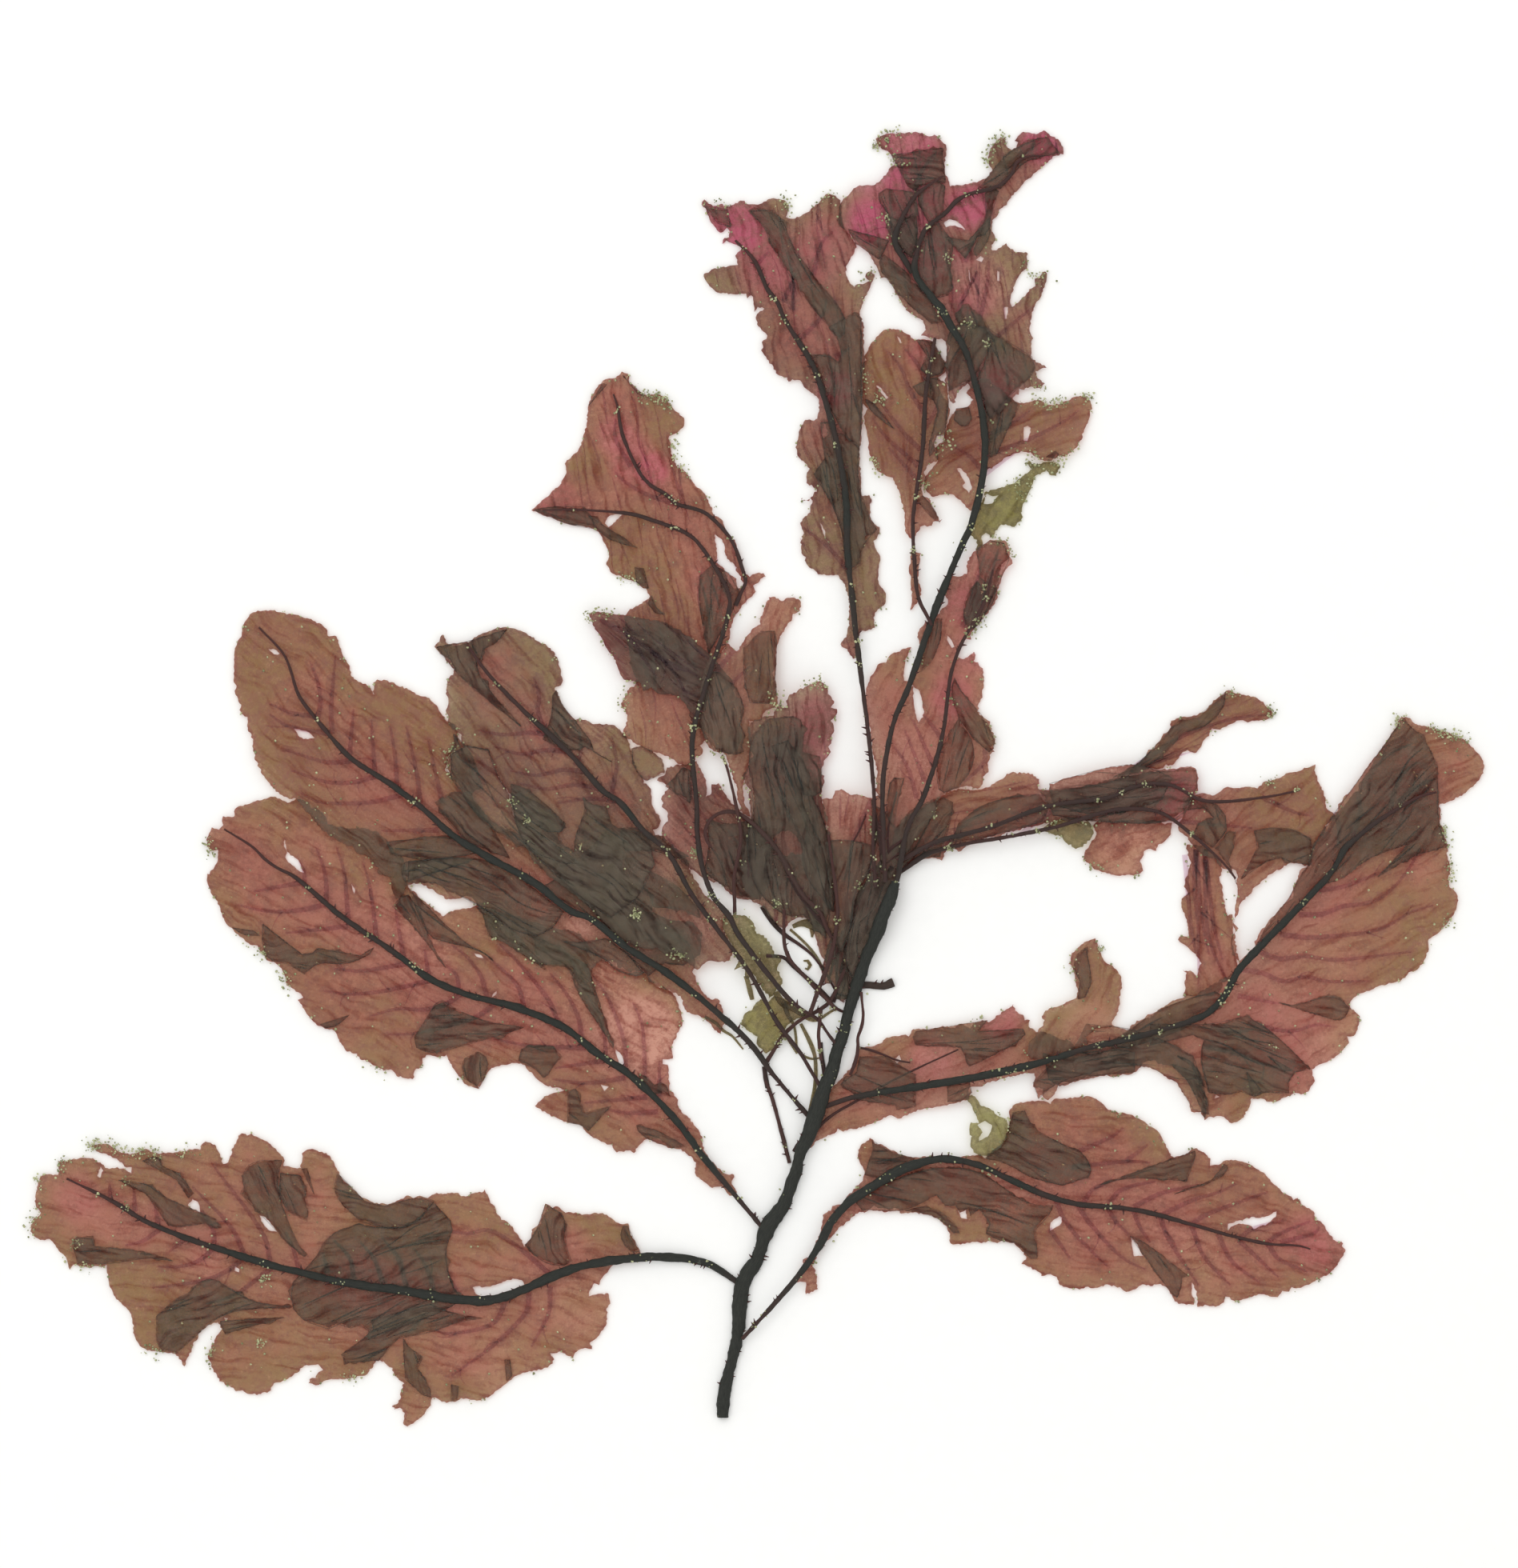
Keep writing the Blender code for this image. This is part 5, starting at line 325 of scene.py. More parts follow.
# Soft spots of colour: x, y, radius in mm as traced, and strength.
TONES = entries("""
@pink -3,103,6,0.8 3,98,8,0.35 13,99,8,0.3 15,73,4,0.5 29,119,6,0.95 22,112,4,0.6 21.5,104.5,5,1
26.5,113,4,0.9 40,107,5,0.8 54,119.5,5,0.9 39,97,4,0.5 41,91,5,0.5 -26,64,4,0.7 -19.5,58,3.8,1 -38,53,5,0.5
-23,60,5,0.5 44,40,5,0.4 40,33,5,0.6 37,15,5,0.5 42,24,5,0.5 11,10,6,0.5 13,2,4,0.5 106,-87,7,0.4
33,-52,5,0.55 46,-45,5,0.7 79,-3,6,0.7 -127,-78,5,0.25 120,0,8,0.3 31,80,3.5,0.6 -41,12,8,0.2 100,-46,10,0.3
104,-55,8,0.4 -20,-50,8,0.2 17,-6,6,0.3 30,108,7,0.6 33,98,6,0.45 -8,105,5,0.6 -8,36,5,0.4 45,74,6,0.4
@pale -22,-48,9,1.2 -28,-40,8,0.45 -62,-30,8,0.3 80,-92,10,0.25 98,-35,14,0.2 110,-50,8,0.35 30,3,8,0.4
-33,-98,8,0.25 2,32,6,0.35 -20,14,8,0.25 41,92,4,0.5 29,119,4,0.4 -26,64,4,0.3 70,-14,7,0.5 -55,-57,8,0.2
-45,-112,8,0.3 -22,-17.5,2.5,0.9 -7,34,5,0.4 -33,-28,3,0.9 -10,-27.5,3.5,0.8 -21,-32.5,2,0.9 -16,-17,3,0.6
-40,-24,2.5,0.6 -6,13,6,0.9 34,-52,5,0.3 62,-46,5,0.4 17,-7,5,0.4 43,93,6,0.6 47,-82,5,0.7 44,40,5,0.4
-32,8,5,0.4
@olive 26,60,9,0.8 24,74,7,0.4 24,66,8,0.5 36,63,5,0.5 12,44,8,0.8 21,38,8,0.9 12,54,6,0.6 46,51,8,0.8
50,97,7,0.85 53,92,5,0.7 46,95,5,0.5 101,-3,10,0.8 90,13,9,0.8 97,15,5,0.7 66,-12,6,0.2 -16,67,7,0.8
-13,30,6,0.4 -22,42,9,0.5 -95,25,12,0.4 -92,5,14,0.3 -70,18,10,0.3 -62,8,8,0.3 -115,-97,12,0.4 -26,-81,7,0.7
58,-47,7,0.6 44,-66,8,0.9 66,-42,8,0.5 80,-44,6,0.3 -32,58,5,0.6 46,117,4,0.9 22,92,5,0.7 -7,95,5,0.5
-18,-38,6,0.4 -88,-100,12,0.4 -26,7,6,0.3 20,30,6,0.8 1,-30,5,0.7 9,-28,4,0.7 0,-46,6,0.8 124,1,8,0.3
-100,-5,9,0.3 118,-5,11,0.6 17,55,9,0.6 42,80,7,0.6 120,-30,10,0.5 96,-63,8,0.4 44,117,3,0.8 -126,-74,6,0.4
-10,-7,5,0.5 -10,-20,7,0.5
@dusk 17,55,10,0.1 38,80,9,0.1 0,-14,9,0.35 -30,-12,14,0.12 20,-15,9,0.35 5,4,7,0.35 -16,22,12,0.2
62,-4,14,0.3 118,-6,11,0.3 16,12,4,0.3 -48,0,7,0.3 112,4,7,0.25 -10,-6,6,0.35 -80,-42,8,0.15 26,60,7,0.2
90,13,6,0.2 13,10,4,0.3 38,62,5,0.25 -34,52,5,0.2 -95,-16,7,0.15 39,33,5,0.15 2,82,7,0.2 -28,25,5,0.7
60,-70,9,0.15 9,-8,9,0.3 -14,-28,8,0.15 21,-25,6,1 18.5,-34,5,1 -60,-47,5,0.2 76,-55,9,0.15 23,-24,7,0.8
21,-12,6,0.4 24,-14,6,0.5 -31,36,9,0.1
""")

# How far a whole blade leans to a tone, and how streaky it is.
CASTS: dict[str, dict[str, float]] = {
    "upper_left_blade": {"olive": 0.45, "dusk": 0.14}, "middle_left_blade": {"olive": 0.1, "dusk": 0.05},
    "lower_left_blade": {"olive": 0.15}, "wing_blade": {"olive": 0.15, "dusk": 0.1, "streaky": 0.4},
    "slender_blade": {"olive": 0.4, "dusk": 0.12}, "right_mid_blade": {"olive": 0.35, "dusk": 0.14},
    "right_low_blade": {"olive": 0.1, "dusk": 0.15}, "branch_tip_blade": {"olive": 0.3, "dusk": 0.1},
    "inner_left_blade": {"olive": 0.5, "pink": -0.2, "dusk": 0.06}, "left_top_blade": {"streaky": 0.5},
    "right_top_blade": {"streaky": 0.5}, "bundle_blade": {"streaky": 0.8, "dusk": 0.1},
    "branch_blade": {"streaky": 0.6}, "sheath_blade": {"streaky": 0.6}, "centre_leaf": {"streaky": 0.6},
    "branch_horn": {"olive": 0.2, "streaky": 0.6}, "wing_right_lobe": {"olive": 0.15, "dusk": 0.1},
    "branch_fan": {"pale": 0.15}, "dark_leaf": {"dusk": 0.4, "streaky": 0.5},
    "right_blade": {"olive": 0.08}, "lower_right_blade": {"olive": 0.05, "dusk": 0.06},
    "hanging_blade": {"olive": 0.1}, "olive_scrap_upper": {"dusk": 0.35},
}

# Loose strands of the bundle that lie over the blades: x, y and width as traced, mm.
STRANDS = """
19.2,-38,1.9 20.4,-34,2 21.3,-30.5,2 22.8,-27,1.8 24.2,-23.8,1.7 25.2,-21,1.6 26.3,-18.5,1.5; 18.4,-38,0.5
17.4,-35.5,0.5 16.8,-33,0.5 17,-30,0.5 17.6,-27.5,0.5 18.4,-25.3,0.4 18.7,-23,0.4 19.8,-20.8,0.4
21.4,-19.3,0.4 23,-17.5,0.4 25,-15.5,0.4 27.5,-13.5,0.3; 17.3,-34,1.1 18.6,-31,1.1 20,-28.2,1.1 21.5,-25.2,1
22.8,-22.2,1 24.2,-19.3,1 25.6,-16.5,0.9; 17.8,-26,0.6 19.2,-22.5,0.7 21,-19.5,0.7 23,-16.5,0.7 25,-13.5,0.7
27.5,-11.5,0.5; 22.2,-5.5,0.6 22.9,-9,0.6 23.4,-12.5,0.7 23.8,-16,0.8 24.4,-19.5,0.8; 14.6,-42,0.8
15.4,-39,0.7 16.3,-36.3,0.6 17.2,-34,0.5; 13.7,-38,0.5 14.6,-34.5,0.5 15.6,-31.2,0.5 16.3,-28.5,0.4;
20.6,-7,0.3 19.6,-9.5,0.35 18.3,-12,0.35 17.7,-14.2,0.35 17.2,-16.6,0.3 16.6,-19,0.3; 21.8,-4,0.4 22.3,-7,0.4
22.6,-10,0.4 22.2,-13,0.4 21.6,-16,0.4 20.6,-18,0.3; 23.6,-5,0.5 23.3,-9,0.5 23.7,-13,0.5 24.2,-17,0.6;
26.5,-2.5,0.4 25.6,-6,0.4 24.8,-10,0.4 24.9,-14,0.4; 1.5,2,0.35 3.8,-2,0.4 6,-6,0.4 8,-10,0.5 9.6,-13.5,0.5
11.2,-17,0.5 13,-21,0.4 14.3,-24,0.3; 4.6,4,0.3 6.6,-2,0.4 8.8,-7,0.4 10.4,-11,0.4 11.8,-15,0.4 13.6,-19,0.4
14.8,-23,0.3; 9.9,-12,0.3 10.2,-16,0.35 10.3,-20,0.35 10.6,-23.5,0.3; -9.3,-11.5,0.4 -7.5,-14,0.4 -6,-17,0.4
-5.5,-20,0.3; -3,-6.8,0.5 0,-9,0.6 3,-12,0.7 5.2,-15.5,0.7 6.8,-19.5,0.7 9,-23,0.7 11.8,-26.3,0.8 14,-29,0.8;
13.8,-24.5,0.4 13,-21.5,0.4 13.6,-17.5,0.4 13.8,-13,0.35 13,-9,0.3 11.6,-5,0.3; 1.2,-24,0.9 3.2,-27,0.9
5.5,-29.3,0.8 8,-31,0.6 10.3,-32.8,0.5 12,-34.8,0.5 13.6,-37.2,0.5 14.8,-39.5,0.4; 2,-33.2,0.7 5.3,-33.6,0.7
7.2,-35.3,0.8 9.5,-37.3,0.8 12.3,-39.8,0.8 14.2,-41.8,0.7; 18,-35,0.6 19,-31.5,0.6 20.6,-27.8,0.6 22.4,-24,0.6
24,-20.5,0.5 26.3,-17,0.4; 20.6,-36.5,0.5 21.5,-33,0.5 22.3,-29.5,0.5 23.5,-26,0.5 24.4,-22.5,0.4 25,-19,0.4;
16.6,-40,0.6 17,-37,0.6 17.6,-34,0.6 18,-31,0.5 19,-27.5,0.5 20.3,-24.3,0.5 22,-21,0.4 24,-18,0.3;
15.7,-41,0.5 15.2,-37,0.5 15.5,-33,0.5 16.4,-29.5,0.4 17.3,-26.5,0.3; 1.6,-54,0.8 1.9,-56,0.9 2.3,-58,0.9;
12.2,-49.5,0.8 12.4,-52,0.8 12.8,-54.5,0.8 13,-57,0.6; 7.2,-70,0.8 8.5,-68,0.8 11,-66.2,0.7 13,-64.2,0.6
15,-62.7,0.5 18,-61,0.5 21,-59.3,0.45 25,-57,0.4 30,-54.5,0.35 38,-50.8,0.3; 19.2,-50.4,0.4 21.5,-50.9,0.5
24,-51.8,0.4 26.5,-52.8,0.4 29,-53.3,0.3; 13.8,-41.8,0.7 15.3,-43.2,0.6 16.6,-43.8,0.5
"""

# Narrow olive shreds of decayed blade in the tangle: x, y and width as traced, mm.
SHREDS = """
3.8,-40,1.2 5,-42,1.4 7,-43,1.3 9,-44.3,1.1 10.8,-45.3,0.8 12.5,-44.8,0.6 14,-43.8,0.5 15.5,-43,0.4;
5.2,-42,0.8 6.2,-44.5,0.8 7.2,-46.3,0.5 7.6,-48.5,0.5 7.8,-50.5,0.5 9,-52,0.5 10.8,-52.6,0.4 12,-52.4,0.3;
8.5,-46,0.6 9.8,-48.5,0.8 10.6,-50.3,0.8 11.2,-52.5,0.7 11.3,-55.5,0.7 11.1,-58,0.7 10.6,-60.3,0.6
10,-62.3,0.3; 6.5,-28.3,0.5 8.2,-29.8,0.5 10,-31.6,0.5 11.5,-33.6,0.6 12.6,-35.8,0.7; 7,-27.8,0.8
8.5,-27.2,1.2 10.5,-27.4,1.8 12,-28.2,1.4 13,-28.6,0.6; 10.7,-28.2,1.2 10.6,-29.8,0.4; 9,-34.2,0.3
9.8,-34.2,0.6 10.3,-35,0.7 9.8,-35.8,0.5 9.3,-35.6,0.3; 15,-41,0.8 16,-40.8,1.2 17.3,-41,0.8; -9.5,-44.7,0.6
-7.5,-45.8,0.6 -6,-47.3,0.6 -4.5,-48.2,0.5 -3.4,-49.4,0.4 -2.3,-50.8,0.3; 5.2,-47.5,0.5 6.6,-49.6,0.6
7.8,-51.6,0.4; -1.8,-37,0.9 -1.2,-39,1 -0.6,-41.5,0.8
"""

# Clusters of crumbs: x, y, radius in mm as traced, and how many.
CRUMB_CLUSTERS = """
-124.9,-67.1,2.5,45 -120.1,-68.8,2.5,40 -116,-68.8,2,40 -112.3,-69.2,2,30 -107,-69.2,2,30 -135.9,-82.5,2.5,35
-134.5,-75,2,20 -127.3,-87.3,2,25 -126,-90.8,1.5,15 -113.6,-107.9,2,20 -118,-75.7,1.5,15 -129.7,-73.6,2,20
-102,-107.2,2,20 -92,-93.8,2,25 -92.7,-105.8,2,20 -75.6,-112.3,2,20 -104,-13,2.5,35 -93.5,-32,2,20
-90,-37,2,20 -88.5,-39.5,2,15 -70.5,-54.5,2,15 -57.6,4,2.5,55 -56.5,0.5,1.2,20 -46.9,-4.8,1.5,35
-43,-7.8,1.5,25 -23.3,26.5,2.5,40 -22.2,-25.5,1.6,45 -14.8,-32.8,1.6,30 -24.4,14.7,2,30 2.8,14.7,2.5,35
-3.8,-27,2,25 -50.5,-23.6,1.2,20 -33,-13,1.5,15 -11,-14,2,45 -29,31.5,3,45 -39,60,2.5,45 -20,71,3,50
-16,72,2.5,35 -15,62,2.5,35 -13,58,2,25 -24,37,2,35 -6.4,106.9,2,20 5.6,108.3,2,25 13,109.2,2.5,30
22.3,119.4,2,25 25.5,122.1,2,30 28.3,115.7,2.5,30 44,117.5,2.5,45 45.9,121.2,2,30 24.6,105,2,25 26,101.8,2,20
36.1,97.6,2,20 52.8,95.8,2.5,35 26,89.3,2,20 20.9,94.4,2,20 39.9,85.1,2,25 43.6,81.4,2,20 12.5,74.5,2,20
19.9,74.9,2.5,30 23.6,71.2,2.5,30 55.1,71.2,3,90 63.5,72.6,2,25 51.9,60.1,2.5,45 57.9,60.1,2.5,45
49.6,53.6,2.5,35 22.3,58.3,2,30 32,54.6,2,30 36.1,62.9,2.5,35 40.3,30.1,2.5,40 43.2,35.8,2,30 31.8,22,2,20
36.5,14.9,2,20 46.5,43.8,2.5,35 11.4,19.2,3,45 88.7,16.8,2,20 98.2,13.5,2,25 95.8,1.2,2,20 109,-1,2,15
26.1,-24.9,2.5,35 55,-7.8,2,20 63.1,-17.3,2,20 119,12,2.5,35 129,9,3,60 131,8,2.5,35 130,-10,2.5,35
130.5,-17.5,2.5,40 131,-28,2,20 21.8,-28,1.5,35 20,-33.5,1.5,25 19.5,-19.5,1.5,25 23.5,-9,2,30 4,-23.6,1.8,30
21,-39,2,20 66,-31,2,20 60,-35,2,15 17,-43,1.5,20 41,-46,1.5,15 97,-50.5,2,10
"""


def path(text: str) -> np.ndarray:
    """Reads a traced path.

    Args:
        text: points "x,y" in millimetres, each with further numbers or none, with spaces between them.

    Returns:
        One row a point, moved into the row's frame.
    """
    rows = np.array([[float(n) for n in point.split(",")] for point in text.split()])
    rows[:, :2] -= TRACE_ORIGIN
    return rows


def paths(text: str) -> list[np.ndarray]:
    """Reads the paths of a table entry, with semicolons between them."""
    return [path(part) for part in text.split(";") if part.strip()]


def seeded(name: str) -> np.random.Generator:
    """A random source that depends only on a name."""
    return np.random.default_rng(zlib.crc32(name.encode()))


def unit(rows: np.ndarray) -> np.ndarray:
    """Rows brought to length 1."""
    return rows / (np.linalg.norm(rows, axis=1)[:, None] + TINY)


def averaged(values: np.ndarray, reach: int) -> np.ndarray:
    """Each value averaged with that many neighbours on both sides."""
    width = 2 * reach + 1
    return np.convolve(np.pad(values, reach, "edge"), np.ones(width) / width, "valid")


def edges_of(faces: np.ndarray) -> np.ndarray:
    """The directed edges of triangles."""
    return np.concatenate((faces[:, (0, 1)], faces[:, (1, 2)], faces[:, (2, 0)]))


def flow(points: np.ndarray, step: float, closed: bool = False, corner: float = CORNER) -> np.ndarray:
    """Draws a smooth line through points with centripetal Catmull-Rom pieces.

    Args:
        points: the points to pass through; columns after the first two ride along.
        step: the distance between the new points.
        closed: whether the line joins its own start.
        corner: cosine of the turn from which a point stays a corner.

    Returns:
        The new points, without a repeat of the first where it is closed.
    """
    gaps = np.linalg.norm(np.diff(points[:, :2], axis=0), axis=1)
    points = points[np.concatenate(([True], gaps > 0.02))]
    if closed and np.linalg.norm(points[0, :2] - points[-1, :2]) < 0.02:
        points = points[:-1]
    if closed:
        rows = np.concatenate((points[-1:], points, points[:2]))
    else:
        rows = np.concatenate((2 * points[:1] - points[1:2], points, 2 * points[-1:] - points[-2:-1]))
        rows[0, 2:], rows[-1, 2:] = points[0, 2:], points[-1, 2:]
    steps = unit(np.diff(rows[:, :2], axis=0))
    sharp = [False, *((steps[1:] * steps[:-1]).sum(axis=1) < corner), False]
    line = []
    for index, (a, b, c, d) in enumerate(zip(rows, rows[1:], rows[2:], rows[3:])):
        a = 2 * b - c if sharp[index + 1] else a
        d = 2 * c - b if sharp[index + 2] else d
        spans = [max(np.linalg.norm(q[:2] - p[:2]), 1e-6) ** 0.5 for p, q in ((a, b), (b, c), (c, d))]
        k1, k2, k3 = spans[0], spans[0] + spans[1], sum(spans)
        count = max(1, round(float(np.linalg.norm(c[:2] - b[:2])) / step))
        t = (k1 + (k2 - k1) * np.arange(count) / count)[:, None]
        p1 = (k1 - t) / k1 * a + t / k1 * b
        p2 = (k2 - t) / (k2 - k1) * b + (t - k1) / (k2 - k1) * c
        p3 = (k3 - t) / (k3 - k2) * c + (t - k2) / (k3 - k2) * d
        q1 = (k2 - t) / k2 * p1 + t / k2 * p2
        q2 = (k3 - t) / (k3 - k1) * p2 + (t - k1) / (k3 - k1) * p3
        line.append((k2 - t) / (k2 - k1) * q1 + (t - k1) / (k2 - k1) * q2)
    if not closed:
        line.append(points[-1:])
    return np.concatenate(line)


def ripple(count: int, wave: float, rng: np.random.Generator) -> np.ndarray:
    """Smooth closed noise between about -1 and 1.

    Args:
        count: how many values.
        wave: how many values one bump takes.
        rng: the random source.

    Returns:
        The values, which run on from the last to the first.
    """
    knots = max(3, round(count / wave))
    values = rng.uniform(-1, 1, knots)
    at = np.arange(count) * knots / count
    low = at.astype(int) % knots
    part = at - np.floor(at)
    part = part * part * (3 - 2 * part)
    return values[low] * (1 - part) + values[(low + 1) % knots] * part


def ragged(loop: np.ndarray, amount: float, rng: np.random.Generator) -> np.ndarray:
    """Frays a closed loop, as a torn, crenulated margin is, with a bite here and there.

    Args:
        loop: the smooth loop.
        amount: how far it strays, mm.
        rng: the random source.

    Returns:
        The frayed loop.
    """
    count = len(loop)
    if count < 12:
        return loop
    along = np.roll(loop, -1, axis=0) - np.roll(loop, 1, axis=0)
    out = unit(np.stack((along[:, 1], -along[:, 0]), axis=1))
    shift = 0.5 * ripple(count, 3.2, rng) + 0.5 * ripple(count, 8, rng) + 0.45 * rng.uniform(-1, 1, count)
    shift *= 0.55 + 0.65 * np.abs(ripple(count, 40, rng))
    shift += 0.5 * ripple(count, 26, rng)
    for at in rng.integers(0, count, count // 36):
        reach = int(rng.integers(1, 4))
        near = np.arange(-reach, reach + 1)
        shift[(at + near) % count] -= rng.uniform(0.5, 2.4) * (1 - np.abs(near) / (reach + 1))
    return loop + out * (shift * amount)[:, None]


def inside(points: np.ndarray, loops: list[np.ndarray]) -> np.ndarray:
    """Tells which points lie in a shape.

    Args:
        points: the points.
        loops: the shape's outline and holes.

    Returns:
        True for each point with an odd number of edges to its right.
    """
    a = np.concatenate(loops)
    b = np.concatenate([np.roll(loop, -1, axis=0) for loop in loops])
    rise = np.where(np.abs(b[:, 1] - a[:, 1]) < TINY, TINY, b[:, 1] - a[:, 1])
    slope = (b[:, 0] - a[:, 0]) / rise
    result = np.empty(len(points), dtype=bool)
    for start in range(0, len(points), 2000):
        px, py = points[start : start + 2000, 0, None], points[start : start + 2000, 1, None]
        crosses = ((a[:, 1] > py) != (b[:, 1] > py)) & (px < a[:, 0] + slope * (py - a[:, 1]))
        result[start : start + 2000] = crosses.sum(axis=1) % 2 == 1
    return result


def wrinkles(loops: list[np.ndarray], gap: float, rng: np.random.Generator) -> list[np.ndarray]:
    """Draws thin wrinkle lines that run the long way of a shape.

    Args:
        loops: the shape's outline and holes.
        gap: the mean distance between creases, mm.
        rng: the random source.

    Returns:
        One line a crease, each inside the shape.
    """
    centre, axis = long_axis(loops[0])
    turn = np.array((axis, (-axis[1], axis[0])))
    local = (loops[0] - centre) @ turn.T
    (left, low), (right, high) = local.min(axis=0), local.max(axis=0)
    lines = []
    for _ in range(int((high - low) / gap * max(1.0, (right - left) / 16))):
        start = rng.uniform(left, right - 2)
        run = np.arange(start, min(right, start + rng.uniform(4, 17)), 0.6)
        bend = rng.uniform(low, high) + rng.uniform(-0.12, 0.12) * (run - run[0])
        bend = bend + rng.uniform(0.1, 0.7) * np.sin(run / rng.uniform(2.0, 5.0) + rng.uniform(0, 6))
        line = np.stack((run, bend), axis=1) @ turn + centre
        kept = inside(line, loops)
        kept = np.cumprod(kept[np.argmax(kept) :]).astype(bool)
        line = line[len(line) - len(kept) :][kept]
        if len(line) > 4:
            lines.append(line)
    return lines


def long_axis(points: np.ndarray) -> tuple[np.ndarray, np.ndarray]:
    """The centre of points and the direction in which they spread most."""
    centre = points.mean(axis=0)
    spread = points - centre
    return centre, np.linalg.svd(spread.T @ spread)[0][:, 0]


def nearest(points: np.ndarray, targets: np.ndarray) -> np.ndarray:
    """Distances in the plane from each point to the nearest target point."""
    tree = kdtree.KDTree(len(targets))
    for index, (x, y) in enumerate(targets[:, :2]):
        tree.insert((x, y, 0), index)
    tree.balance()
    return np.array([tree.find((x, y, 0))[2] for x, y in points[:, :2]])


def soft_step(values: np.ndarray, low: float, high: float) -> np.ndarray:
    """0 at low and 1 at high, smooth between."""
    t = np.clip((values - low) / (high - low), 0, 1)
    return t * t * (3 - 2 * t)


class Signal:
    """A number socket whose operators add Math nodes."""

    def __init__(self, graph: "Graph", socket: Socket) -> None:
        """Keeps the socket and the graph that it is in."""
        self.graph = graph
        self.socket = socket

    def _math(self, operation: str, *values: "Signal | float") -> "Signal":
        """Adds one Math node and returns what comes out of it."""
        inputs = dict(enumerate(values))
        return Signal(self.graph, self.graph.out("ShaderNodeMath", inputs, {"operation": operation}))

    def __add__(self, other: "Signal | float") -> "Signal":
        """self + other."""
        return self._math("ADD", self, other)

    def __sub__(self, other: "Signal | float") -> "Signal":
        """self - other."""
        return self._math("SUBTRACT", self, other)

    def __rsub__(self, other: "Signal | float") -> "Signal":
        """other - self."""
        return self._math("SUBTRACT", other, self)

    def __mul__(self, other: "Signal | float") -> "Signal":
        """self * other."""
        return self._math("MULTIPLY", self, other)

    def __truediv__(self, other: "Signal | float") -> "Signal":
        """self / other."""
        return self._math("DIVIDE", self, other)

    __radd__ = __add__
    __rmul__ = __mul__

    def capped(self) -> "Signal":
        """The value kept between 0 and 1."""
        return self._math("MINIMUM", self._math("MAXIMUM", self, 0.0), 1.0)

    def ramp(self, low: float, high: float) -> "Signal":
        """0 at low and 1 at high, capped."""
        return ((self - low) / (high - low)).capped()


class Graph:
    """A node tree that is filled by name."""

    def __init__(self, tree: bpy.types.NodeTree) -> None:
        """Starts from an empty tree."""
        self.tree = tree
        tree.nodes.clear()

    def node(self, kind: str, inputs: dict | None = None, settings: dict | None = None) -> Node:
        """Adds a node.

        Args:
            kind: the node's type.
            inputs: what each socket gets, by name or place: a number, a colour, a socket or a Signal.
            settings: the node's own properties, set first.

        Returns:
            The node.
        """
        node = self.tree.nodes.new(kind)
        for key, value in (settings or {}).items():
            setattr(node, key, value)
        for key, value in (inputs or {}).items():
            socket = node.inputs[key]
            if isinstance(value, Signal):
                value = value.socket
            if isinstance(value, Socket):
                self.tree.links.new(value, socket)
            else:
                socket.default_value = value
        return node

    def out(self, kind: str, inputs: dict | None = None, settings: dict | None = None) -> Socket:
        """Adds a node as node() does, and returns its first output."""
        return self.node(kind, inputs, settings).outputs[0]

    def noise(self, where: Socket, scale: float, detail: float = 2, rough: float = 0.5) -> Signal:
        """Noise from 0 to 1.

        Args:
            where: the coordinates.
            scale: bumps a metre.
            detail: how many finer layers.
            rough: how strong the finer layers are.

        Returns:
            The noise.
        """
        inputs = {"Vector": where, "Scale": scale, "Detail": detail, "Roughness": rough}
        return Signal(self, self.out("ShaderNodeTexNoise", inputs))

    def attribute(self, name: str) -> Signal:
        """A number stored on the mesh."""
        return Signal(self, self.node("ShaderNodeAttribute", {}, {"attribute_name": name}).outputs["Fac"])

    def blend(self, share: Signal, first: object, second: object) -> Socket:
        """A colour between two colours."""
        return self.node("ShaderNodeMix", {0: share, 6: first, 7: second}, {"data_type": "RGBA"}).outputs[2]

    def mixed(self, share: "Signal | float", first: Socket, second: Socket) -> Socket:
        """A shader between two shaders."""
        return self.out("ShaderNodeMixShader", {0: share, 1: first, 2: second})


class Skin(Graph):
    """A new material's node tree."""

    def __init__(self, name: str) -> None:
        """Starts the material and gives its Object coordinates."""
        self.made = bpy.data.materials.new(name)
        self.made.use_nodes = True
        super().__init__(self.made.node_tree)
        self.where = self.node("ShaderNodeTexCoord").outputs["Object"]

    def bump(self, strength: float, depth: float, height: Signal) -> Socket:
        """The normals of a relief, whose depth is in metres."""
        return self.out("ShaderNodeBump", {"Strength": strength, "Distance": depth, "Height": height})

    def film(self, seen: tuple[float, ...]) -> Socket:
        """A layer that tints the light that goes through it."""
        return self.out("ShaderNodeBsdfTransparent", {"Color": seen})

    def matter(self, colour: object, rough: "Signal | float", **more: object) -> Socket:
        """A solid surface; more names further inputs, with _ for each space."""
        inputs = {"Base Color": colour, "Roughness": rough}
        inputs.update({key.replace("_", " "): value for key, value in more.items()})
        return self.out("ShaderNodeBsdfPrincipled", inputs)

    def material(self, surface: Socket) -> bpy.types.Material:
        """Ends the tree in a surface and returns its material."""
        self.node("ShaderNodeOutputMaterial", {"Surface": surface})
        return self.made


def linear(red: int, green: int, blue: int) -> tuple[float, float, float]:
    """A colour as seen on a screen, 0 to 255, as linear light."""
    seen = [v / 255 for v in (red, green, blue)]
    return tuple(((v + 0.055) / 1.055) ** 2.4 if v > 0.04 else v / 12.92 for v in seen)


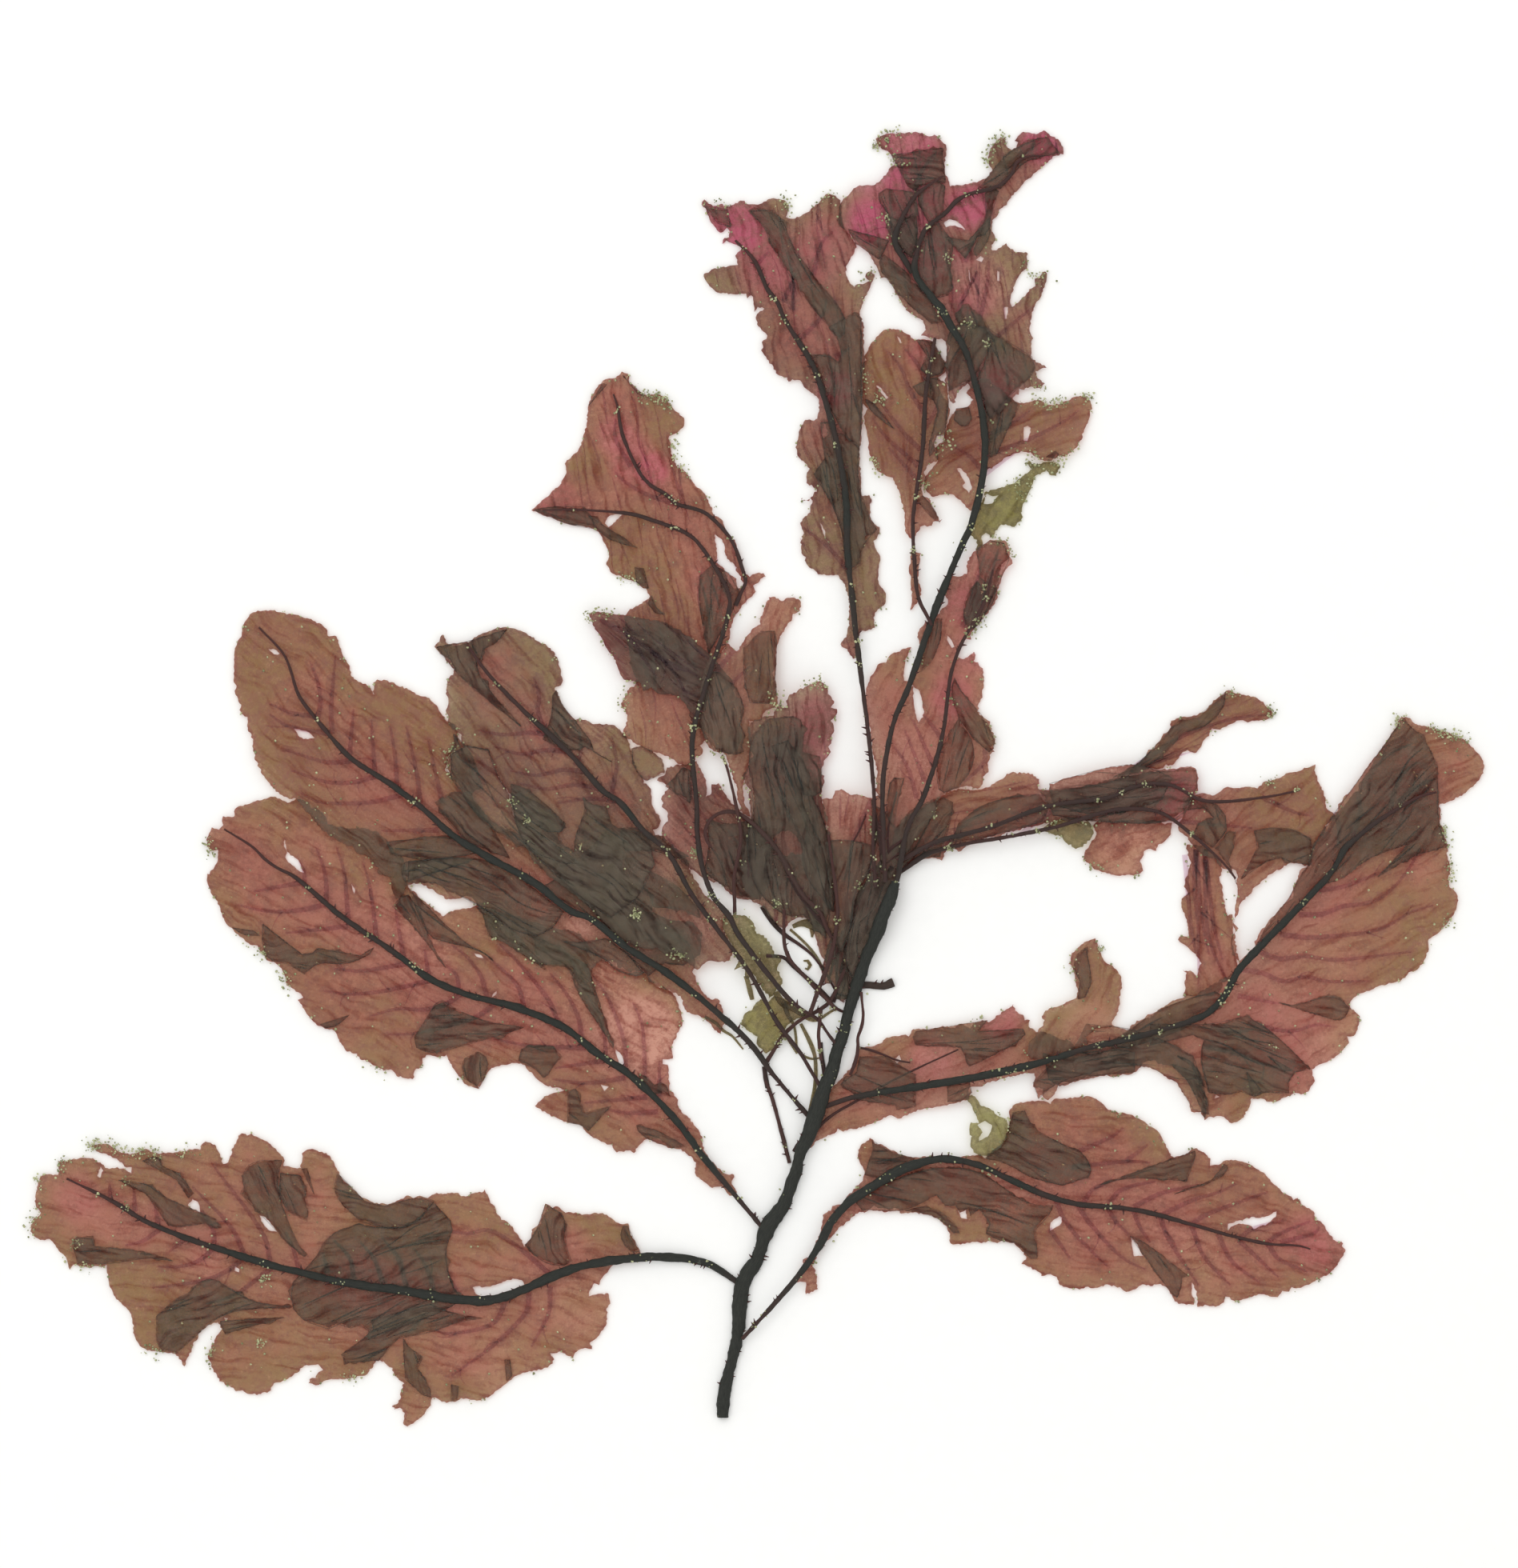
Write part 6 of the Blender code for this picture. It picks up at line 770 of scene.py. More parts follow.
def paint(seen: tuple[int, int, int]) -> tuple[float, float, float, float]:
    """A colour as seen on a screen, for a colour socket."""
    return (*linear(*seen), 1)


def scaled(colour: tuple[float, float, float], share: float) -> tuple[float, float, float, float]:
    """A share of a linear colour, for a colour socket."""
    return (*[v * share for v in colour], 1)


@dataclass(frozen=True)
class MembraneFinish:
    """A wet-pressed membrane: light goes down through it, off the table and back up."""

    name: str
    rose: tuple[int, int, int]
    olive: tuple[int, int, int]
    pink: tuple[int, int, int]
    pale: tuple[int, int, int]
    dusk: tuple[int, int, int]
    body: tuple[float, float, float] = (0.302, 0.284, 0.226)
    green: tuple[float, float, float] = (0.305, 0.308, 0.234)
    patches: ClassVar[tuple[float, ...]] = (75, 2, 0.6)  # bumps a metre, finer layers and their strength
    mottles: ClassVar[tuple[float, ...]] = (430, 3, 0.7)
    grains: ClassVar[tuple[float, ...]] = (1500, 2, 0.75)
    pimples: ClassVar[tuple[float, ...]] = (600, 1, 0.6)

    def tint(self, seen: tuple[int, int, int]) -> tuple[float, float, float, float]:
        """The tint of one face of a sheet.

        Args:
            seen: the colour of one layer over white paper.

        Returns:
            The colour that, crossed four times with the sheet's own matter, gives that.
        """
        light = [max(v - r, 0.004) ** 0.25 / (1 - BODY_SHARE) for v, r in zip(linear(*seen), REFLECTED)]
        return (*[min(v, 1.0) for v in light], 1.0)

    def shares(self, graph: Skin) -> tuple[tuple[Signal, ...], Signal]:
        """Works out how much of each tone there is at a place.

        Args:
            graph: the material's graph.

        Returns:
            The shares of olive, pink, pale and dusk, and a noise field that paints the body colour lighter
            and darker, as painted relief shade.
        """
        kinds = (self.patches, self.mottles, self.grains)
        patch, mottle, grain = (graph.noise(graph.where, *kind) for kind in kinds)
        bent = graph.attribute("across") + patch * 7.0
        lengthwise = graph.out("ShaderNodeCombineXYZ", {0: graph.attribute("along") * 0.1, 1: bent, 2: 0.0})
        streak = graph.noise(lengthwise, 0.9, 2, 0.65).ramp(0.48, 0.72)
        rim, rib, vein = (graph.attribute(name) for name in ("rim", "rib", "vein"))
        near_rim = 1 - rim.ramp(0.5, 6.0)
        near_rib = 1 - rib.ramp(0.5, 9.0)
        near_vein = 1 - vein.ramp(0.1, 1.3)
        olive = graph.attribute("olive") + near_rim * 0.5 + patch.ramp(0.40, 0.72) * 0.7 - near_rib * 0.45
        olive = (olive + (mottle - 0.5) * 1.5).capped()
        pink = (graph.attribute("pink") + near_rib * 0.08 + near_vein * 0.15 + (mottle - 0.5) * 0.4).capped()
        pale = (graph.attribute("pale") + (1 - grain).ramp(0.60, 0.72) * 0.6 + (mottle - 0.5) * 0.25).capped()
        dusk = graph.attribute("dusk") + (grain - 0.5) * 2.0 + (mottle - 0.5) * 1.8 + near_vein * 0.25
        dusk = (dusk + (1 - rim.ramp(0.0, 0.7)) * 0.5 + streak * graph.attribute("streaky") + 0.08).capped()
        return (olive, pink, pale, dusk), mottle * 0.6 + (1 - streak) * 0.25 + grain * 0.35

    def material(self) -> bpy.types.Material:
        """Builds the material: five tints mixed by place, and the sheet's own matter over them, whose colour
        carries painted relief shade.
        """
        graph = Skin(self.name)
        shares, painted_relief_shade = self.shares(graph)
        tones = (self.rose, self.olive, self.pink, self.pale, self.dusk)
        through, *others = [graph.film(self.tint(seen)) for seen in tones]
        for share, other in zip(shares, others):
            through = graph.mixed(share, through, other)
        greened = shares[0] * 0.8
        # Painted shade and painted highlight: a shaded (0.3) and a lit (1.75) copy of the sheet's own colour,
        # mixed by a noise field instead of real relief.
        dark, light = [graph.blend(greened, scaled(self.body, k), scaled(self.green, k)) for k in (0.3, 1.75)]
        colour = graph.blend(painted_relief_shade.ramp(0.45, 0.90), dark, light)
        bump = graph.bump(0.6, 0.0004, graph.noise(graph.where, *self.pimples))
        matter = graph.matter(colour, 0.55, Specular_IOR_Level=0.4, Normal=bump)
        return graph.material(graph.mixed(BODY_SHARE, through, matter))


@dataclass(frozen=True)
class VeinFinish:
    """A vein, or a crease line of painted shade: a darker line that still lets light through, redder for a
    vein.
    """

    name: str
    kept: tuple[float, float, float]
    body: tuple[float, float, float]
    share: float

    def material(self) -> bpy.types.Material:
        """Builds the material; kept is the share of light that one line leaves of what is under it."""
        graph = Skin(self.name)
        broken = graph.noise(graph.where, 700, 3, 0.6).ramp(0.3, 0.7)
        strong, faint = [
            graph.film((*[min(1.0, k**power / (1 - self.share)) for k in self.kept], 1.0))
            for power in (0.25, 0.1)
        ]
        matter = graph.matter(graph.blend(broken, scaled(self.body, 0.6), scaled(self.body, 1)), 0.5)
        line = graph.mixed(broken * 0.5 + 0.5, faint, strong)
        return graph.material(graph.mixed(self.share, line, matter))


@dataclass(frozen=True)
class StemFinish:
    """A dark leathery stem with long streaks, pale scuffs and a red or green cast."""

    name: str
    dark: tuple[int, int, int]
    streak: tuple[int, int, int]
    scuff: tuple[int, int, int]
    scuffed: float
    red: tuple[int, int, int] = (78, 42, 40)

    def material(self) -> bpy.types.Material:
        """Builds the material; its streaks follow the along and around values of the stem."""
        graph = Skin(self.name)
        along, around = graph.attribute("along"), graph.attribute("around")
        lengthwise = graph.out("ShaderNodeCombineXYZ", {0: along * 0.35, 1: around * 9.0, 2: 0.0})
        streak = graph.noise(lengthwise, 2.2, 4, 0.65)
        patch = graph.noise(graph.where, 260, 3, 0.6)
        grain = graph.noise(graph.where, 2600, 2, 0.6)
        streaked = (streak * 1.1 + grain * 0.3).ramp(0.45, 1.0)
        colour = graph.blend(streaked, paint(self.dark), paint(self.streak))
        slender = 1 - (graph.attribute("width") * 1000.0 + (patch - 0.5) * 0.5).ramp(0.45, 1.25)
        colour = graph.blend(slender * 0.75, colour, paint(self.red))
        scuff = (patch * 0.9 + streak * 0.5 + grain * 0.35).ramp(1.22 - self.scuffed, 1.42 - self.scuffed)
        colour = graph.blend(scuff, colour, paint(self.scuff))
        bump = graph.bump(0.6, 0.0003, streak * 1.0 + grain * 0.35 + patch * 0.5)
        return graph.material(graph.matter(colour, 0.5 + grain * 0.3, Specular_IOR_Level=0.3, Normal=bump))


@dataclass(frozen=True)
class GritFinish:
    """Grey-green crumbs, each paler or more olive than its neighbour."""

    name: str
    pale: tuple[int, int, int]
    dull: tuple[int, int, int]

    def material(self) -> bpy.types.Material:
        """Builds the material."""
        graph = Skin(self.name)
        colour = graph.blend(
            graph.noise(graph.where, 900, 2, 0.5).ramp(0.35, 0.65), paint(self.dull), paint(self.pale)
        )
        bump = graph.bump(0.4, 0.0001, graph.noise(graph.where, 5000))
        return graph.material(graph.matter(colour, 0.8, Normal=bump))


class Slot(Enum):
    """The record's material slots."""

    BLADE = "blade"
    DUSKY = "dusky_blade"
    DECAYED = "decayed_blade"
    STIPE = "stipe"
    THIN = "thin_stem"


class Finishes:
    """Every material of the plant, built once."""

    def __init__(self) -> None:
        """Builds the materials."""
        self.membrane = {
            Slot.BLADE: MembraneFinish(
                "rose_membrane",
                (160, 109, 94),
                (136, 108, 79),
                (178, 98, 108),
                (194, 145, 129),
                (107, 70, 62),
            ).material(),
            Slot.DUSKY: MembraneFinish(
                "dusky_membrane",
                (148, 100, 88),
                (129, 110, 83),
                (178, 87, 113),
                (175, 133, 117),
                (91, 65, 58),
            ).material(),
            Slot.DECAYED: MembraneFinish(
                "olive_membrane",
                (144, 122, 90),
                (136, 130, 84),
                (150, 98, 86),
                (184, 172, 126),
                (84, 78, 55),
            ).material(),
        }
        self.vein = VeinFinish("vein", (0.67, 0.455, 0.575), (0.05, 0.03, 0.03), 0.06).material()
        # Crease lines are painted shade: neutral grey lines that darken the edges and wrinkles of folds,
        # partly standing for their extra tissue.
        self.crease = VeinFinish("crease", (0.42, 0.42, 0.44), (0.03, 0.035, 0.03), 0.25).material()
        self.stem = {
            Slot.STIPE: StemFinish("stipe_skin", (24, 26, 23), (50, 52, 46), (104, 108, 96), 0.10),
            Slot.THIN: StemFinish("thin_stem_skin", (44, 34, 30), (72, 56, 48), (112, 110, 92), 0.08),
        }
        self.stem = {slot: finish.material() for slot, finish in self.stem.items()}
        self.grit = GritFinish("crumb", (190, 192, 150), (118, 122, 84)).material()


def linked(name: str, data: bpy.types.ID) -> bpy.types.Object:
    """Makes an object of a mesh, light or camera and puts it in the scene."""
    piece = bpy.data.objects.new(name, data)
    bpy.context.scene.collection.objects.link(piece)
    return piece


class CadNode:
    """A CAD node's merged mesh, in millimetres: its margins from above, and the height of its upper face."""

    def __init__(self, name: str) -> None:
        """Merges the loose triangles of the named node."""
        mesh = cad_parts[name].data
        mesh.calc_loop_triangles()
        corners = np.empty(len(mesh.vertices) * 3)
        mesh.vertices.foreach_get("co", corners)
        faces = np.empty(len(mesh.loop_triangles) * 3, dtype=np.int32)
        mesh.loop_triangles.foreach_get("vertices", faces)
        corners = corners.reshape(-1, 3)
        microns = np.round(corners * 1e6).astype(np.int64)
        _, first, merged = np.unique(microns, axis=0, return_index=True, return_inverse=True)
        self.points = corners[first] / MM
        self.faces = merged.reshape(-1)[faces.reshape(-1, 3)]
        self.tree = BVHTree.FromPolygons(self.points.tolist(), self.faces.tolist())

    def margins(self) -> list[np.ndarray]:
        """Finds the outline and the holes of the upper face.

        Returns:
            One loop each, the outline's first, with the face on the left of each edge.
        """
        a, b, c = (self.points[self.faces[:, k]] for k in range(3))
        up = self.faces[np.cross(b - a, c - a)[:, 2] > 0.1 * np.linalg.norm(np.cross(b - a, c - a), axis=1)]
        edges = {(int(f[k]), int(f[k - 2])) for f in up for k in range(3)}
        follow = {start: end for start, end in edges if (end, start) not in edges}
        loops = []
        while follow:
            at, ring = min(follow), []
            while at in follow:
                ring.append(at)
                at = follow.pop(at)
            loops.append(self.points[ring, :2])
        return sorted(loops, key=len, reverse=True)

    def top(self, points: np.ndarray) -> np.ndarray:
        """Heights of the node's upper face at points, or at the nearest place of it outside, mm."""
        return upper(self.tree, points)


def upper(tree: BVHTree, points: np.ndarray) -> np.ndarray:
    """Looks down on a surface.

    Args:
        tree: the surface.
        points: places in the plane.

    Returns:
        The height under each place, or that of the nearest place where nothing is under it.
    """
    heights = np.empty(len(points))
    for index, (x, y) in enumerate(points[:, :2]):
        hit = tree.ray_cast((x, y, SKY), DOWN)[0]
        if hit is None:
            hit = tree.find_nearest((x, y, 1.0))[0]
        heights[index] = hit.z
    return heights


@dataclass
class Sheet:
    """A thin closed membrane inside an outline: a fine mesh, puckered, with frayed margins."""

    name: str
    loops: list[np.ndarray]
    height: Callable[[np.ndarray], np.ndarray]  # the height of what it lies on, mm
    ribs: np.ndarray | None = None  # points of the stems near it
    lift: float = 0.0  # further height over what it lies on, mm
    pucker: float = 0.12  # height of its hills, mm
    fray: float = 0.4  # how far its margins stray, mm
    spacing: float = BLADE_SPACING
    corner: float = CORNER
    veins: np.ndarray | None = None  # points of the side veins on it
    casts: dict[str, float] = field(default_factory=dict)  # how much of each tone it has all over
    tones: ClassVar[dict[str, np.ndarray]] = {}

    def mesh_points(self, rng: np.random.Generator) -> tuple[list[np.ndarray], np.ndarray]:
        """Frays the loops and fills the shape.

        Args:
            rng: the sheet's random source.

        Returns:
            The frayed loops, and the points inside them.
        """
        loops = []
        for loop in self.loops:
            fine = flow(loop, RIM_STEP, True, self.corner)
            loops.append(ragged(fine, self.fray if len(fine) > 30 else self.fray * 0.5, rng))
        low, high = loops[0].min(axis=0), loops[0].max(axis=0)
        gap = self.spacing
        rows = np.arange(low[1], high[1], gap * 0.866)
        grid = []
        for index, y in enumerate(rows):
            xs = np.arange(low[0] + (index % 2) * gap / 2, high[0], gap)
            grid.append(np.stack((xs, np.full(len(xs), y)), axis=1))
        points = np.concatenate(grid)
        points = points[inside(points, loops)] if len(points) else points
        points = points + rng.uniform(-0.22, 0.22, points.shape) * gap
        if len(points):
            points = points[nearest(points, np.concatenate(loops)) > 0.55 * gap]
        return loops, points

    def tone(self, kind: str, points: np.ndarray) -> np.ndarray:
        """Sums the soft spots of one tone, such as pink, at points."""
        total = np.zeros(len(points))
        for x, y, radius, strength in self.tones[kind]:
            far = np.hypot(points[:, 0] - x, points[:, 1] - y)
            total = np.maximum(total, strength * (1 - soft_step(far, radius * 0.45, radius * 1.25)))
        return total + self.casts.get(kind, 0.0)

    def build(self) -> tuple[bpy.types.Object, BVHTree]:
        """Builds the closed membrane.

        Returns:
            Its object, and a tree of its upper face in millimetres for what lies on it.
        """
        rng = seeded(self.name)
        loops, filling = self.mesh_points(rng)
        plane, faces = self.triangles(loops, filling)
        rim = nearest(plane, np.concatenate(loops))
        z = self.relaxed(self.height(plane), faces)
        z += self.lift + self.puckers(plane, rng) * soft_step(rim, 0, 2.5)
        z = np.maximum(z, MEMBRANE + 0.02)
        top = np.column_stack((plane, z))
        count = len(plane)
        known = set(map(tuple, edges_of(faces).tolist()))
        open_edges = [(p, q) for p, q in known if (q, p) not in known]
        walls = [(q, p, p + count, q + count) for p, q in sorted(open_edges)]
        bottom = top - (0, 0, MEMBRANE)
        solid = np.concatenate((top, bottom)) * MM
        polygons = faces.tolist() + (faces[:, ::-1] + count).tolist() + walls
        mesh = bpy.data.meshes.new(self.name)
        mesh.from_pydata(solid.tolist(), [], polygons)
        smooth = np.ones(len(polygons), dtype=bool)
        smooth[len(faces) * 2 :] = False
        mesh.polygons.foreach_set("use_smooth", smooth)
        for key, value in self.marks(plane, rim).items():
            layer = mesh.attributes.new(key, "FLOAT", "POINT")
            layer.data.foreach_set("value", np.tile(value, 2).astype(np.float32))
        return linked(self.name, mesh), BVHTree.FromPolygons(top.tolist(), faces.tolist())

    def triangles(self, loops: list[np.ndarray], filling: np.ndarray) -> tuple[np.ndarray, np.ndarray]:
        """Joins the margins and the points inside them into triangles that face up.

        Args:
            loops: the frayed outline and holes.
            filling: the points inside them.

        Returns:
            The points in the plane, and the triangles.
        """
        ends = np.cumsum([len(loop) for loop in loops])
        edges = []
        for start, end in zip((0, *ends), ends):
            edges += [(k, k + 1 if k + 1 < end else start) for k in range(start, end)]
        flat = np.concatenate((*loops, filling))
        found = delaunay_2d_cdt([Vector(p) for p in flat], edges, [], 0, 1e-6)
        plane = np.array([tuple(v) for v in found[0]])
        faces = np.array([f for f in found[2] if len(f) == 3])
        faces = faces[inside(plane[faces].mean(axis=1), loops)]
        used = np.unique(faces)
        renumber = np.zeros(len(plane), dtype=int)
        renumber[used] = np.arange(len(used))
        plane, faces = plane[used], renumber[faces]
        a, b, c = (plane[faces[:, k]] for k in range(3))
        turned = (b[:, 0] - a[:, 0]) * (c[:, 1] - a[:, 1]) < (b[:, 1] - a[:, 1]) * (c[:, 0] - a[:, 0])
        faces[turned] = faces[turned][:, ::-1]
        return plane, faces

    def marks(self, plane: np.ndarray, rim: np.ndarray) -> dict[str, np.ndarray]:
        """Collects what the material reads at each point.

        Args:
            plane: the points in the plane.
            rim: their distances from the margin, mm.

        Returns:
            The values by name: distances, places along and across the sheet, and tones.
        """
        axis = long_axis(plane)[1]
        values = {"rim": rim, "along": plane @ axis, "across": plane @ (-axis[1], axis[0])}
        for key, lines in (("rib", self.ribs), ("vein", self.veins)):
            values[key] = np.full(len(plane), FAR) if lines is None else nearest(plane, lines)
        values["streaky"] = np.full(len(plane), self.casts.get("streaky", 0.3))
        values.update({kind: self.tone(kind, plane) for kind in self.tones})
        return values

    def relaxed(self, z: np.ndarray, faces: np.ndarray) -> np.ndarray:
        """Evens out the heights, so that the sheet drapes over steps instead of breaking at them."""
        pairs = edges_of(faces)
        both = np.concatenate((pairs, pairs[:, ::-1]))
        degree = np.bincount(both[:, 0], minlength=len(z)).clip(1)
        for _ in range(12):
            z = 0.45 * z + 0.55 * np.bincount(both[:, 0], z[both[:, 1]], minlength=len(z)) / degree
        return z

    def puckers(self, points: np.ndarray, rng: np.random.Generator) -> np.ndarray:
        """Small smooth hills and hollows, about 4 mm across, mm."""
        height = np.zeros(len(points))
        for wave, share in ((7.5, 0.6), (4.3, 0.5), (2.6, 0.3)):
            for _ in range(3):
                angle, phase = rng.uniform(0, 2 * math.pi, 2)
                x, y = points[:, 0], points[:, 1]
                bend = 0.8 * np.sin(y / wave * 1.7 + phase) + 0.8 * np.cos(x / wave * 1.3 - phase)
                along = x * math.cos(angle) + y * math.sin(angle)
                height += share / 3 * np.sin(2 * math.pi * along / wave + bend + phase)
        return height * self.pucker


class Growth(Graph):
    """A new geometry tree, whose result ends up as one real, smooth mesh with one material."""

    def __init__(self, name: str, inputs: dict[str, str]) -> None:
        """Makes the tree; inputs gives the kind of each socket besides the geometry."""
        tree = bpy.data.node_groups.new(name, "GeometryNodeTree")
        for label, kind in {"Geometry": "Geometry", **inputs}.items():
            tree.interface.new_socket(label, in_out="INPUT", socket_type="NodeSocket" + kind)
        tree.interface.new_socket("Geometry", in_out="OUTPUT", socket_type="NodeSocketGeometry")
        super().__init__(tree)
        self.given = self.node("NodeGroupInput").outputs

    def number(self, label: str) -> Signal:
        """One of the tree's numbers."""
        return Signal(self, self.given[label])

    def named(self, name: str, kind: str = "FLOAT") -> Socket:
        """A value stored on the points."""
        return self.out("GeometryNodeInputNamedAttribute", {"Name": name}, {"data_type": kind})

    def stored(self, what: Socket, name: str, value: Signal) -> Socket:
        """Stores a number on points."""
        inputs = {"Geometry": what, "Name": name, "Value": value}
        return self.out("GeometryNodeStoreNamedAttribute", inputs, {"data_type": "FLOAT", "domain": "POINT"})

    def swollen(self, mesh: Socket, reach: Signal) -> Socket:
        """Moves a surface along its normals."""
        inputs = {0: self.out("GeometryNodeInputNormal"), "Scale": reach}
        offset = self.out("ShaderNodeVectorMath", inputs, {"operation": "SCALE"})
        return self.out("GeometryNodeSetPosition", {"Geometry": mesh, "Offset": offset})

    def result(self, mesh: Socket) -> bpy.types.GeometryNodeTree:
        """Smooths the mesh, makes it real, gives it its material and returns the tree."""
        mesh = self.out("GeometryNodeSetShadeSmooth", {"Geometry": mesh})
        mesh = self.out("GeometryNodeRealizeInstances", {"Geometry": mesh})
        mesh = self.out("GeometryNodeSetMaterial", {"Geometry": mesh, "Material": self.given["Skin"]})
        self.node("NodeGroupOutput", {"Geometry": mesh})
        return self.tree


@dataclass
class Cords:
    """Round or flat cords along paths: stems, veins and grey crease lines of painted shade, swept by Geometry
    Nodes.
    """

    name: str
    lines: list[np.ndarray]
    material: bpy.types.Material
    flatness: float = 0.62  # height as a share of the width
    rough: float = 0.0  # height of the skin's bumps as a share of the width
    sides: int = 10

    def tree(self) -> bpy.types.GeometryNodeTree:
        """Builds the node tree: edges to curves, a flattened ring along them, a rough skin."""
        inputs = {"Flatness": "Float", "Roughness": "Float", "Sides": "Int", "Skin": "Material"}
        graph = Growth("sweep_" + self.name, inputs)
        width = Signal(graph, graph.named("width"))
        curve = graph.out("GeometryNodeMeshToCurve", {"Mesh": graph.given["Geometry"]})
        length = graph.node("GeometryNodeSplineParameter").outputs["Length"]
        curve = graph.stored(curve, "along", Signal(graph, length) * (1 / MM))
        curve = graph.out("GeometryNodeSetCurveRadius", {"Curve": curve, "Radius": width * 0.5})
        curve = graph.out("GeometryNodeSetCurveNormal", {"Curve": curve}, {"mode": "Z_UP"})
        inputs = {"Resolution": graph.given["Sides"], "Radius": 1.0}
        ring = graph.out("GeometryNodeCurvePrimitiveCircle", inputs, {"mode": "RADIUS"})
        turn = Signal(graph, graph.out("GeometryNodeSplineParameter"))
        ring = graph.stored(ring, "around", turn * (1 - turn) * 4.0)
        scale = graph.out("ShaderNodeCombineXYZ", {0: 1.0, 1: graph.given["Flatness"], 2: 1.0})
        ring = graph.out("GeometryNodeTransform", {"Geometry": ring, "Scale": scale})
        inputs = {"Curve": curve, "Profile Curve": ring, "Fill Caps": True, "Scale": width * 0.5}
        mesh = graph.out("GeometryNodeCurveToMesh", inputs)
        place = graph.out("GeometryNodeInputPosition")
        bumps = graph.noise(place, 900, 3, 0.6) - 0.5 + (graph.noise(place, 330, 2, 0.5) - 0.5) * 1.4
        return graph.result(graph.swollen(mesh, bumps * graph.number("Roughness") * width))

    def build(self) -> bpy.types.Object:
        """Sweeps the cords and returns their one mesh object."""
        points, edges, widths = [], [], []
        for line in self.lines:
            start = len(points)
            points += (line[:, :3] * MM).tolist()
            widths += (line[:, 3] * MM).tolist()
            edges += [(k, k + 1) for k in range(start, start + len(line) - 1)]
        mesh = bpy.data.meshes.new(self.name)
        mesh.from_pydata(points, edges, [])
        mesh.attributes.new("width", "FLOAT", "POINT").data.foreach_set("value", widths)
        values = {"Flatness": self.flatness, "Roughness": self.rough}
        values.update({"Sides": self.sides, "Skin": self.material})
        return grown(self.name, mesh, self.tree(), values)


@dataclass
class Scatter:
    """Hundreds of small bodies, such as crumbs or spines, put on points by Geometry Nodes."""

    class Body(Enum):
        """What is put on each point."""

        CRUMB = "crumb"
        SPINE = "spine"

    name: str
    points: np.ndarray
    body: Body
    material: bpy.types.Material
    size: float  # radius of a crumb, or half a spine's height, mm
    aims: np.ndarray | None = None  # the way that each spine points
    seed: int = 7
    smallest: float = 0.45  # smallest and largest body, in sizes
    largest: float = 1.5
    lumps: float = 2.2  # height of a crumb's lumps, in sizes

    def tree(self) -> bpy.types.GeometryNodeTree:
        """Builds the node tree: one small body on each point, turned and scaled, then made real."""
        graph = Growth("scatter_" + self.name, {"Size": "Float", "Seed": "Int", "Skin": "Material"})
        seed = graph.given["Seed"]
        inputs = {2: self.smallest, 3: self.largest, "Seed": seed}
        varied = graph.node("FunctionNodeRandomValue", inputs, {"data_type": "FLOAT"}).outputs[1]
        if self.body is Scatter.Body.CRUMB:
            body = graph.out("GeometryNodeMeshIcoSphere", {"Radius": 1.0, "Subdivisions": 1})
            inputs = {0: (0, 0, 0), 1: (6.28, 6.28, 6.28), "Seed": seed}
            turn = graph.out("FunctionNodeRandomValue", inputs, {"data_type": "FLOAT_VECTOR"})
        else:
            inputs = {"Vertices": 5, "Radius Top": 0.12, "Radius Bottom": 0.55, "Depth": 2.0}
            body = graph.out("GeometryNodeMeshCone", inputs)
            inputs = {"Vector": graph.named("aim", "FLOAT_VECTOR")}
            turn = graph.out("FunctionNodeAlignRotationToVector", inputs, {"axis": "Z"})
        scale = Signal(graph, varied) * graph.number("Size")
        inputs = {"Points": graph.given["Geometry"], "Instance": body, "Rotation": turn, "Scale": scale}
        points = graph.out("GeometryNodeInstanceOnPoints", inputs)
        mesh = graph.out("GeometryNodeRealizeInstances", {"Geometry": points})
        if self.body is Scatter.Body.CRUMB:
            bumps = graph.noise(graph.out("GeometryNodeInputPosition"), 4200, 1) - 0.5
            mesh = graph.swollen(mesh, bumps * graph.number("Size") * self.lumps)
        return graph.result(mesh)

    def build(self) -> bpy.types.Object:
        """Scatters the bodies and returns their one mesh object."""
        mesh = bpy.data.meshes.new(self.name)
        mesh.from_pydata((self.points * MM).tolist(), [], [])
        if self.aims is not None:
            layer = mesh.attributes.new("aim", "FLOAT_VECTOR", "POINT")
            layer.data.foreach_set("vector", self.aims.astype(np.float32).ravel())
        values = {"Size": self.size * MM, "Seed": self.seed, "Skin": self.material}
        return grown(self.name, mesh, self.tree(), values)


def grown(name: str, mesh: bpy.types.Mesh, tree: bpy.types.NodeTree, values: dict) -> bpy.types.Object:
    """Runs a geometry tree on a mesh and keeps only what it makes.

    Args:
        name: the piece's name.
        mesh: the points or edges that the tree starts from.
        tree: the tree.
        values: its inputs, by their labels.

    Returns:
        A plain mesh object without modifiers.
    """
    seedling = linked(name + "_seedling", mesh)
    modifier = seedling.modifiers.new("grow", "NODES")
    modifier.node_group = tree
    for item in tree.interface.items_tree:
        if item.in_out == "INPUT" and item.name in values:
            modifier[item.identifier] = values[item.name]
    depsgraph = bpy.context.evaluated_depsgraph_get()
    result = bpy.data.meshes.new_from_object(seedling.evaluated_get(depsgraph))
    result.name = name
    bpy.data.objects.remove(seedling)
    return linked(name, result)


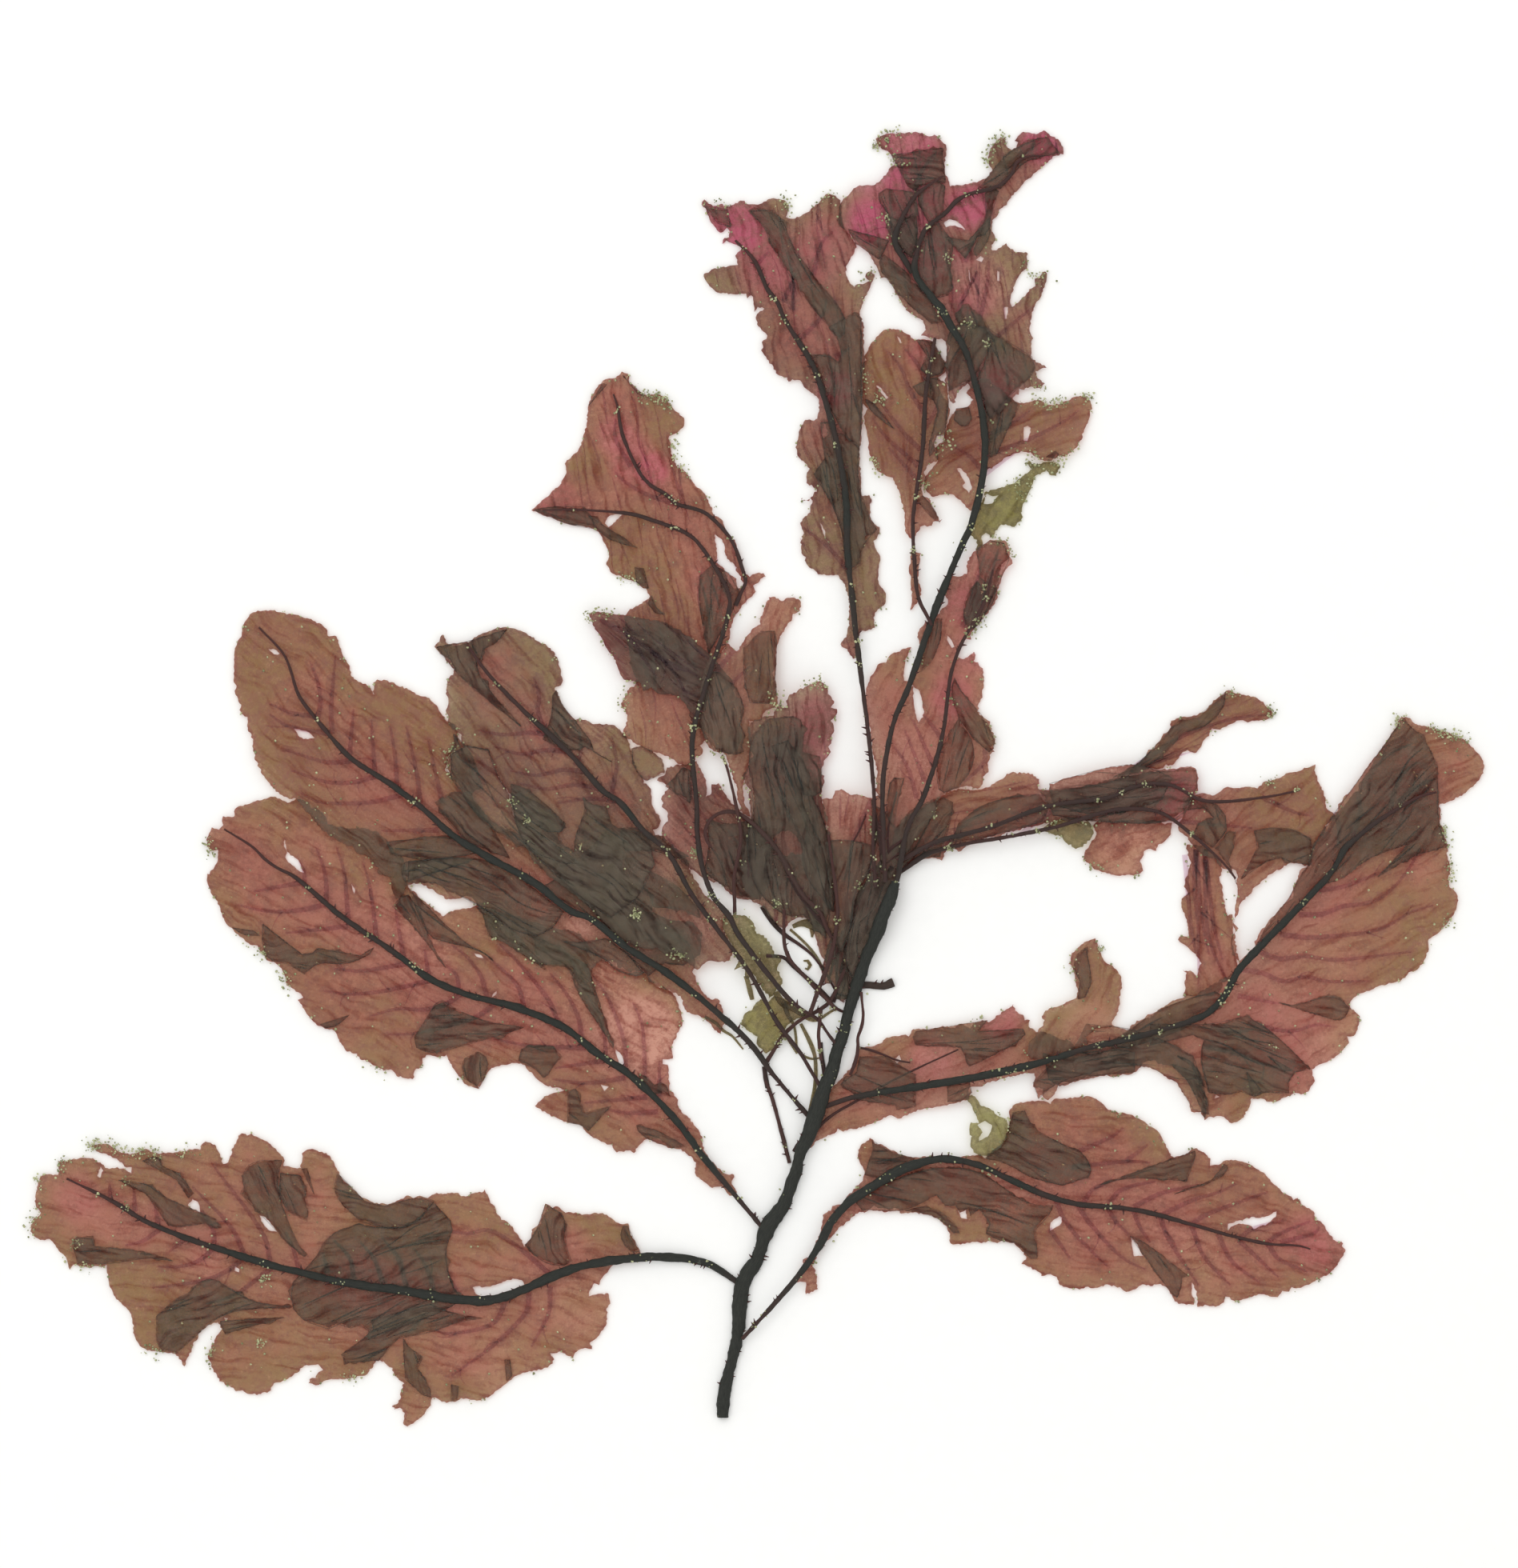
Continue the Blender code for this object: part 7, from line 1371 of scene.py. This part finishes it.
@dataclass
class Stems:
    """The stipe, the midribs and the thin stems: one cord each, in the place of its CAD node."""

    finishes: Finishes
    thin: tuple[str, ...] = (
        "hooked_stem", "slender_red_stem", "bundle_stem", "cross_stem", "oblique_stem",
        "leaning_stem", "loop_stem", "side_stem", "stub",
    )
    flatness: float = 0.62  # height as a share of the width
    roughness: float = 0.26  # height of the skin's bumps as a share of the width
    overlap: float = 2.4  # how far a side stem reaches back into the one that it grows from, mm
    slimness: float = 0.92  # share of the traced width, which takes in the stem's own shadow
    slimmer: dict[str, float] = field(
        default_factory=lambda: {
            "main_stipe": 1.12, "stub": 1.25, "wing_stem": 0.7, "wing_fork": 0.7, "right_top_midrib": 0.74,
            "right_top_fork": 0.8, "left_top_midrib": 0.84, "centre_midrib": 0.76, "slender_midrib": 0.84,
        }
    )
    spine_share: float = 0.30  # share of places on a stem that have a spine
    spined_from: float = 0.7  # width from which a stem has spines, mm
    spine_size: float = 0.32  # half a spine's height, mm
    spine_seat: float = 0.86  # how far out a spine stands, as a share of the stem's half width
    lines: dict[str, np.ndarray] = field(default_factory=dict)

    def centre_line(self, name: str) -> np.ndarray:
        """Lays a stem's path on the height of its CAD node.

        Args:
            name: the node.

        Returns:
            Rows of x, y, z and width along the stem, mm.
        """
        rows = path(STEMS[name])
        rows[:, 2] *= self.slimmer.get(name, self.slimness)
        if name != "main_stipe":
            back = rows[0] - rows[1]
            back[2] = 0
            rows = np.concatenate((rows[:1] + back / np.linalg.norm(back) * self.overlap, rows))
        line = flow(rows, 0.6)
        rng = seeded(name)
        across = np.gradient(line[:, :2], axis=0)
        across = unit(np.stack((-across[:, 1], across[:, 0]), axis=1))
        wander = ripple(len(line), 9, rng) * 0.05 + ripple(len(line), 22, rng) * 0.04
        line[:, :2] += across * (wander * line[:, 2])[:, None]
        line[:, 2] *= 1 + 0.09 * ripple(len(line), 5, rng) + 0.06 * ripple(len(line), 13, rng)
        top = averaged(CadNode(name).top(line), 4)
        return np.column_stack((line[:, :2], top - self.flatness / 2 * line[:, 2], line[:, 2]))

    def build(self) -> None:
        """Builds every stem and its spines."""
        for name in STEMS:
            line = self.centre_line(name)
            self.lines[name] = line
            slot = Slot.THIN if name in self.thin else Slot.STIPE
            skin = self.finishes.stem[slot]
            piece = Cords(name + "_skin", [line], skin, self.flatness, self.roughness, 12).build()
            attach(piece, "root")
            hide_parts(name)
            LOG.info("stem %s: %d faces", name, len(piece.data.polygons))
        self.spines()

    def spines(self) -> None:
        """Puts short blunt spines along the sides of the stems, where the real ones stand."""
        places, aims = [], []
        for name, line in self.lines.items():
            rng = seeded(name + "_spines")
            run = unit(np.gradient(line[:, :2], axis=0))
            for index in range(3, len(line) - 3):
                if line[index, 3] < self.spined_from or rng.random() > self.spine_share:
                    continue
                side = rng.choice((-1.0, 1.0))
                out = np.array((-run[index, 1], run[index, 0])) * side * rng.uniform(0.75, 1.0)
                out += run[index] * rng.uniform(0.1, 0.8)
                half = line[index, 3] * 0.5
                spot = line[index, :2] + out / np.linalg.norm(out) * half * self.spine_seat
                places.append((*spot, line[index, 2] + rng.uniform(-0.05, 0.25)))
                aims.append((*out, rng.uniform(0.1, 0.5)))
        skin = self.finishes.stem[Slot.STIPE]
        aims = np.array(aims)
        piece = Scatter("spines", np.array(places), Scatter.Body.SPINE, skin, self.spine_size, aims).build()
        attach(piece, "root")
        LOG.info("spines: %d", len(places))


@dataclass
class Blades:
    """All the membranes, the folds doubled over them, their veins, and grey crease lines of painted shade
    along the folds.
    """

    finishes: Finishes
    stems: Stems
    dusky: tuple[str, ...] = (
        "dark_leaf", "inner_left_blade", "bundle_blade", "centre_leaf", "left_top_blade", "right_top_blade",
    )
    decayed: tuple[str, ...] = (
        "olive_scrap_right", "olive_scrap_upper", "olive_scrap_lower", "branch_scrap",
        "wing_right_lobe", "right_low_blade",
    )
    rosy: tuple[str, ...] = ("wing_right_lobe",)  # decayed in the record, but as red as a sound blade
    sink: float = -0.08  # height of a membrane over its CAD face, mm
    fold_lift: float = 0.22  # height of a fold over its blade, mm
    fold_step: float = 0.02  # further height of each of three folds in turn, mm
    fold_pucker: float = 0.03  # height of a fold's hills, mm
    fold_fray: float = 0.3  # how far a fold's margin strays, mm
    fold_corner: float = 0.9  # cosine of the turn from which a point of a fold stays a corner
    fold_streaks: float = 0.8  # how streaky a fold is, unless its blade says otherwise
    crease_lift: float = 0.26  # height of the crease around a fold over its blade, mm
    wrinkle_lift: float = 0.28  # height of the wrinkles on a fold over its blade, mm
    vein_lift: float = 0.03  # height of a vein over its blade, mm
    twig_share: float = 0.3  # share of places on a vein that have a twig
    wrinkled_from: float = 0.4  # streakiness from which a blade has wrinkles
    strand_lift: float = 0.15  # height of a strand's middle over what is under it, in widths
    tops: dict[str, BVHTree] = field(default_factory=dict)
    rims: list[np.ndarray] = field(default_factory=list)
    upper_skins: list[np.ndarray] = field(default_factory=list)

    def slot(self, name: str) -> Slot:
        """The material slot of a blade."""
        return Slot.DUSKY if name in self.dusky else Slot.DECAYED if name in self.decayed else Slot.BLADE

    def build(self) -> None:
        """Builds every blade with what lies on it."""
        stems = self.stems.lines
        ribs = [line[::2, :2] for name, line in stems.items() if "midrib" in name or "fork" in name]
        ribs = np.concatenate((*ribs, stems["wing_stem"][:, :2]))
        for name in sorted(set(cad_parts) - set(STEMS)):
            slot = self.slot(name)
            node = CadNode(name)
            loops = node.margins() + paths(HOLES.get(name, ""))
            low, high = loops[0].min(axis=0) - 4, loops[0].max(axis=0) + 4
            close = ribs[((ribs > low) & (ribs < high)).all(axis=1)]
            close = close if len(close) else None
            sheet = Sheet(name + "_membrane", loops, node.top, close, self.sink)
            sheet.casts = CASTS.get(name, {})
            traces = [flow(trace, 0.5) for trace in paths(VEINS.get(name, ""))]
            sheet.veins = np.concatenate(traces) if traces else None
            piece, tree = sheet.build()
            skin = self.finishes.membrane[Slot.BLADE if name in self.rosy else slot]
            piece.data.materials.append(skin)
            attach(piece, "root")
            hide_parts(name)
            self.tops[name] = tree
            self.upper_skins.append(np.array([v.co for v in piece.data.vertices]) / MM)
            margin = flow(loops[0], 0.5, closed=True)
            self.rims.append(np.column_stack((margin, upper(tree, margin))))
            LOG.info("blade %s: %d faces", name, len(piece.data.polygons))
            self.folds(name, skin, close)
            self.veins(name, slot, loops)

    def folds(self, name: str, skin: bpy.types.Material, ribs: np.ndarray | None) -> None:
        """Lays a second layer over a blade wherever the real one is folded on itself.

        Args:
            name: the blade's node.
            skin: its material.
            ribs: points of the stems near it, if there are any.
        """
        made, lines = [], []

        def height(points: np.ndarray) -> np.ndarray:
            """Heights of the blade's upper face."""
            return upper(self.tops[name], points)

        for index, loop in enumerate(paths(FOLDS.get(name, ""))):
            lift = self.fold_lift + self.fold_step * (index % 3)
            title = f"{name}_fold_{index}"
            gap = BLADE_SPACING * 1.1
            sheet = Sheet(title, [loop], height, ribs, lift, self.fold_pucker, self.fold_fray, gap)
            sheet.casts = {"streaky": self.fold_streaks, **CASTS.get(name, {})}
            sheet.corner = self.fold_corner
            made.append(sheet.build()[0])
            # Grey crease lines of painted shade: one along the fold's edge, more along its wrinkles.
            ring = flow(loop, 0.6, True, self.fold_corner)
            ring = np.concatenate((ring, ring[:1]))
            rng = seeded(f"{name}_crease_{index}")
            width = 0.10 + 0.16 * np.abs(np.concatenate((ripple(len(ring) - 1, 12, rng), (0,))))
            lines.append(np.column_stack((ring, height(ring) + self.crease_lift, width)))
            for line in wrinkles([ring], 1.7, rng):
                taper = np.sin(np.linspace(0.15, 3.0, len(line))) * rng.uniform(0.12, 0.36) + 0.04
                lines.append(np.column_stack((line, height(line) + self.wrinkle_lift, taper)))
        if not made:
            return
        joined = joined_meshes(name + "_folds", made)
        joined.data.materials.append(skin)
        crease_shade_lines = Cords(name + "_creases", lines, self.finishes.crease, 0.4, 0.0, 5).build()
        for piece in (joined, crease_shade_lines):
            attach(piece, "root")
        LOG.info("folds on %s: %d", name, len(made))

    def veins(self, name: str, slot: Slot, loops: list[np.ndarray]) -> None:
        """Lays the side veins on a blade, each with a few finer twigs, and the wrinkles of a streaky blade.

        Args:
            name: the blade's node.
            slot: its material slot; not used.
            loops: its outline and holes.
        """
        lines = []
        rng = seeded(name + "_veins")
        for trace in paths(VEINS.get(name, "")):
            start = trace[:1] + (trace[:1] - trace[1:2]) / np.linalg.norm(trace[0] - trace[1]) * 0.7
            main = flow(np.concatenate((start, trace)), 0.7)
            share = np.linspace(0, 1, len(main))
            kept = inside(main, loops)
            first = int(np.argmax(kept[3:])) + 3 if kept[3:].any() else 3
            ends = np.flatnonzero(~kept[first:])
            last = first + int(ends[0]) if len(ends) else len(main)
            if last < 6:
                continue
            main, share = main[:last], share[:last]
            lines.append((main, 0.72 * (1 - share) ** 0.7 + 0.3))
            for at in range(5, len(main) - 3, 6):
                if rng.random() < self.twig_share:
                    twig, width = self.twig(main[at], main[at + 1] - main[at - 1], rng)
                    kept = np.cumprod(inside(twig, loops)).astype(bool)
                    if kept.sum() > 2:
                        lines.append((twig[kept], width[kept]))
        if CASTS.get(name, {}).get("streaky", 0) >= self.wrinkled_from:
            for line in wrinkles(loops, 2.2, rng):
                lines.append((line, np.sin(np.linspace(0.15, 3.0, len(line))) * rng.uniform(0.2, 0.5) + 0.05))
        if not lines:
            return
        top = self.tops[name]
        rows = [np.column_stack((line, upper(top, line) + self.vein_lift, width)) for line, width in lines]
        piece = Cords(name + "_veins", rows, self.finishes.vein, 0.35, 0.0, 6).build()
        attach(piece, "root")
        LOG.info("veins on %s: %d", name, len(rows))

    def twig(self, root: np.ndarray, run: np.ndarray, rng: np.random.Generator) -> tuple[np.ndarray, ...]:
        """Draws a fine twig that leaves a vein to one side.

        Args:
            root: where it leaves the vein.
            run: the way that the vein runs there.
            rng: the vein's random source.

        Returns:
            The points of the twig and its width at each, mm.
        """
        angle = math.atan2(run[1], run[0]) + rng.choice((-1, 1)) * rng.uniform(0.45, 0.9)
        reach = rng.uniform(2.0, 5.0)
        steps = np.linspace(0, 1, max(3, int(reach / 0.5)))[:, None]
        turn = angle + rng.uniform(-0.8, 0.8) * steps
        twig = root + reach * steps * np.concatenate((np.cos(turn), np.sin(turn)), axis=1)
        return twig, 0.26 * (1 - steps[:, 0]) + 0.12

    def strands(self) -> None:
        """Lays the loose thin stems and olive shreds over whatever is under them."""
        laid = (
            ("loose_strands", STRANDS, self.finishes.stem[Slot.STIPE], 0.62, Slot.STIPE),
            ("olive_shreds", SHREDS, self.finishes.membrane[Slot.DECAYED], 0.2, Slot.DECAYED),
        )
        for name, traces, finish, flatness, slot in laid:
            lines = []
            for trace in paths(traces):
                line = flow(trace, 0.6)
                level = averaged(np.array([self.level(spot) for spot in line]), 3)
                width = line[:, 2]
                lines.append(np.column_stack((line[:, :2], level + self.strand_lift * width, width)))
            piece = Cords(name, lines, finish, flatness, 0.16, 8).build()
            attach(piece, "root")
            LOG.info("%s: %d", name, len(lines))

    def level(self, spot: np.ndarray) -> float:
        """The height of the highest blade under a spot, or 0 over the bare table."""
        hits = [tree.ray_cast((*spot[:2], SKY), DOWN)[0] for tree in self.tops.values()]
        return max((hit.z for hit in hits if hit is not None), default=0.0)


def joined_meshes(name: str, parts: list[bpy.types.Object]) -> bpy.types.Object:
    """Joins meshes with the same attributes into one object.

    Args:
        name: the new piece's name.
        parts: the objects, which are removed.

    Returns:
        The one object.
    """
    points, faces, smooth, values = [], [], [], {}
    for part in parts:
        mesh = part.data
        start = len(points)
        points += [tuple(v.co) for v in mesh.vertices]
        faces += [[start + k for k in p.vertices] for p in mesh.polygons]
        smooth += [p.use_smooth for p in mesh.polygons]
        for layer in mesh.attributes:
            if layer.data_type == "FLOAT" and layer.domain == "POINT":
                values.setdefault(layer.name, []).extend(item.value for item in layer.data)
        bpy.data.objects.remove(part)
    mesh = bpy.data.meshes.new(name)
    mesh.from_pydata(points, [], faces)
    mesh.polygons.foreach_set("use_smooth", smooth)
    for key, value in values.items():
        mesh.attributes.new(key, "FLOAT", "POINT").data.foreach_set("value", value)
    return linked(name, mesh)


@dataclass
class Crumbs:
    """Grey-green crumbs of small growth: clusters on the margins, on the stems and here and there."""

    finishes: Finishes
    blades: Blades
    stems: Stems
    size: float = 0.18  # radius, mm
    on_margin: float = 0.85  # share of a cluster that sits on a margin where there is one
    stray: float = 0.65  # how far a crumb strays from its margin, mm
    dotted: float = 0.05  # share of places on margins and stems that have crumbs of their own
    points_a_crumb: int = 90  # points of a blade's mesh for each lone crumb on it

    def build(self) -> None:
        """Scatters the clusters."""
        rng = seeded("crumbs")
        spots = []
        rim = np.concatenate(self.blades.rims)
        for x, y, radius, count in path(CRUMB_CLUSTERS):
            centre = np.array((x, y))
            close = rim[np.hypot(*(rim[:, :2] - centre).T) < radius]
            for _ in range(int(count)):
                if len(close) and rng.random() < self.on_margin:
                    seat = close[rng.integers(len(close))]
                    place = seat[:2] + rng.normal(0, self.stray, 2)
                    spots.append((*place, seat[2] + rng.uniform(-0.05, 0.25)))
                    continue
                spot = centre + rng.normal(0, radius * 0.3, 2)
                level = self.blades.level(spot)
                if level:
                    spots.append((*spot, level + rng.uniform(0.0, 0.25)))
        for edge in self.blades.rims:
            for x, y, z in edge[rng.random(len(edge)) < self.dotted]:
                for _ in range(rng.integers(1, 4)):
                    place = (x + rng.normal(0, 0.3), y + rng.normal(0, 0.3))
                    spots.append((*place, z + rng.uniform(-0.05, 0.12)))
        for line in self.stems.lines.values():
            for x, y, z, width in line[rng.random(len(line)) < self.dotted]:
                for _ in range(rng.integers(2, 9)):
                    dx, dy = rng.normal(0, max(width * 0.45, 0.3), 2)
                    spots.append((x + dx, y + dy, z + 0.22 * width))
        for skin in self.blades.upper_skins:
            for x, y, z in skin[rng.integers(0, len(skin), len(skin) // self.points_a_crumb)]:
                spots.append((x, y, z + 0.05))
        piece = Scatter("crumbs", np.array(spots), Scatter.Body.CRUMB, self.finishes.grit, self.size).build()
        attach(piece, "root")
        LOG.info("crumbs: %d", len(spots))


@dataclass(frozen=True)
class Studio:
    """The table, the light and the camera that looks straight down."""

    view_height: float = 0.294  # of the table that the picture shows, m
    distance: float = 1.5  # from the table up to the camera, m
    centre: tuple[float, float] = (0.000175, -0.001)  # the place under the camera, m
    sensor: float = 36.0  # mm
    table_half: float = 3.0  # half a side of the table, m
    table_drop: float = 0.0002  # how far the table is below the underside of the CAD, m
    light_place: tuple[float, float, float] = (-0.5, 0.6, 1.6)
    light_size: float = 1.6  # across, m
    light_energy: float = 9.0  # W
    surround: float = 0.92  # strength of the light from all around

    def build(self) -> None:
        """Sets up the table, the light and the camera."""
        self.table()
        self.light()
        self.camera()

    def table(self) -> None:
        """A wide pale table just under the plant."""
        mesh = bpy.data.meshes.new("table")
        half, low = self.table_half, -self.table_drop
        corners = [(x * half, y * half, low) for x, y in ((-1, -1), (1, -1), (1, 1), (-1, 1))]
        mesh.from_pydata(corners, [], [(0, 1, 2, 3)])
        graph = Skin("white_table")
        tooth = graph.noise(graph.where, 400, 3)
        colour = graph.blend(tooth.ramp(0.2, 0.8), (0.90, 0.90, 0.885, 1), (0.92, 0.92, 0.905, 1))
        mesh.materials.append(graph.material(graph.matter(colour, 0.9, Specular_IOR_Level=0.1)))
        table = linked("table", mesh)

    def light(self) -> None:
        """An even white surround and one large soft light above."""
        world = bpy.data.worlds.new("surround")
        world.use_nodes = True
        graph = Graph(world.node_tree)
        glow = graph.out("ShaderNodeBackground", {"Color": (1.0, 0.998, 0.99, 1), "Strength": self.surround})
        graph.node("ShaderNodeOutputWorld", {"Surface": glow})
        data = bpy.data.lights.new("soft_light", "AREA")
        data.shape, data.size, data.energy = "DISK", self.light_size, self.light_energy
        light = linked("soft_light", data)
        light.location = self.light_place
        light.rotation_euler = (-Vector(self.light_place)).to_track_quat("-Z", "Y").to_euler()
        scene = bpy.context.scene
        scene.world = world
        scene.view_settings.view_transform = "Standard"
        scene.view_settings.look = "None"

    def camera(self) -> None:
        """A long lens straight above, framed as the plant was."""
        data = bpy.data.cameras.new("camera")
        data.sensor_width = self.sensor
        data.lens = self.sensor * self.distance / self.view_height
        data.clip_start, data.clip_end = 0.1, 10.0
        camera = linked("camera", data)
        camera.location = (*self.centre, self.distance)
        bpy.context.scene.camera = camera


def main() -> None:
    """Builds the plant in order."""
    logging.basicConfig(level=logging.INFO, format="%(name)s: %(message)s")
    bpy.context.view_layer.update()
    Studio().build()
    finishes = Finishes()
    Sheet.tones = {kind: path(spots) for kind, spots in TONES.items()}
    stems = Stems(finishes)
    stems.build()
    blades = Blades(finishes, stems)
    blades.build()
    blades.strands()
    Crumbs(finishes, blades, stems).build()
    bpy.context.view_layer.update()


if __name__ == "__main__":
    main()
